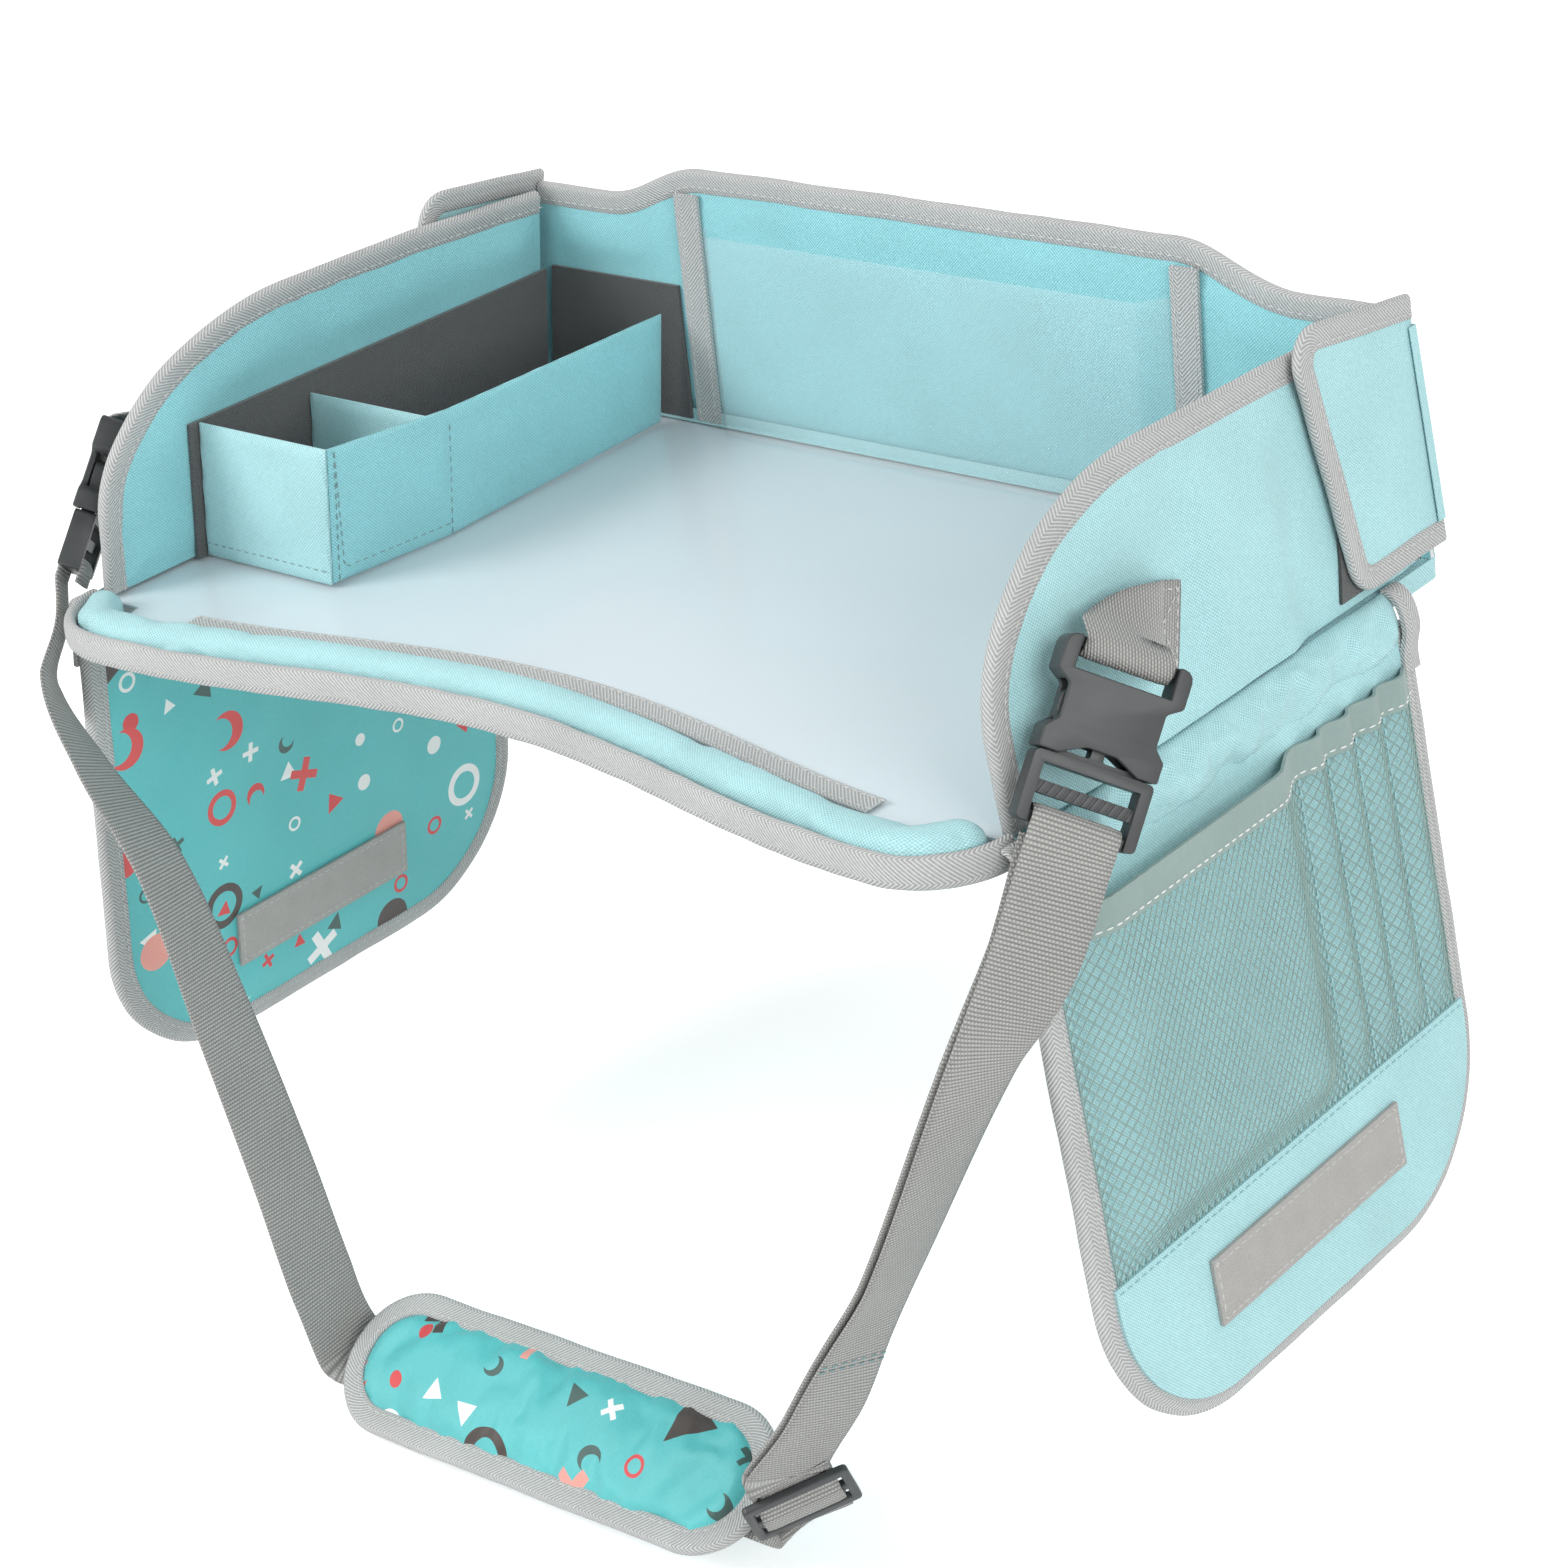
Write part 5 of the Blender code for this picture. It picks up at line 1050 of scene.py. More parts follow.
def stitch_tree():
    """Lays short spindles of thread along the lines of a mesh."""
    tree = bpy.data.node_groups.new("Running Stitch", "GeometryNodeTree")
    face = tree.interface
    face.new_socket("Geometry", in_out="INPUT", socket_type="NodeSocketGeometry")
    for label, value in (("Pitch", 0.004), ("Stitch", 0.003), ("Thread", 0.0006)):
        face.new_socket(label, in_out="INPUT", socket_type="NodeSocketFloat").default_value = value
    face.new_socket("Material", in_out="INPUT", socket_type="NodeSocketMaterial")
    face.new_socket("Geometry", in_out="OUTPUT", socket_type="NodeSocketGeometry")
    given = tree.nodes.new("NodeGroupInput").outputs
    line = node(tree, "GeometryNodeMeshToCurve", {"Mesh": given["Geometry"]})
    even = node(
        tree, "GeometryNodeResampleCurve", {"Curve": line.outputs[0], "Length": given["Pitch"]},
        mode="LENGTH",
    )
    bead = node(tree, "GeometryNodeMeshUVSphere", {"Segments": 6, "Rings": 5, "Radius": 0.5})
    scale = node(tree, "ShaderNodeCombineXYZ", {0: given["Thread"], 1: given["Thread"], 2: given["Stitch"]})
    tangent = tree.nodes.new("GeometryNodeInputTangent")
    turn = node(tree, "FunctionNodeAlignRotationToVector", {"Vector": tangent.outputs[0]}, axis="Z")
    placed = node(tree, "GeometryNodeInstanceOnPoints", {
        "Points": even.outputs[0], "Instance": bead.outputs[0],
        "Rotation": turn.outputs[0], "Scale": scale.outputs[0],
    })
    real = node(tree, "GeometryNodeRealizeInstances", {0: placed.outputs[0]})
    painted = node(tree, "GeometryNodeSetMaterial", {0: real.outputs[0], "Material": given["Material"]})
    out = tree.nodes.new("NodeGroupOutput")
    tree.links.new(painted.outputs[0], out.inputs[0])
    return tree


def generated(name, work, tree, values, body):
    """The mesh that a node tree makes from a small one, as a plain piece."""
    mesh = bpy.data.meshes.new(name)
    work.to_mesh(mesh)
    work.free()
    holder = bpy.data.objects.new(name, mesh)
    bpy.context.scene.collection.objects.link(holder)
    modifier = holder.modifiers.new("Nodes", "NODES")
    modifier.node_group = tree
    for item in tree.interface.items_tree:
        if item.in_out == "INPUT" and item.name in values:
            modifier[item.identifier] = values[item.name]
    bpy.context.view_layer.update()
    graph = bpy.context.evaluated_depsgraph_get()
    made = bpy.data.meshes.new_from_object(holder.evaluated_get(graph))
    holder.modifiers.clear()
    holder.data = made
    made.shade_smooth()
    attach(holder, body)
    return holder


def net_tree():
    """Turns the edges of a mesh into round cords."""
    tree = bpy.data.node_groups.new("Cord Net", "GeometryNodeTree")
    face = tree.interface
    face.new_socket("Geometry", in_out="INPUT", socket_type="NodeSocketGeometry")
    face.new_socket("Cord Radius", in_out="INPUT", socket_type="NodeSocketFloat").default_value = 0.0003
    face.new_socket("Material", in_out="INPUT", socket_type="NodeSocketMaterial")
    face.new_socket("Geometry", in_out="OUTPUT", socket_type="NodeSocketGeometry")
    given = tree.nodes.new("NodeGroupInput").outputs
    line = node(tree, "GeometryNodeMeshToCurve", {"Mesh": given["Geometry"]})
    ring = node(tree, "GeometryNodeCurvePrimitiveCircle", {"Resolution": 5, "Radius": given["Cord Radius"]})
    cords = node(
        tree, "GeometryNodeCurveToMesh",
        {"Curve": line.outputs[0], "Profile Curve": ring.outputs[0], "Fill Caps": True},
    )
    real = node(tree, "GeometryNodeRealizeInstances", {0: cords.outputs[0]})
    painted = node(tree, "GeometryNodeSetMaterial", {0: real.outputs[0], "Material": given["Material"]})
    out = tree.nodes.new("NodeGroupOutput")
    tree.links.new(painted.outputs[0], out.inputs[0])
    return tree


def strip(name, path, width, thickness, place, build, body, replaced=(), step=0.003, columns=6):
    """A flat tape along a path, its width across the path."""
    section = [(width * (column / columns - 0.5), thickness / 2) for column in range(columns + 1)]
    section += [(x, -thickness / 2) for x, _ in section[::-1]]
    rings = []
    for centre, side, up in flat_frames(evenly(path, step), place):
        rings.append([centre + side * x + up * y for x, y in section])
    return added(name, lofted(rings), build, body, replaced)


def reuved(name, place, build, body):
    """A flat solid of the frame with a UV map in its own plane."""
    work = copied(name)
    work.transform(place.inverted())
    lay_uv(work)
    work.transform(place)
    return added(name + "_cloth", work, build, body, [name])


def rounded_copy(name, width, body):
    """A moulded solid of the frame with its edges rounded."""
    work = copied(name)
    mesh = bpy.data.meshes.new(name)
    work.to_mesh(mesh)
    work.free()
    holder = bpy.data.objects.new(name + "_moulding", mesh)
    bpy.context.scene.collection.objects.link(holder)
    bevel = holder.modifiers.new("Bevel", "BEVEL")
    bevel.width = width
    bevel.segments = 3
    bevel.limit_method = "ANGLE"
    bevel.angle_limit = math.radians(38)
    bpy.context.view_layer.update()
    graph = bpy.context.evaluated_depsgraph_get()
    made = bpy.data.meshes.new_from_object(holder.evaluated_get(graph))
    holder.modifiers.clear()
    holder.data = made
    made.materials.clear()
    made.materials.append(material(moulded))
    made.shade_smooth()
    made.set_sharp_from_angle(angle=math.radians(50))
    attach(holder, body)
    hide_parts(name)
    return holder


def plain_object(name, work):
    mesh = bpy.data.meshes.new(name)
    work.to_mesh(mesh)
    work.free()
    obj = bpy.data.objects.new(name, mesh)
    bpy.context.scene.collection.objects.link(obj)
    return obj


def baked(obj):
    """Turns an object's live modifiers into its mesh."""
    bpy.context.view_layer.update()
    graph = bpy.context.evaluated_depsgraph_get()
    mesh = bpy.data.meshes.new_from_object(obj.evaluated_get(graph))
    obj.modifiers.clear()
    obj.data = mesh


def blown_up(work, held, cap, voxel=0.003, slack_share=0.03):
    """Padding pressed out as cloth under pressure: it swells where it isn't held, by no more than the cap."""
    obj = plain_object("padding", work)
    remesh = obj.modifiers.new("Remesh", "REMESH")
    remesh.mode = "VOXEL"
    remesh.voxel_size = voxel
    baked(obj)
    start = [vertex.co.copy() for vertex in obj.data.vertices]
    group = obj.vertex_groups.new(name="held")
    for index, place in enumerate(start):
        group.add([index], held(place), "REPLACE")
    cloth = obj.modifiers.new("Cloth", "CLOTH")
    cloth.settings.quality = 6
    cloth.settings.mass = 0.25
    cloth.settings.tension_stiffness = 12
    cloth.settings.compression_stiffness = 12
    cloth.settings.bending_stiffness = 0.3
    cloth.settings.shrink_min = -slack_share
    cloth.settings.vertex_group_mass = "held"
    cloth.settings.use_pressure = True
    cloth.settings.uniform_pressure_force = PADDING_PRESSURE
    cloth.settings.effector_weights.gravity = 0
    cloth.collision_settings.use_collision = False
    cloth.point_cache.frame_start = 1
    cloth.point_cache.frame_end = PADDING_FRAMES
    scene = bpy.context.scene
    for number in range(1, PADDING_FRAMES + 1):
        scene.frame_set(number)
    baked(obj)
    scene.frame_set(1)
    for vertex, place in zip(obj.data.vertices, start):
        moved = vertex.co - place
        if moved.length > cap:
            vertex.co = place + moved * (cap / moved.length)
    smooth = obj.modifiers.new("Subdivision", "SUBSURF")
    smooth.levels = 1
    smooth.render_levels = 1
    baked(obj)
    swollen = bmesh.new()
    swollen.from_mesh(obj.data)
    bpy.data.objects.remove(obj)
    return swollen


def wrapped_uv(work, spot):
    """A UV map in metres from a function that gives each point its place on the cloth."""
    layer = uv_layer(work)
    places = {vertex.index: spot(vertex.co) for vertex in work.verts}
    for face in work.faces:
        for loop in face.loops:
            loop[layer].uv = places[loop.vert.index]


# Outlines, as the solids have them but with finer steps

def front_edge(inset=0.0, steps=60):
    middle = WALL_FRONT - FRONT_REACH
    lobe = middle - FRONT_BULGE
    wave = math.pi / LOBE_PLACE
    centre = Vector((LOBE_PLACE, lobe + CORNER_RADIUS))
    line = []
    for step in range(steps + 1):
        x = LOBE_PLACE * step / steps
        slope = -FRONT_BULGE / 2 * wave * math.sin(wave * x)
        normal = Vector((-slope, 1)).normalized()
        line.append(
            (x + normal.x * inset, middle - FRONT_BULGE * (1 - math.cos(wave * x)) / 2 + normal.y * inset)
        )
    end = WALL_FRONT - CORNER_SETBACK
    last = math.asin((end - centre.y) / CORNER_RADIUS)
    corner_steps = steps // 4
    radius = CORNER_RADIUS - inset
    for step in range(1, corner_steps + 1):
        turn = -math.pi / 2 + (last + math.pi / 2) * step / corner_steps
        line.append((centre.x + radius * math.cos(turn), centre.y + radius * math.sin(turn)))
    return [(-x, y) for x, y in reversed(line[1:])] + line


def base_outline(inset):
    half = HALF_WIDTH + WALL_STACK
    rear = BACK_FACE + BACK_STACK
    front = front_edge(inset)
    corner = front[-1][0]
    left = [(-half, WALL_FRONT), (-corner, WALL_FRONT)]
    return left + front + [(corner, WALL_FRONT), (half, WALL_FRONT), (half, rear), (-half, rear)]


def wall_edge(inset=0.0, steps=40):
    line = [(WALL_FRONT, 0.0)]
    rise = WALL_HEIGHT - WALL_NOSE_START
    centre = WALL_FRONT + WALL_NOSE_LENGTH
    for step in range(steps + 1):
        turn = math.pi / 2 * step / steps
        line.append((centre - WALL_NOSE_LENGTH * math.cos(turn), WALL_NOSE_START + rise * math.sin(turn)))
    rear = BACK_FACE - WALL_REAR_CLEARANCE
    line.append(((centre + rear) / 2, WALL_HEIGHT - (WALL_HEIGHT - WALL_REAR_HEIGHT) / 4))
    line.append((rear, WALL_REAR_HEIGHT))
    return offset(line, -inset)


def wall_outline(inset):
    edge = wall_edge(inset)
    return [(edge[0][0], GAP)] + edge[1:] + [(edge[-1][0], GAP)]


def wall_place(side):
    turn = Matrix.Rotation(-side * WALL_LEAN, 4, "Y")
    return Matrix.Translation((side * (HALF_WIDTH - HINGE_STANDOFF), 0, FOLD_HEIGHT)) @ turn


def outwards(side, distance):
    return Matrix.Translation((side * distance, 0, 0)) @ YZ


def back_half(height):
    outer = HINGE_STANDOFF + WALL_STACK + TAB_STANDOFF - BINDING_LIP - GAP
    return HALF_WIDTH - HINGE_STANDOFF + outer / math.cos(WALL_LEAN) - height * math.tan(WALL_LEAN)


def back_top(x):
    share = (abs(x) - BACK_STEP_INNER) / (BACK_STEP_OUTER - BACK_STEP_INNER)
    share = min(max(share, 0), 1)
    return BACK_HIGH + (BACK_LOW - BACK_HIGH) * (1 - math.cos(math.pi * share)) / 2


def back_edge(inset=0.0, steps=20):
    reach = back_half(BACK_LOW)
    step = BACK_STEP_OUTER - BACK_STEP_INNER
    places = [reach, BACK_STEP_OUTER]
    places += [BACK_STEP_OUTER - step * part / steps for part in range(1, steps + 1)]
    xs = [-x for x in places] + places[::-1]
    return offset([(x, back_top(x)) for x in xs], -inset)


def back_outline(inset):
    edge = back_edge(inset)
    top = edge[-1][1]
    edge[0] = (-back_half(top), edge[0][1])
    edge[-1] = (back_half(top), top)
    return [(-back_half(0), GAP)] + edge + [(back_half(0), GAP)]


def back_place():
    return Matrix.Translation((0, BACK_FACE + BACK_STACK + GAP, FOLD_HEIGHT))


def facing(depth):
    return back_place() @ Matrix.Translation((0, depth - BACK_STACK - GAP, 0)) @ XZ


def flap_place(side):
    turn = Matrix.Rotation(-side * FLAP_FLARE, 4, "Y")
    return Matrix.Translation((side * (HALF_WIDTH + WALL_STACK + GAP), 0, -GAP)) @ turn


def flap_edge(inset=0.0, top=0.0):
    front = WALL_FRONT - FLAP_FRONT
    rear = BACK_FACE - FLAP_REAR
    corners = [(front, top), (front, -FLAP_DROP), (rear, -FLAP_DROP), (rear, top)]
    return offset(rounded(corners, FLAP_CORNER, 24, closed=False), inset)


def clear_of(*boxes, margin=0.012):
    """A share that is 0 in these boxes of the plane and rises to 1 away from them."""
    def share(x, y):
        found = 1.0
        for x0, y0, x1, y1 in boxes:
            away = math.hypot(max(x0 - x, x - x1, 0), max(y0 - y, y - y1, 0))
            found = min(found, away / margin)
        return found
    return share


# Base

def roll_section(width, height, count=28):
    turns = [2 * math.pi * index / count for index in range(count)]
    return [(width / 2 * math.cos(turn), height / 2 * math.sin(turn)) for turn in turns]


def squared_section(width, height, power, count=24):
    line = []
    for index in range(count):
        turn = 2 * math.pi * index / count
        cosine, sine = math.cos(turn), math.sin(turn)
        x = math.copysign(abs(cosine) ** power, cosine)
        y = math.copysign(abs(sine) ** power, sine)
        line.append((width / 2 * x, height / 2 * y))
    return line


def swept(name, path, section, place, build, body, replaced, step=0.0025, shape=None, finish=None):
    """A section along a plane path. shape gives each point of a ring its scale; finish reworks the mesh."""
    path = evenly(path, step)
    rings = []
    for index, (centre, side, up) in enumerate(flat_frames(path, place)):
        ring = []
        for number, (x, y) in enumerate(section):
            scale = shape(index, len(path) - 1, number / len(section)) if shape else 1.0
            ring.append(centre + side * x * scale + up * y * scale)
        rings.append(ring)
    work = lofted(rings)
    return added(name, finish(work) if finish else work, build, body, replaced, 80)


def make_base():
    """The base: covers, board, film, front roll, front binding and the tape over the film's edge."""
    outline = base_outline(FRONT_BINDING_WIDTH / 2)
    place = Matrix.Translation((0, 0, BOTTOM_COVER / 2))
    work = panelled(outline, BOTTOM_COVER, place, soft_lift(outer=1, wrinkle=0.0001), 0.012)
    cover = added("bottom_cloth", work, oxford, "tray", ["base_bottom_cover"])
    dressed("base_board", stiffener)
    dressed("drawing_board", board)
    inset = FRONT_BINDING_WIDTH + ROLL_WIDTH + 2 * GAP
    outline = base_outline(inset)
    place = Matrix.Translation((0, 0, BASE_TOP - FILM / 2))
    work = panelled(outline, FILM, place, soft_lift(outer=1, wrinkle=0.0003), 0.008)
    film = added("board_vinyl", work, clear_vinyl, "tray", ["board_film"])
    height = FRONT_BINDING_HEIGHT - GAP
    place = Matrix.Translation((0, 0, GAP + height / 2))
    section = squared_section(FRONT_BINDING_WIDTH, height, 0.75)

    def creased(index, last, share):
        return 1 + 0.08 * noise.noise(Vector((index * 0.16, share * 3, 4.0)))
    path = front_edge(FRONT_BINDING_WIDTH / 2)
    swept(
        "front_binding_tape", path, section, place, twill, "tray", ["base_binding"],
        shape=creased,
    )
    half, rear = HALF_WIDTH + WALL_STACK, BACK_FACE + BACK_STACK
    corners = [(half, WALL_FRONT), (half, rear), (-half, rear), (-half, WALL_FRONT)]
    low, high, over = BASE_TOP + GAP / 6, BASE_TOP + GAP * 0.8, 8 * SKIRT
    section = [(-SKIRT, 0), (-GAP / 10, 0), (-GAP / 10, low), (over, low), (over, high), (-SKIRT, high)]
    swept("base_side_cloth", corners, section, XY, oxford, "tray", ())
    roll_inset = FRONT_BINDING_WIDTH + GAP + ROLL_WIDTH * ROLL_SHARE / 2

    def puffed(index, last, share):
        short = max(0.0, 1 - min(index, last - index) * 0.0025 / (ROLL_WIDTH / 2))
        end = max(0.25, math.sqrt(1 - short * short))
        seam = math.exp(-((share - 0.62) / 0.06) ** 2) + math.exp(-((share - 0.94) / 0.06) ** 2)
        dents = noise.noise(Vector((index * 0.045, share * 2.0, 9.0)))
        fine = noise.noise(Vector((index * 0.33, share * 3.0, 2.0)))
        return end * (0.985 + 0.05 * dents + 0.03 * seam * fine)
    rise = Matrix.Translation((0, 0, BOTTOM_COVER + GAP + ROLL_HEIGHT * ROLL_SHARE / 2))
    section = roll_section(ROLL_WIDTH * ROLL_SHARE, ROLL_HEIGHT * ROLL_SHARE)
    line = front_edge(roll_inset)
    middle = BOTTOM_COVER + GAP + ROLL_HEIGHT * ROLL_SHARE / 2
    radius = ROLL_WIDTH * ROLL_SHARE / 2

    def swollen(work):
        ends = [Vector((*line[0], middle)), Vector((*line[-1], middle))]
        low = BOTTOM_COVER + GAP + 0.0015

        def held(place):
            near = min((place - end).length for end in ends)
            return 1.0 if near < 0.008 or place.z < low else 0.0
        work = blown_up(work, held, 0.0010)
        tree = kdtree.KDTree(len(line))
        along = [0.0]
        for index, point in enumerate(line):
            tree.insert((*point, middle), index)
            if index:
                along.append(along[-1] + math.dist(point, line[index - 1]))
        tree.balance()

        def spot(place):
            near, index, _ = tree.find(Vector((place.x, place.y, middle)))
            before, after = line[max(index - 1, 0)], line[min(index + 1, len(line) - 1)]
            run = Vector((after[0] - before[0], after[1] - before[1], 0)).normalized()
            away = place - near
            turn = math.atan2(place.z - middle, -run.y * away.x + run.x * away.y)
            return along[index] + away.dot(run), (turn + math.pi / 2) % (2 * math.pi) * radius
        wrapped_uv(work, spot)
        return work
    roll = swept(
        "padded_front_roll", line, section, rise, oxford, "tray", ["front_bumper_roll"],
        shape=puffed, finish=swollen,
    )
    outer = [
        point for point in front_edge(inset + TAPE_SETBACK + TAPE_WIDTH / 2) if abs(point[0]) < TAPE_HALF
    ]
    place = Matrix.Translation((0, 0, FOLD_HEIGHT + 0.0004))
    strip(
        "film_edge_twill", outer, TAPE_WIDTH, 0.0008, place, twill, "tray", ["film_edge_tape"],
    )
    for away in (-1, 1):
        line = offset(outer, away * (TAPE_WIDTH / 2 - 0.0016))
        sew_flat(line, place, 0.00055, "tray")


# Side walls

def make_walls():
    """The two side walls: boards, puffed covers, bindings and hook patches."""
    for name, side in SIDES:
        fold = wall_place(side)
        spare = (WALL_STACK - 2 * WALL_COVER - WALL_BOARD - 2 * GAP) / 2
        inset = BINDING_DEPTH - 0.003
        near = HINGE_STANDOFF + spare + WALL_COVER / 2
        backing = clear_of((-0.085, -0.02, 0.13, 0.060)) if side < 0 else None
        outline = wall_outline(inset)
        lift = soft_lift(-side, 0.0012, side * 3.1, backing, pinch=PINCH)
        work = panelled(outline, WALL_COVER, fold @ outwards(side, near), lift)
        cover = added(
            f"{name}_wall_inner_cloth", work, inside_shade_oxford, "tray",
            [f"{name}_wall_inner_cover"],
        )
        far = HINGE_STANDOFF + WALL_STACK - spare - WALL_COVER / 2
        covered = clear_of((0.045, -0.02, 0.14, 0.12), (-0.075, 0.02, -0.015, 0.075))
        lift = soft_lift(side, 0.0030, side * 5.7, covered, pinch=PINCH, crown=0.042)
        below = [(x, y if y > 2 * GAP else -WALL_HEIGHT / 2) for x, y in outline]
        work = panelled(outline, WALL_COVER, fold @ outwards(side, far), lift, rim=below)
        cover = added(
            f"{name}_wall_outer_cloth", work, oxford, "tray", [f"{name}_wall_outer_cover"],
        )
        dressed(f"{name}_wall_board", stiffener)
        place = fold @ outwards(side, HINGE_STANDOFF + WALL_STACK / 2)
        edge = wall_edge(BINDING_DEPTH / 2)
        edge[0] = (edge[0][0], GAP)
        bound(
            f"{name}_wall_binding_tape", edge, place, BINDING_DEPTH, WALL_EDGE, -1, "tray",
            [f"{name}_wall_binding"], seed=side,
        )
        line = wall_edge(BINDING_DEPTH - 0.0024)
        line[0] = (line[0][0], 4 * GAP)
        for face in (-1, 1):
            sew_flat(line, place, face * WALL_EDGE / 2, "tray")
        reuved(
            f"{name}_hook_patch", fold @ outwards(side, HINGE_STANDOFF + WALL_STACK), hook_tape,
            "tray",
        )


# Back wall

def make_back_wall():
    """The back wall: board, covers, binding, tapes, tablet film and hook strip."""
    body = "back_wall"
    spare = (BACK_STACK - 2 * BACK_COVER - BACK_BOARD - 2 * GAP) / 2
    inset = BINDING_DEPTH - 0.003
    outline = back_outline(inset)
    half = TAPE_PLACE + POCKET_TAPE_WIDTH
    pocket = clear_of(
        (-half, -0.02, half, 0.105), (-0.22, -0.02, -0.12, 0.062), (0.195, -0.02, 0.23, 0.10), margin=0.008,
    )
    work = panelled(
        outline, BACK_COVER, facing(spare + BACK_COVER / 2), soft_lift(1, 0.0008, 1.3, pocket, pinch=PINCH),
    )
    cover = added("back_front_cloth", work, inside_shade_oxford, body, ["back_wall_front_cover"])
    place = facing(BACK_STACK - spare - BACK_COVER / 2)
    work = panelled(outline, BACK_COVER, place, soft_lift(-1, 0.0016, 2.3, pinch=PINCH, crown=0.035))
    cover = added("back_rear_cloth", work, oxford, body, ["back_wall_rear_cover"])
    dressed("back_wall_board", stiffener)
    place = facing(BACK_STACK / 2)
    bound(
        "back_binding_tape", back_edge(BINDING_DEPTH / 2), place, BINDING_DEPTH, BACK_EDGE, -1, body,
        ["back_wall_binding"], seed=4,
    )
    for face in (-1, 1):
        sew_flat(back_edge(BINDING_DEPTH - 0.0024), place, face * BACK_EDGE / 2, body)
    for name, side in SIDES:
        top = back_top(TAPE_PLACE) - BINDING_DEPTH - GAP
        place = facing(spare - GAP - POCKET_TAPE / 2)
        path = [(side * TAPE_PLACE, GAP), (side * TAPE_PLACE, top)]
        strip(
            f"pocket_twill_{name}", path, POCKET_TAPE_WIDTH, POCKET_TAPE, place, twill, body,
            [f"tablet_tape_{name}"],
        )
        for away in (-1, 1):
            across = side * TAPE_PLACE + away * (POCKET_TAPE_WIDTH / 2 - 0.0018)
            sew_flat([(across, GAP), (across, top)], place, POCKET_TAPE / 2 + 0.0001, body)
    make_tablet_film(spare, body)
    reuved("snack_rear_strip", facing(0), hook_tape, body)


def make_tablet_film(spare, body):
    """The clear pocket: a film that leaves its tapes on a slope and stands forward between them."""
    edge = TAPE_PLACE - POCKET_TAPE_WIDTH / 2 - GAP - TABLET_FILM
    flat = edge - POCKET_SLOPE
    near = spare - GAP - TABLET_FILM / 2
    far = spare - POCKET_DEPTH - TABLET_FILM / 2
    count = 90
    work = bmesh.new()
    rows = []
    levels = 26
    for face in (-1, 1):
        grid = []
        for row in range(levels + 1):
            height = GAP + (POCKET_TOP - GAP) * row / levels
            line = []
            for column in range(count + 1):
                x = -edge + 2 * edge * column / count
                share = min(1.0, (edge - abs(x)) / POCKET_SLOPE)
                share = share * share * (3 - 2 * share)
                wave = 0.0005 * noise.noise(Vector((x * 18, height * 22, 6.0))) * share
                depth = near + (far - near) * share + wave - face * TABLET_FILM / 4
                line.append(work.verts.new((x, height, -depth)))
            grid.append(line)
        rows.append(grid)
    for number, grid in enumerate(rows):
        for low, high in zip(grid, grid[1:]):
            for column in range(count):
                corners = [low[column], low[column + 1], high[column + 1], high[column]]
                work.faces.new(corners if number else corners[::-1])
    back, front = rows
    for grid_a, grid_b in ((back, front),):
        loop_a = grid_a[0] + [line[-1] for line in grid_a[1:]] + grid_a[-1][-2::-1] + [
            line[0] for line in grid_a[-2:0:-1]
        ]
        loop_b = grid_b[0] + [line[-1] for line in grid_b[1:]] + grid_b[-1][-2::-1] + [
            line[0] for line in grid_b[-2:0:-1]
        ]
        for index in range(len(loop_a)):
            after = (index + 1) % len(loop_a)
            work.faces.new((loop_a[index], loop_a[after], loop_b[after], loop_b[index]))
    bmesh.ops.recalc_face_normals(work, faces=work.faces)
    lay_uv(work)
    work.transform(facing(0))
    film = added("pocket_vinyl", work, clear_vinyl, body, ["tablet_film"])


# Corner tabs

def tab_corner(side):
    out = HINGE_STANDOFF + WALL_STACK + TAB_STANDOFF
    return Matrix.Translation((side * out, BACK_FACE + BACK_STACK + GAP, 0))


def make_tabs():
    """The tabs that close the rear corners."""
    for name, side in SIDES:
        body = f"{name}_tab"
        corners = [
            (0, TAB_BOTTOM), (-TAB_BOTTOM_REACH, TAB_BOTTOM), (-TAB_TOP_REACH, TAB_TOP), (0, TAB_TOP_REAR),
        ]
        edge = rounded(corners, TAB_CORNER, 14, closed=False)
        inner = offset(edge, -TAB_BINDING + 0.002)
        inner[0] = (0, inner[0][1])
        inner[-1] = (0, inner[-1][1])
        place = wall_place(side) @ tab_corner(side) @ outwards(side, TAB_THICKNESS / 2)
        core = TAB_THICKNESS - 2 * BINDING_LIP
        work = panelled(inner, core, place, soft_lift(side, 0.0004, side * 8.2, wrinkle=0.0006))
        added(f"{name}_tab_cloth", work, oxford, body, [f"{name}_tab"])
        path = offset(edge, -TAB_BINDING / 2)
        path[0] = (0, path[0][1])
        path[-1] = (0, path[-1][1])
        bound(
            f"{name}_tab_binding_tape", path, place, TAB_BINDING, TAB_THICKNESS, -1, body,
            [f"{name}_tab_binding"], seed=side * 6,
        )
        line = offset(edge, -TAB_BINDING + 0.0022)
        line[0] = (-0.001, line[0][1])
        line[-1] = (-0.001, line[-1][1])
        sew_flat(line, place, side * TAB_THICKNESS / 2, body)


# Cloth across the folds

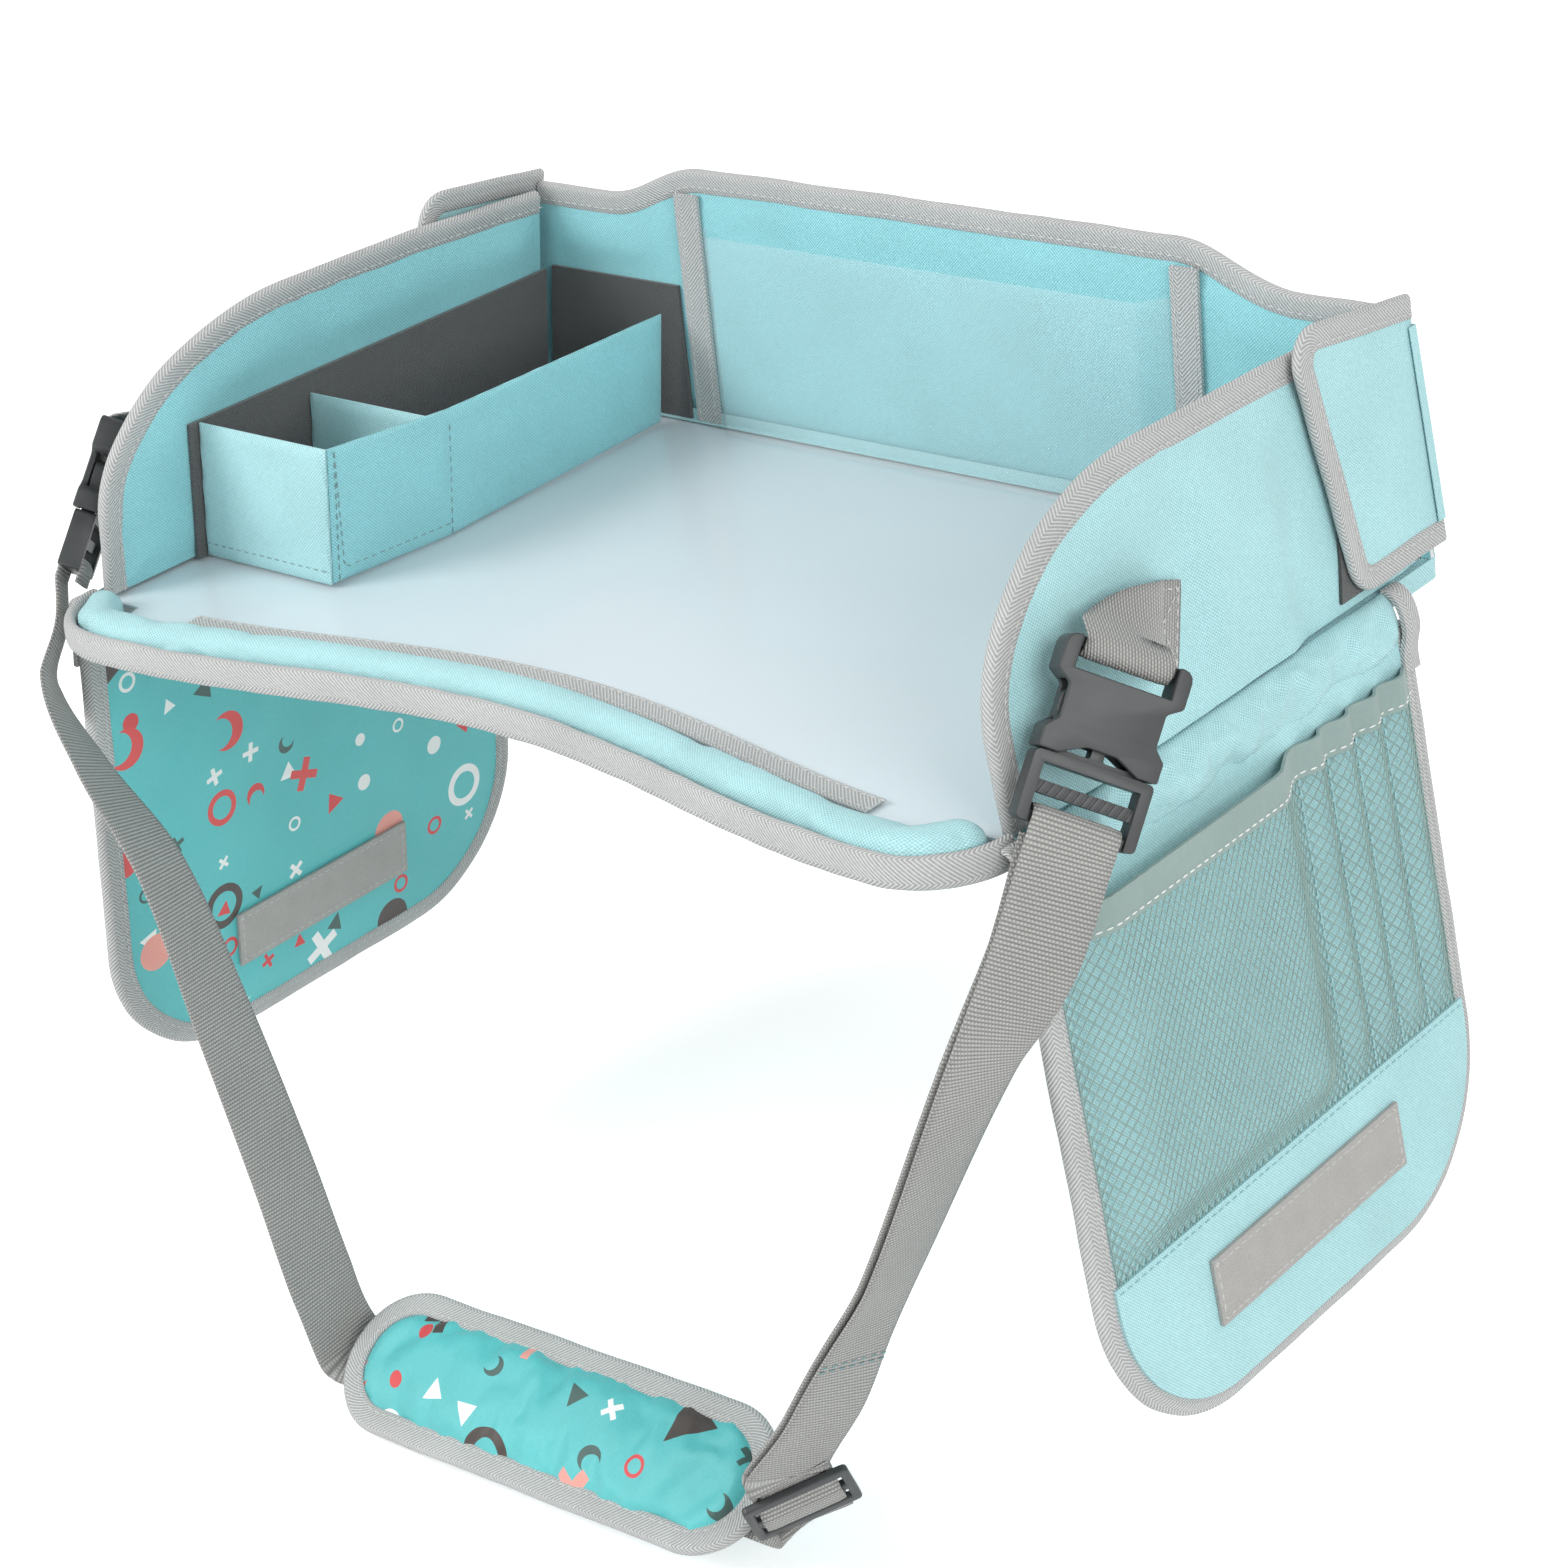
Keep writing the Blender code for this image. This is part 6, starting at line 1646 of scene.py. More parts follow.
def fold_cloth(name, rows):
    """A thin cloth laid across a fold, from the near body to the far one. Rows run across the fold."""
    run = (rows[-1][0] - rows[0][0]).normalized()
    rings = []
    for row in rows:
        front, back = [], []
        for index, point in enumerate(row):
            along = row[min(index + 1, len(row) - 1)] - row[max(index - 1, 0)]
            away = along.cross(run).normalized() * FOLD_CLOTH / 2
            front.append(point + away)
            back.append(point - away)
        rings.append(front + back[::-1])
    cloth = added(name, lofted(rings), oxford, None, (), 60)
    middle = rows[len(rows) // 2]
    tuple(middle[0])
    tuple(middle[-1])
    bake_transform(cloth)


def spread(start, end, count):
    return [start + (end - start) * index / (count - 1) for index in range(count)]


def make_fold_cloths():
    """Cloth across the folds of the back wall, the tabs and the flaps."""
    rows = []
    level = FOLD_HEIGHT + GAP / 3
    for x in spread(-HALF_WIDTH + 0.005, HALF_WIDTH - 0.005, 30):
        corner = Vector((x, BACK_FACE - GAP, level))
        row = [corner - Vector((0, reach, 0)) for reach in (0.003, 0.0015)]
        rows.append(row + [corner + Vector((0, 0, reach)) for reach in (0, 0.0015, 0.003, 0.0045)])
    fold_cloth("back_fold_cloth", rows)
    clear = 0.0004
    for name, side in SIDES:
        rows = []
        place = wall_place(side) @ tab_corner(side)
        out = side * (TAB_THICKNESS + clear)
        for height in spread(TAB_BOTTOM + TAB_BINDING, TAB_TOP_REAR - TAB_BINDING - 0.002, 16):
            first = Vector(
                (side * (back_half(height) - 0.004), BACK_FACE + BACK_STACK + clear, FOLD_HEIGHT + height)
            )
            corner = place @ Vector((out, clear, height))
            last = place @ Vector((out, -0.004, height))
            rows.append(
                [
                    first.lerp(corner, share) for share in (0, 0.25, 0.5, 0.75, 1)
                ] + [corner.lerp(last, 0.5), last]
            )
        fold_cloth(f"{name}_tab_fold_cloth", rows)
        rows = []
        fold = flap_place(side)
        for y in spread(WALL_FRONT + 0.004, BACK_FACE - FLAP_REAR - 0.012, 24):
            first = Vector((side * (HALF_WIDTH + WALL_STACK + 2 * clear), y, 0.006))
            corner = Vector((first.x, y, 0))
            last = fold @ Vector((side * (FLAP_STANDOFF - clear), y, -0.010))
            rows.append(
                [first, first.lerp(corner, 0.5), corner] + [
                    corner.lerp(last, share) for share in (0.33, 0.67, 1)
                ]
            )
        fold_cloth(f"{name}_flap_fold_cloth", rows)


# Side flaps

def pocket_bulge(y, front, rear):
    """How far the net stands off the flap, as a share of its free depth."""
    slots_start = rear - PEN_SLOTS * PEN_SLOT_WIDTH
    if y < slots_start:
        share = (y - front) / (slots_start - front)
        return eased(min(6 * share, 6 * (1 - share)))
    share = (y - slots_start) / PEN_SLOT_WIDTH
    return SLOT_BULGE * math.sin(math.pi * share) ** 2


def make_flaps():
    """Both side flaps."""
    for name, side in SIDES:
        make_flap(name, side)


def make_flap(name, side):
    """One flap: padded panel, printed lining, shoulder, binding, net pocket and tapes."""
    body = f"{name}_flap"
    fold = flap_place(side)
    top = -SHOULDER_DROP / 4
    lining_thickness = 0.0006
    thickness = FLAP_THICKNESS - lining_thickness
    outline = flap_edge(BINDING_DEPTH - 0.003, top)
    depth = FLAP_STANDOFF + lining_thickness + thickness / 2
    hidden = clear_of((-0.2, -NET_BOTTOM, 0.2, -0.02), margin=0.006)

    def swollen(x, y):
        return max(0.15, hidden(x, y))
    work = panelled(
        outline, thickness, fold @ outwards(side, depth), soft_lift(side, 0.0010, side * 2.2, swollen),
    )
    panel = added(f"{name}_flap_cloth", work, oxford, body, [f"{name}_flap_panel"])
    place = fold @ outwards(side, FLAP_STANDOFF + lining_thickness / 2)
    half = INNER_STRIP_LENGTH / 2
    strip_box = (STRIP_PLACE - half, -STRIP_TOP - STRIP_HEIGHT, STRIP_PLACE + half, -STRIP_TOP)
    work = panelled(
        outline, lining_thickness, place, soft_lift(-side, 0.0, side * 4.4, clear_of(strip_box), 0.0012),
    )
    sheet = added(f"{name}_flap_lining", work, lining, body)
    make_shoulder(name, side, fold, body)
    middle = fold @ outwards(side, FLAP_STANDOFF + FLAP_THICKNESS / 2)
    lips = FLAP_THICKNESS + 2 * BINDING_LIP
    bound(
        f"{name}_flap_binding_tape", flap_edge(BINDING_DEPTH / 2, top), middle, BINDING_DEPTH, lips, 1,
        body, [f"{name}_flap_binding"], seed=side * 9,
    )
    for face in (-1, 1):
        sew_flat(flap_edge(BINDING_DEPTH - 0.0024, top), middle, face * lips / 2, body)
    make_net(name, side, fold, body)
    surface = FLAP_STANDOFF + FLAP_THICKNESS + GAP
    low = flap_edge(BINDING_DEPTH - 0.003, -LOWER_BAND_TOP)
    place = fold @ outwards(side, surface + LOWER_BAND / 2)
    outer_box = (
        STRIP_PLACE - STRIP_LENGTH / 2, -STRIP_TOP - STRIP_HEIGHT, STRIP_PLACE + STRIP_LENGTH / 2,
        -STRIP_TOP,
    )
    work = panelled(
        low, LOWER_BAND, place, soft_lift(side, 0.0002, side * 7.1, clear_of(outer_box, margin=0.008)),
    )
    band = added(f"{name}_flap_band_cloth", work, oxford, body, [f"{name}_flap_lower_band"])
    rear = BACK_FACE - FLAP_REAR - BINDING_DEPTH
    front = WALL_FRONT - FLAP_FRONT + BINDING_DEPTH
    seam = -LOWER_BAND_TOP - 0.0022
    sew_flat([(front, seam), (rear, seam)], place, side * (LOWER_BAND / 2 + 0.0004), body, teal_thread)
    outer = surface + LOWER_BAND + GAP + STRIP_THICKNESS / 2
    inner = FLAP_STANDOFF - GAP - STRIP_THICKNESS / 2
    level = -STRIP_TOP - STRIP_HEIGHT / 2
    for kind, length, out, face in (
        ("loop", STRIP_LENGTH, outer, side), ("hook", INNER_STRIP_LENGTH, inner, -side),
    ):
        place = fold @ outwards(side, out)
        half = length / 2
        path = [(STRIP_PLACE - half, level), (STRIP_PLACE + half, level)]
        strip(
            f"{name}_flap_{kind}_tape", path, STRIP_HEIGHT, STRIP_THICKNESS, place, loop_tape, body,
            [f"{name}_flap_{kind}_strip"],
        )
        inset = 0.0022
        x0, x1 = STRIP_PLACE - half + inset, STRIP_PLACE + half - inset
        y0, y1 = -STRIP_TOP - inset, -STRIP_TOP - STRIP_HEIGHT + inset
        ring = [(x0, y0), (x1, y0), (x1, y1), (x0, y1), (x0, y0)]
        sew_flat(ring, place, face * STRIP_THICKNESS / 2, body)


def shoulder_profile(share, fullness, closing=1.0):
    """Where the puffed cloth runs at a share of its way from the wall's crease down to the net's band."""
    inner = FLAP_STANDOFF + GAP
    tucked = FLAP_STANDOFF + FLAP_THICKNESS + GAP / 2
    low = -BAND_DROP - 0.003
    widest = -SHOULDER_DROP / 4
    if share < 0.5:
        turn = math.pi / 2 * (1 - 2 * share)
        height = widest + (SHOULDER_RISE - widest) * math.sin(turn)
        base, bulge = inner, max(math.cos(turn), 0.0) ** 0.85
    else:
        fall = 2 * share - 1
        height = widest + (low - widest) * fall
        base, bulge = inner + (tucked - inner) * eased(fall), 1 - eased(fall)
    return base + (SHOULDER_WIDTH - base) * bulge * closing * fullness, height


def make_shoulder(name, side, fold, body):
    """The puffed cloth over the fold."""
    count = 30
    start = WALL_FRONT - FLAP_FRONT + BINDING_DEPTH - 0.003
    end = BACK_FACE - FLAP_REAR - BINDING_DEPTH + 0.003
    step = 0.0026
    total = round((end - start) / step)
    rings = []
    for index in range(total + 1):
        y = start + (end - start) * index / total
        short = max(0.0, 1 - min(index, total - index) * step / 0.010)
        closing = max(0.60, math.sqrt(1 - short * short))
        ring = []
        for number in range(count):
            share = number / (count - 1)
            height = shoulder_profile(share, 1.0)[1]
            pull = noise.noise(Vector((y * 30 + height * 42, height * 18, side * 2.0)))
            dents = noise.noise(Vector((y * 62 - height * 50, height * 34, side * 7.0)))
            fine = noise.noise(Vector((y * 150 + height * 60, height * 50, side * 5.0)))
            fullness = min(0.90 + 0.22 * pull + 0.16 * dents + 0.035 * fine, 1.12)
            out, height = shoulder_profile(share, fullness, closing)
            ring.append(fold @ Vector((side * out, y, height)))
        rings.append(ring)
    work = lofted(rings)
    home = fold.inverted()
    inner = FLAP_STANDOFF + GAP

    def held(place):
        there = home @ place
        free = inner + 0.003 < side * there.x and -BAND_DROP < there.z < SHOULDER_RISE - 0.0025
        return 0.0 if free and start + 0.006 < there.y < end - 0.006 else 1.0

    def spot(place):
        there = home @ place
        turn = math.atan2(there.z + SHOULDER_DROP / 4, side * there.x - inner)
        return there.y, turn * SHOULDER_WIDTH
    work = blown_up(work, held, 0.0022, slack_share=0.06)
    wrapped_uv(work, spot)
    shoulder = added(f"{name}_flap_shoulder", work, oxford, body, (), 180)
    across = fold.to_3x3() @ Vector((0, BINDING_DEPTH / 2, 0))
    ends = (
        ("front", start + 0.003 - BINDING_DEPTH / 2, 0.70), ("rear", end - 0.003 + BINDING_DEPTH / 2, 0.86),
    )
    for place, y, closing in ends:
        line = []
        for number in range(count):
            out, height = shoulder_profile(number / (count - 1), 0.84, closing)
            line.append(fold @ Vector((side * (out + 0.0008), y, height)))
        rings = []
        for index, centre in enumerate(line):
            along = (line[min(index + 1, count - 1)] - line[max(index - 1, 0)]).normalized()
            thick = along.cross(across).normalized() * 0.0009
            rings.append(
                [
                    centre - across - thick, centre + across - thick, centre + across + thick,
                    centre - across + thick,
                ]
            )
        added(f"{name}_shoulder_tape_{place}", lofted(rings), twill, body, (), 60)


def net_place(side, fold, y, z, front, rear, low, top):
    surface = FLAP_STANDOFF + FLAP_THICKNESS + GAP + NET_STRAND / 2
    smooth = pocket_bulge(y, front, rear) * eased(6 * (z - low) / (top - low))
    sag = 0.0008 * noise.noise(Vector((y * 26, z * 26, side * 3.0))) * smooth
    return fold @ Vector((side * (surface + POCKET_STANDOFF * smooth + sag), y, z))


def make_net(name, side, fold, body):
    """The mesh pocket: a net on a grid that bulges over the pocket and each pen slot."""
    front = WALL_FRONT - FLAP_FRONT + BINDING_DEPTH
    rear = BACK_FACE - FLAP_REAR - BINDING_DEPTH
    top = -BAND_DROP - BAND_HEIGHT + 0.003
    low = -NET_BOTTOM - 0.003
    columns, rows = sizes().net_columns, sizes().net_rows
    work = bmesh.new()
    bmesh.ops.create_grid(work, x_segments=columns, y_segments=rows, size=1)
    old = [edge for edge in work.edges if not edge.is_boundary]
    bmesh.ops.poke(work, faces=work.faces)
    bmesh.ops.dissolve_edges(work, edges=old, use_verts=False)
    for vertex in work.verts:
        y = front + (rear - front) * (vertex.co.x + 1) / 2
        z = low + (top - low) * (vertex.co.y + 1) / 2
        vertex.co = net_place(side, fold, y, z, front, rear, low, top)
    values = {"Cord Radius": sizes().net_strand / 2, "Material": material(net_cord)}
    net = generated(f"{name}_flap_mesh", work, TREES["net"], values, body)
    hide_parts(f"{name}_flap_net")
    make_net_band(name, side, fold, body, front, rear)
    slots_start = rear - PEN_SLOTS * PEN_SLOT_WIDTH
    surface = FLAP_STANDOFF + FLAP_THICKNESS + GAP + NET_STRAND
    for slot in range(PEN_SLOTS):
        y = slots_start + PEN_SLOT_WIDTH * slot
        line = [
            fold @ Vector((side * surface, y, z)) for z in (-BAND_DROP - BAND_HEIGHT - 0.001, -NET_BOTTOM)
        ]
        sew(line, body, teal_thread)


def make_net_band(name, side, fold, body, front, rear):
    """The smooth band along the net's top, gathered over the pen slots."""
    half = BAND_THICKNESS / 2
    surface = FLAP_STANDOFF + FLAP_THICKNESS + GAP + half
    count = 150
    columns = 8
    rings = []
    for index in range(count + 1):
        y = front + (rear - front) * index / count
        ring = []
        for face in (1, -1):
            shares = [column / columns for column in range(columns + 1)]
            for share in (shares if face > 0 else shares[::-1]):
                z = -BAND_DROP - BAND_HEIGHT * share
                bulge = pocket_bulge(y, front, rear)
                gather = 0.0003 * noise.noise(Vector((y * 300, z * 60, side * 4.0)))
                out = surface + POCKET_STANDOFF * bulge + gather + face * half
                ring.append(fold @ Vector((side * out, y, z)))
        rings.append(ring)
    added(f"{name}_flap_net_tape", lofted(rings), net_band, body, [f"{name}_flap_net_band"], 60)
    line = []
    for index in range(count + 1):
        y = front + (rear - front) * index / count
        bulge = pocket_bulge(y, front, rear)
        out = surface + POCKET_STANDOFF * bulge + half + 0.0001
        line.append(fold @ Vector((side * out, y, -BAND_DROP - BAND_HEIGHT + 0.0018)))
    sew(line, body, white_thread)


# Snack pocket

def folded_edges(lift):
    """Rounds a panel's edges where its cloth is folded over."""
    def folded(x, y, distance, face):
        share = min(distance / 0.0026, 1.0)
        return lift(x, y, distance, face) - 0.38 * SNACK_PANEL * (1 - math.sqrt(1 - (1 - share) ** 2))
    return folded


def make_snack_pocket():
    """The leaned panels of the folding pocket, each a padded piece with its seams."""
    wall = wall_place(-1)
    turned = wall.to_3x3().to_4x4()
    lean = math.tan(WALL_LEAN)
    half = SNACK_PANEL / 2
    floor = SNACK_FLOOR
    start = BACKING_THICKNESS + 2 * GAP - HINGE_STANDOFF
    upright = Matrix.Rotation(-WALL_LEAN, 4, "Y")
    inner = SNACK_DEPTH - SNACK_PANEL
    inset = 0.0024
    panels = (
        ("front_panel", WALL_FRONT + SNACK_FRONT, SNACK_HEIGHT, SNACK_DEPTH),
        ("divider", WALL_FRONT + SNACK_DIVIDER, SNACK_REAR_HEIGHT, inner - GAP + SNACK_KINK),
    )
    for name, y, height, far in panels:
        fold = Matrix.Translation((0, y - half, 0)) @ Matrix.Translation(wall.translation) @ turned
        place = fold @ Matrix.Translation((0, half, 0)) @ upright @ XZ
        corners = [(start, floor), (far, floor), (far, height), (start, height)]
        outline = [(x + z * lean, z) for x, z in corners]
        lift = soft_lift(0, 0.0004, y * 90, wrinkle=0.0007, pinch=0.0)
        work = panelled(outline, SNACK_PANEL, place, folded_edges(lift), 0.0024)
        body = f"snack_{name}"
        obj = added(f"snack_{name}_cloth", work, oxford, body, [f"snack_{name}"], 30)
        seam = [(far - inset, height - inset), (far - inset, floor + inset)]
        if name == "front_panel":
            seam = [(far - inset, floor + 2.5 * inset), (start + inset, floor + 2.5 * inset)]
        sew_flat([(x + z * lean, z) for x, z in seam], place, half + 0.0003, body, seam_thread)
    corner = Vector((wall.translation.x + inner, WALL_FRONT + SNACK_FRONT + half, FOLD_HEIGHT))
    length = BACK_FACE - SNACK_REAR_CLEARANCE - corner.y
    outline = [(GAP, floor), (length, floor), (length, SNACK_REAR_HEIGHT), (GAP, SNACK_HEIGHT)]
    place = Matrix.Translation(corner) @ turned @ Matrix.Translation((half, 0, 0)) @ YZ
    divide = SNACK_DIVIDER - SNACK_FRONT

    def pinched(x, y):
        return 1 - 0.95 * math.exp(-((x - divide) / 0.0035) ** 2)
    lift = soft_lift(1, 0.0012, 6.6, pinched, 0.0012)
    work = panelled(outline, SNACK_PANEL, place, folded_edges(lift), 0.0024)
    inward = place.inverted()
    for vertex in work.verts:
        there = inward @ vertex.co
        away = abs(there.x - divide) / (divide if there.x < divide else length - divide)
        there.z += SNACK_KINK * (1 - min(away, 1.0))
        vertex.co = place @ there
    obj = added(
        "snack_long_cloth", work, inside_shade_oxford, "snack_long_panel", ["snack_long_panel"], 30,
    )
    low = floor + 2.5 * inset
    front = [(divide - inset, low), (2 * inset, low), (inset, SNACK_HEIGHT - inset)]
    kinked = [place @ Vector((x, y, half + 0.0004 + SNACK_KINK * x / divide)) for x, y in front]
    sew(kinked, "snack_long_panel", seam_thread)
    corner_seam = [(inset, floor + inset), (inset, SNACK_HEIGHT - inset)]
    sew_flat(corner_seam, place, half + 0.0004, "snack_long_panel", seam_thread)
    seam = [(divide, floor + inset), (divide, SNACK_HEIGHT - 4 * inset)]
    sew_flat(seam, place, half + 0.0002 + SNACK_KINK, "snack_long_panel", seam_thread)
    reuved("snack_wall_backing", wall @ outwards(-1, 0), hook_tape, "tray")


# Buckles and straps

def buckle_frame(side):
    along = Vector((0, math.cos(BUCKLE_DROP), math.sin(BUCKLE_DROP)))
    across = Vector((0, math.sin(BUCKLE_DROP), -math.cos(BUCKLE_DROP)))
    out = Vector((side, 0, 0)) * math.cos(BUCKLE_TURN) - across * math.sin(BUCKLE_TURN)
    width = along.cross(out)
    made = Matrix((width, along, out)).transposed().to_4x4()
    made.translation = Vector((side * BUCKLE_OUT, WALL_FRONT + BUCKLE_BACK, BASE_TOP + BUCKLE_RISE))
    return made


def make_buckles():
    """Softens the edges of the buckles' sockets and plugs."""
    for name, _ in SIDES:
        rounded_copy(f"{name}_buckle_socket", 0.0007, "tray")
        rounded_copy(f"{name}_buckle_plug", 0.0005, "strap")


def bar_wrap(placed, bar, turns):
    reach = math.hypot(BAR_DEPTH, BAR_THICKNESS) / 2 + EYE_CLEARANCE + WEBBING_THICKNESS / 2
    places = []
    for turn in turns:
        angle = math.radians(turn)
        places.append(placed @ Vector((0, bar + reach * math.cos(angle), reach * math.sin(angle))))
    return places


def ribbon_rings(centres, widths, narrowing=None, columns=10):
    """Sections of a strap: a slightly domed rectangle across the way it runs."""
    rings = []
    last = len(centres) - 1
    for index, centre in enumerate(centres):
        along = (centres[min(index + 1, last)] - centres[max(index - 1, 0)]).normalized()
        across = (widths[index] - along * widths[index].dot(along)).normalized()
        wide = WEBBING * (narrowing(index, last) if narrowing else 1.0)
        thick = along.cross(across) * WEBBING_THICKNESS / 2
        shares = [column / columns - 0.5 for column in range(columns + 1)]
        ring = []
        for face in (-1, 1):
            for share in shares[::-face]:
                edge = 0.62 + 0.38 * min(1.0, (0.5 - abs(share)) * 12)
                ring.append(centre + across * wide * share + thick * face * edge)
        rings.append(ring)
    return rings


def smooth_way(places, acrosses, steps=14):
    spans = [(after - before).length for before, after in zip(places, places[1:])]
    smooth = []
    for values in (places, acrosses):
        slopes = []
        for index in range(len(values)):
            low = max(index - 1, 0)
            high = min(index + 1, len(values) - 1)
            slopes.append((values[high] - values[low]) / sum(spans[low:high]))
        line = []
        for index, span in enumerate(spans):
            start, end = values[index], values[index + 1]
            leave, arrive = slopes[index] * span, slopes[index + 1] * span
            for step in range(steps):
                t = step / steps
                line.append(
                    start * (2 * t ** 3 - 3 * t ** 2 + 1) + leave * (t ** 3 - 2 * t ** 2 + t)
                    + end * (3 * t ** 2 - 2 * t ** 3) + arrive * (t ** 3 - t ** 2)
                )
        smooth.append(line + [values[-1]])
    return smooth


def in_tray(shares):
    out, ahead, drop = shares
    return Vector((out * BUCKLE_OUT, WALL_FRONT - ahead * STRAP_FORWARD, BASE_TOP + drop * STRAP_DROP))


def pad_frame():
    tilt = Matrix.Rotation(PAD_TILT, 4, "X")
    slope = Matrix.Rotation(-PAD_SLOPE, 4, "Y")
    return Matrix.Translation((0, WALL_FRONT - STRAP_FORWARD, BASE_TOP - STRAP_DROP)) @ slope @ tilt


def slider_frame():
    along = Vector(SLIDER_ALONG_SHARES)
    across = Vector(SLIDER_ACROSS_SHARES).normalized()
    along = (along - across * along.dot(across)).normalized()
    made = Matrix((across, along, across.cross(along))).transposed().to_4x4()
    made.translation = pad_frame() @ Vector((PAD_LENGTH / 2 + SLIDER_OUT, 0, SLIDER_UP))
    return made


def make_straps():
    """The lap strap through its buckles, pad and tri-glide, its return and the anchors."""
    left, right, pad, slider = buckle_frame(-1), buckle_frame(1), pad_frame(), slider_frame()
    bar = PLUG_BOTTOM + BAR_DEPTH / 2
    reach = math.hypot(BAR_DEPTH, BAR_THICKNESS) / 2 + EYE_CLEARANCE + WEBBING_THICKNESS / 2
    turns = tuple(range(-90, 91, 15))
    places = [left @ Vector((0, bar - TAIL, -reach))] + bar_wrap(left, bar, turns)
    across = left.to_3x3() @ Vector((1, 0, 0))
    acrosses = [across] * len(places)
    free = [left @ Vector((0, bar - TAIL, reach))] + [in_tray(shares) for shares, _ in LEFT_WAY_SHARES]
    turned = [across] + [Vector(share) for _, share in LEFT_WAY_SHARES]
    pad_across = pad.to_3x3() @ Vector((0, -1, 0))
    depth = -PAD_RIM / 2 - GAP - PAD_CHANNEL / 2
    end = PAD_LENGTH / 2
    free += [pad @ Vector((x, 0, depth)) for x in (-end - TAIL, -end + TAIL)]
    turned += [pad_across] * 2
    way, way_across = smooth_way(free, turned)
    places += way
    acrosses += way_across
    lift = SLIDER_THICKNESS / 2 + EYE_CLEARANCE + WEBBING_THICKNESS / 2
    slider_across = slider.to_3x3() @ Vector((-1, 0, 0))
    near = SLIDER_BAR / 2 + 2 * LAYER_GAP
    far = SLIDER_LENGTH / 2 - SLIDER_RAIL - LAYER_GAP
    out = SLIDER_LENGTH / 2 + LAYER_GAP
    free = [pad @ Vector((x, 0, depth)) for x in (end - PAD_BINDING, end + SLIDER_BEND / 2)]
    free += [slider @ Vector((0, y, -lift)) for y in (-out - SLIDER_BEND, -out, -far)]
    turned = [pad_across] * 2 + [slider_across] * 3
    way, way_across = smooth_way(free, turned)
    places += way
    acrosses += way_across
    for y, z in ((-near, lift), (near, lift), (far, -lift)):
        places.append(slider @ Vector((0, y, z)))
        acrosses.append(slider_across)
    free = [slider @ Vector((0, y, -lift)) for y in (out, out + SLIDER_BEND)]
    free += [in_tray(shares) for shares, _ in RIGHT_WAY_SHARES]
    free.append(right @ Vector((0, bar - TAIL, reach)))
    right_across = right.to_3x3() @ Vector((-1, 0, 0))
    turned = [slider_across] * 2 + [Vector(share) for _, share in RIGHT_WAY_SHARES] + [right_across]
    way, way_across = smooth_way(free, turned)
    places += way
    acrosses += way_across
    tail = bar_wrap(right, bar, turns[::-1])
    places += tail
    acrosses += [right_across] * len(tail)
    added(
        "lap_strap_webbing", lofted(ribbon_rings(places, acrosses)), webbing, "strap",
        ["lap_strap"], 180,
    )
    for index in (len(way) * 40 // 100, len(way) * 40 // 100 + 1):
        along = (way[index + 1] - way[index - 1]).normalized()
        side = (way_across[index] - along * way_across[index].dot(along)).normalized()
        front = way[index] + along.cross(side) * (WEBBING_THICKNESS / 2 + 0.0002)
        reach_across = side * (WEBBING / 2 - 0.0015)
        sew([front - reach_across, front + reach_across], "strap", seam_thread)
    behind = []
    steps = 14
    for index, centre in enumerate(way):
        along = (way[min(index + 1, len(way) - 1)] - way[max(index - 1, 0)]).normalized()
        side = (way_across[index] - along * way_across[index].dot(along)).normalized()
        share = max(0.0, 1 - (len(way) - index) / steps)
        distance = WEBBING_THICKNESS + RETURN_GAP + share * (2 * reach - WEBBING_THICKNESS - RETURN_GAP)
        behind.append(centre - along.cross(side) * distance)
    below = lift + WEBBING_THICKNESS + RETURN_GAP
    under = [slider @ Vector((0, SLIDER_BAR / 2, -lift)), slider @ Vector((0, far, -below))]
    rings = ribbon_rings(under + behind, [slider_across] * 2 + way_across)
    added("return_strap_webbing", lofted(rings), webbing, "strap", ["lap_strap_return"], 180)
    for name, sign in SIDES:
        make_anchor(name, sign)


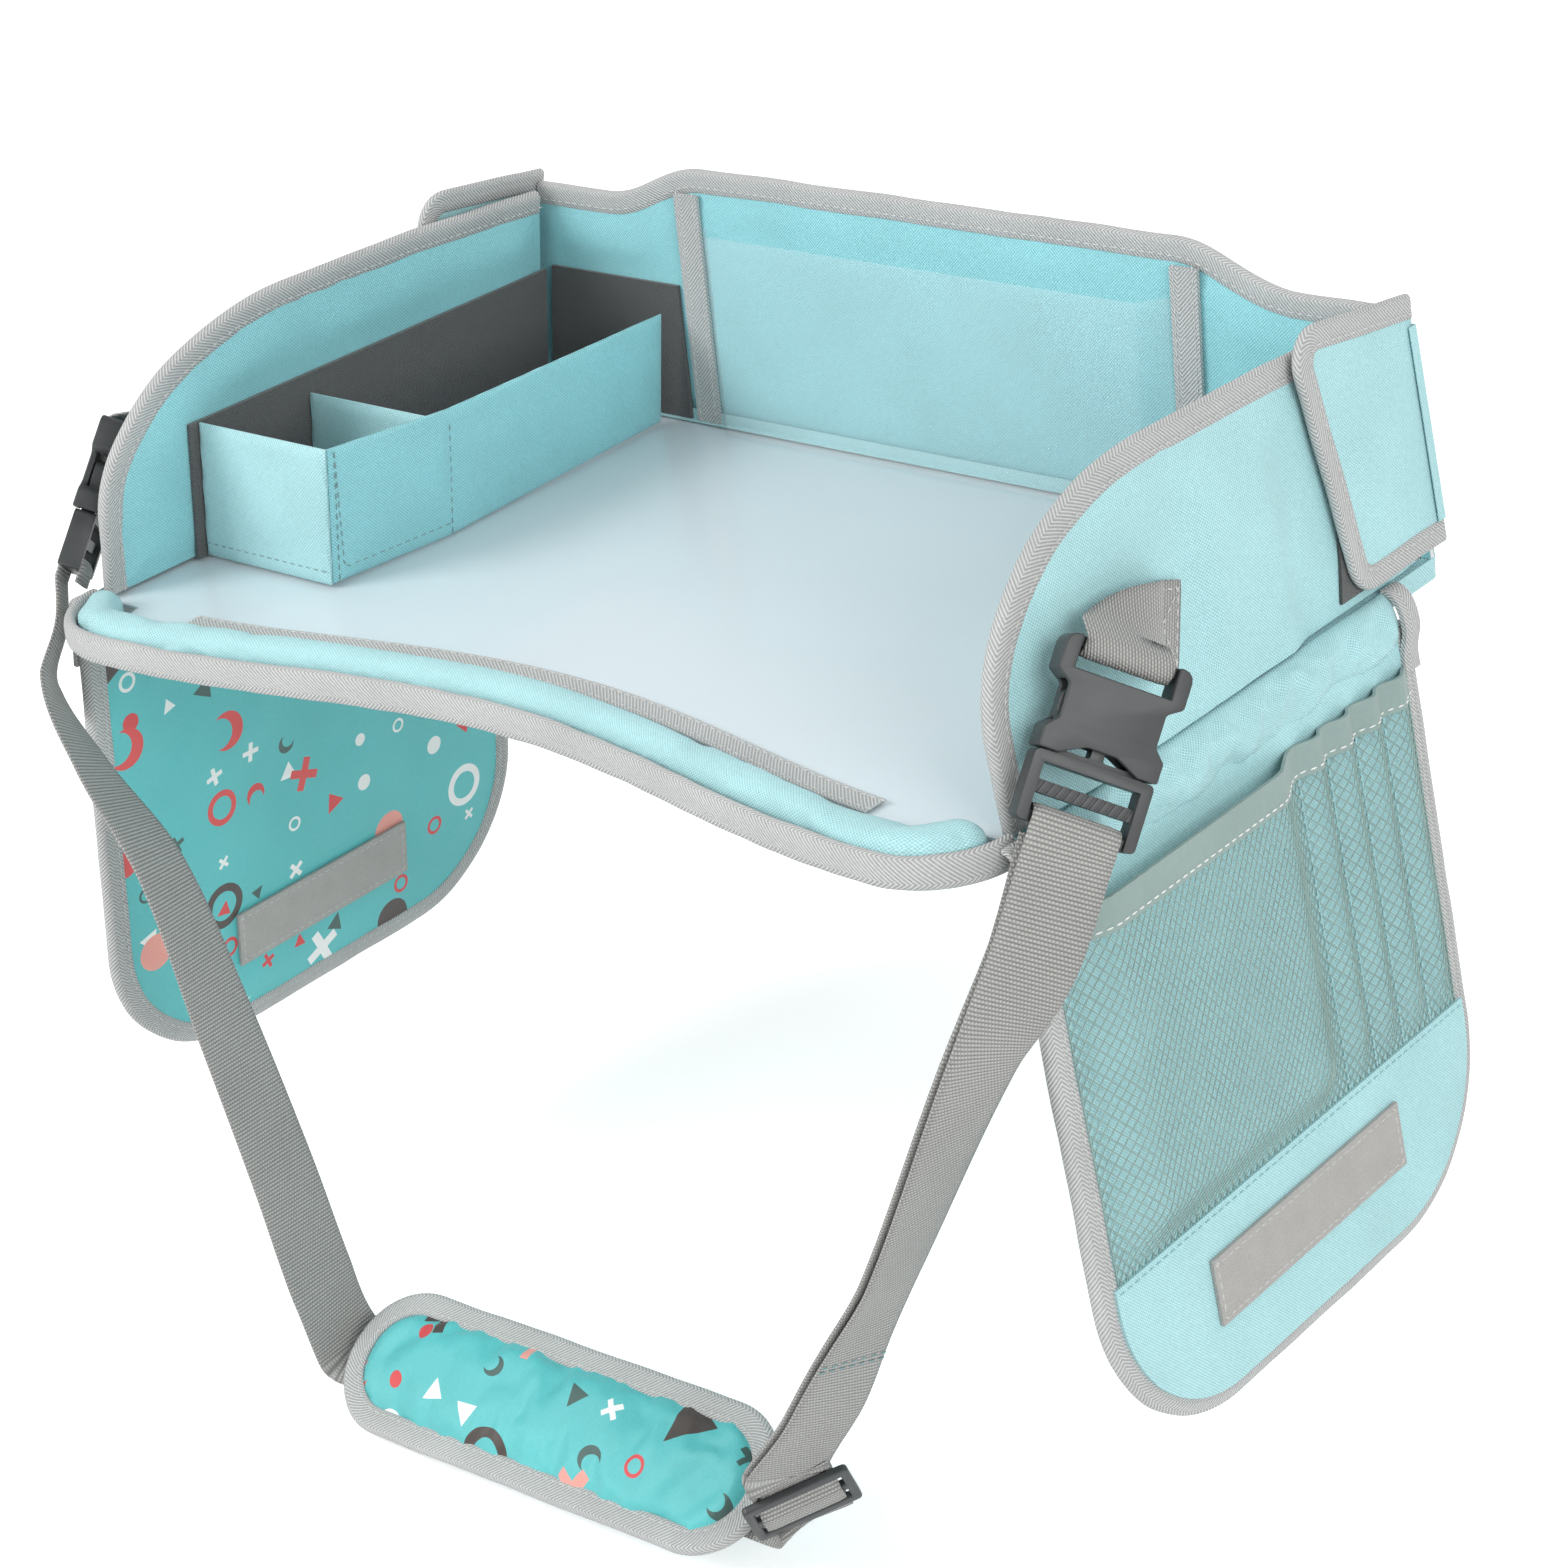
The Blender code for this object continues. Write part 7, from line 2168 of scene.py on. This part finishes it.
def make_anchor(name, side):
    """The webbing that holds a socket to its wall."""
    placed = buckle_frame(side)
    wall = wall_place(side)
    bar = SOCKET_TOP - BAR_DEPTH / 2
    wrap = bar_wrap(placed, bar, tuple(range(20, 286, 15)))
    lead = wrap[0] + (wrap[0] - wrap[1]).normalized() * ANCHOR_LEAD
    out = side * (HINGE_STANDOFF + WALL_STACK + GAP + WEBBING_THICKNESS / 2)
    seam = wall @ Vector((out, WALL_FRONT + ANCHOR_PLACE, ANCHOR_RISE))
    normal = wall.to_3x3() @ Vector((side, 0, 0))
    run = lead - seam
    along = (run - normal * run.dot(normal)).normalized()
    sewn_across = along.cross(normal)
    across = placed.to_3x3() @ Vector((1, 0, 0))
    if across.dot(sewn_across) < 0:
        across = -across
    middle = seam.lerp(lead, 1 / 3) + normal * ANCHOR_LIFT
    places = [seam - along * ANCHOR_TAIL * (3 - part) / 3 for part in range(3)]
    turned = [sewn_across, sewn_across.lerp(across, 1 / 6), across]
    way, way_across = smooth_way([seam, middle, lead], turned)
    acrosses = [sewn_across] * 3 + way_across + [across] * len(wrap)
    places += way + wrap
    work = lofted(ribbon_rings(places, acrosses))
    layer = uv_layer(work)
    for face in work.faces:
        for loop in face.loops:
            there = loop.vert.co - seam
            loop[layer].uv = (there.dot(along) - there.dot(normal), there.dot(sewn_across))
    added(f"{name}_anchor_strap", work, webbing, "tray", [f"{name}_anchor_webbing"], 180)
    face = normal * (WEBBING_THICKNESS / 2 + 0.0002)
    low, high = seam - along * ANCHOR_TAIL * 0.8, seam + along * ANCHOR_TAIL * 0.9
    reach = sewn_across * WEBBING * 0.40
    corners = [low - reach, low + reach, high + reach, high - reach]
    sew([corner + face for corner in corners + corners[:1]], "tray")
    sew([corners[0] + face, corners[2] + face], "tray")
    sew([corners[1] + face, corners[3] + face], "tray")


def stadium(length, width, inset, height, steps=28):
    radius = width / 2 - inset
    centre = length / 2 - width / 2
    ring = []
    for side in (1, -1):
        for step in range(steps + 1):
            turn = math.pi * step / steps - math.pi / 2
            ring.append(
                Vector((side * (centre + radius * math.cos(turn)), side * radius * math.sin(turn), height))
            )
    return ring


def make_pad():
    """The strap pad: padded cover, sleeve and binding, with the tri-glide."""
    placed = pad_frame()
    rim = PAD_RIM / 2
    rings = [stadium(PAD_LENGTH, PAD_WIDTH, 0.004, -rim), stadium(PAD_LENGTH, PAD_WIDTH, 0.004, rim * 0.9)]
    start = PAD_BINDING - 0.002
    levels = 12
    for level in range(levels + 1):
        share = level / levels
        inset = start + (PAD_WIDTH / 2 - start - 0.0015) * share
        rise = min(1.0, share * (PAD_WIDTH / 2 - start) / (PAD_SHOULDER - start))
        height = rim + PAD_CROWN * math.sin(math.pi / 2 * rise)
        ring = stadium(PAD_LENGTH, PAD_WIDTH, inset, height)
        if 0 < level:
            for point in ring:
                point.z += 0.0009 * noise.noise(
                    Vector((point.x * 40, point.y * 60, 3.0))
                ) * math.sin(math.pi / 2 * rise)
        rings.append(ring)
    reach = PAD_WIDTH / 2 - PAD_BINDING + 0.001
    centre = PAD_LENGTH / 2 - PAD_WIDTH / 2

    def held(place):
        away = math.hypot(max(abs(place.x) - centre, 0.0), place.y)
        return 1.0 if away > reach or place.z < rim + 0.0004 else 0.0
    work = blown_up(lofted(rings), held, 0.0020, slack_share=0.05)
    lay_uv(work)
    work.transform(placed)
    cover = added("pad_padded_cover", work, lining, "strap", ["pad_front_cover"], 60)
    path = [tuple(point.xy) for point in stadium(PAD_LENGTH, PAD_WIDTH, PAD_BINDING / 2, 0)]
    path.append(path[0])
    bound(
        "pad_binding_tape", path, placed, PAD_BINDING, PAD_LIPS, 1, "strap", ["pad_binding"],
        cyclic=True, seed=12,
    )
    path = [tuple(point.xy) for point in stadium(PAD_LENGTH, PAD_WIDTH, PAD_BINDING - 0.0020, 0)]
    path.append(path[0])
    for face in (-1, 1):
        sew_flat(path, placed, face * PAD_LIPS / 2, "strap")
    reuved("pad_sleeve", placed, oxford, "strap")
    rounded_copy("strap_slider", 0.0006, "strap")


# Stitches

def make_stitches():
    """Sews the noted lines, one object for each body and thread."""
    for (body, build), lines in STITCHES.items():
        work = bmesh.new()
        for line in lines:
            vertices = [work.verts.new(point) for point in line]
            for before, after in zip(vertices, vertices[1:]):
                work.edges.new((before, after))
        values = {
            "Pitch": sizes().stitch_pitch, "Stitch": sizes().stitch_length,
            "Thread": sizes().thread, "Material": material(build),
        }
        generated(f"{body}_{build.__name__}", work, TREES["stitch"], values, body)


# Stage

def soft_light(name, place, size, power):
    """A square lamp aimed at the origin."""
    data = bpy.data.lights.new(name, "AREA")
    data.shape = "SQUARE"
    data.size = size
    data.energy = power
    light = bpy.data.objects.new(name, data)
    light.location = place
    light.rotation_euler = (-Vector(place)).to_track_quat("-Z", "Y").to_euler()
    bpy.context.scene.collection.objects.link(light)


def make_stage():
    """Floor, sky, lamps and camera."""
    floor_height = CAD_BOX[0][2] - FLOOR_DROP
    work = bmesh.new()
    bmesh.ops.create_grid(work, x_segments=8, y_segments=8, size=8)
    mesh = bpy.data.meshes.new("floor")
    work.to_mesh(mesh)
    work.free()
    mesh.transform(Matrix.Translation((0, 0, floor_height)))
    floor = bpy.data.objects.new("floor", mesh)
    bpy.context.scene.collection.objects.link(floor)
    made, tree, shader = blank_material("pale_floor", 0.9)
    shader.inputs["Base Color"].default_value = (FLOOR_TONE, FLOOR_TONE, FLOOR_TONE, 1)
    shader.inputs["Emission Color"].default_value = (1, 1, 1, 1)
    path = node(tree, "ShaderNodeLightPath")
    mirrored = maths(tree, "MAXIMUM", path.outputs["Is Glossy Ray"], path.outputs["Is Transmission Ray"])
    shown = maths(tree, "MAXIMUM", path.outputs["Is Camera Ray"], mirrored)
    tree.links.new(maths(tree, "MULTIPLY", shown, FLOOR_GLOW), shader.inputs["Emission Strength"])
    mesh.materials.append(made)
    world = bpy.data.worlds.new("studio")
    bpy.context.scene.world = world
    world.use_nodes = True
    background = world.node_tree.nodes["Background"]
    background.inputs[0].default_value = (1, 1, 1, 1)
    background.inputs[1].default_value = SKY_STRENGTH
    for lamp in LAMPS:
        soft_light(*lamp)
    data = bpy.data.cameras.new("camera")
    data.sensor_width = 36
    data.lens = LENS
    camera = bpy.data.objects.new("camera", data)
    turn = Matrix((CAMERA_RIGHT, CAMERA_UP, CAMERA_BACK)).transposed()
    camera.matrix_world = Matrix.Translation(EYE) @ turn.to_4x4()
    bpy.context.scene.collection.objects.link(camera)
    bpy.context.scene.camera = camera
    bpy.context.scene.view_settings.view_transform = "Standard"


TREES = {}

class PieceOperator:
    """What the operators share: a builder that adds objects, or stops with an error when it adds none."""

    bl_options = {"REGISTER", "UNDO"}

    def execute(self, context):
        before = len(bpy.data.objects)
        self.build()
        if len(bpy.data.objects) == before:
            raise RuntimeError(f"{self.bl_label} made nothing")
        return {"FINISHED"}


class TRAY_OT_base(PieceOperator, bpy.types.Operator):
    """Covers the base, its drawing board, film, padded front roll and front binding."""

    bl_idname = "tray.base"
    bl_label = "Base"
    build = staticmethod(make_base)


class TRAY_OT_side_walls(PieceOperator, bpy.types.Operator):
    """Covers and binds the two side walls."""

    bl_idname = "tray.side_walls"
    bl_label = "Side Walls"
    build = staticmethod(make_walls)


class TRAY_OT_back_wall(PieceOperator, bpy.types.Operator):
    """Covers and binds the back wall and hangs its tablet pocket."""

    bl_idname = "tray.back_wall"
    bl_label = "Back Wall"
    build = staticmethod(make_back_wall)


class TRAY_OT_corner_tabs(PieceOperator, bpy.types.Operator):
    """Covers and binds the tabs that hold the corners."""

    bl_idname = "tray.corner_tabs"
    bl_label = "Corner Tabs"
    build = staticmethod(make_tabs)


class TRAY_OT_fold_cloths(PieceOperator, bpy.types.Operator):
    """Joins the back wall, the tabs and the flaps with cloth across their folds."""

    bl_idname = "tray.fold_cloths"
    bl_label = "Fold Cloths"
    build = staticmethod(make_fold_cloths)


class TRAY_OT_side_flaps(PieceOperator, bpy.types.Operator):
    """Covers the flaps, with their net pockets and tapes."""

    bl_idname = "tray.side_flaps"
    bl_label = "Side Flaps"
    build = staticmethod(make_flaps)


class TRAY_OT_snack_pocket(PieceOperator, bpy.types.Operator):
    """Covers the panels of the folding snack pocket."""

    bl_idname = "tray.snack_pocket"
    bl_label = "Snack Pocket"
    build = staticmethod(make_snack_pocket)


class TRAY_OT_buckles(PieceOperator, bpy.types.Operator):
    """Rounds and finishes the two side release buckles."""

    bl_idname = "tray.buckles"
    bl_label = "Buckles"
    build = staticmethod(make_buckles)


class TRAY_OT_straps(PieceOperator, bpy.types.Operator):
    """Weaves the lap strap, its return and the two anchors."""

    bl_idname = "tray.straps"
    bl_label = "Straps"
    build = staticmethod(make_straps)


class TRAY_OT_pad(PieceOperator, bpy.types.Operator):
    """Pads the lap strap and finishes its tri-glide."""

    bl_idname = "tray.pad"
    bl_label = "Strap Pad"
    build = staticmethod(make_pad)


class TRAY_OT_stitches(PieceOperator, bpy.types.Operator):
    """Sews every line of stitches."""

    bl_idname = "tray.stitches"
    bl_label = "Stitches"
    build = staticmethod(make_stitches)


class TRAY_OT_stage(PieceOperator, bpy.types.Operator):
    """Lays the floor and sets the lights and the camera."""

    bl_idname = "tray.stage"
    bl_label = "Stage"
    build = staticmethod(make_stage)


OPERATORS = (
    TRAY_OT_base, TRAY_OT_side_walls, TRAY_OT_back_wall, TRAY_OT_corner_tabs, TRAY_OT_fold_cloths,
    TRAY_OT_side_flaps, TRAY_OT_snack_pocket, TRAY_OT_buckles, TRAY_OT_straps, TRAY_OT_pad,
    TRAY_OT_stitches, TRAY_OT_stage,
)


class TRAY_PT_pieces(bpy.types.Panel):
    """Lists the pieces of the tray, its sizes and its colours in the sidebar."""

    bl_idname = "TRAY_PT_pieces"
    bl_label = "Car Seat Tray Table"
    bl_space_type = "VIEW_3D"
    bl_region_type = "UI"
    bl_category = "Tray"

    def draw(self, context):
        for operator in OPERATORS:
            self.layout.operator(operator.bl_idname)
        for holder in (context.scene.tray_sizes, context.scene.tray_colours):
            box = self.layout.box()
            for key in type(holder).__annotations__:
                box.prop(holder, key)


CLASSES = [TraySizes, TrayColours, *OPERATORS, TRAY_PT_pieces]


def register():
    """Adds the classes and the scene's two groups of properties."""
    for made in CLASSES:
        bpy.utils.register_class(made)
    bpy.types.Scene.tray_sizes = bpy.props.PointerProperty(type=TraySizes)
    bpy.types.Scene.tray_colours = bpy.props.PointerProperty(type=TrayColours)


def unregister():
    """Takes them away again."""
    del bpy.types.Scene.tray_colours
    del bpy.types.Scene.tray_sizes
    for made in reversed(CLASSES):
        bpy.utils.unregister_class(made)


def main():
    """Builds every piece in order."""
    register()
    TREES["net"] = net_tree()
    TREES["stitch"] = stitch_tree()
    for operator in OPERATORS:
        getattr(bpy.ops.tray, operator.bl_idname.split(".")[1])()


if __name__ == "__main__":
    main()
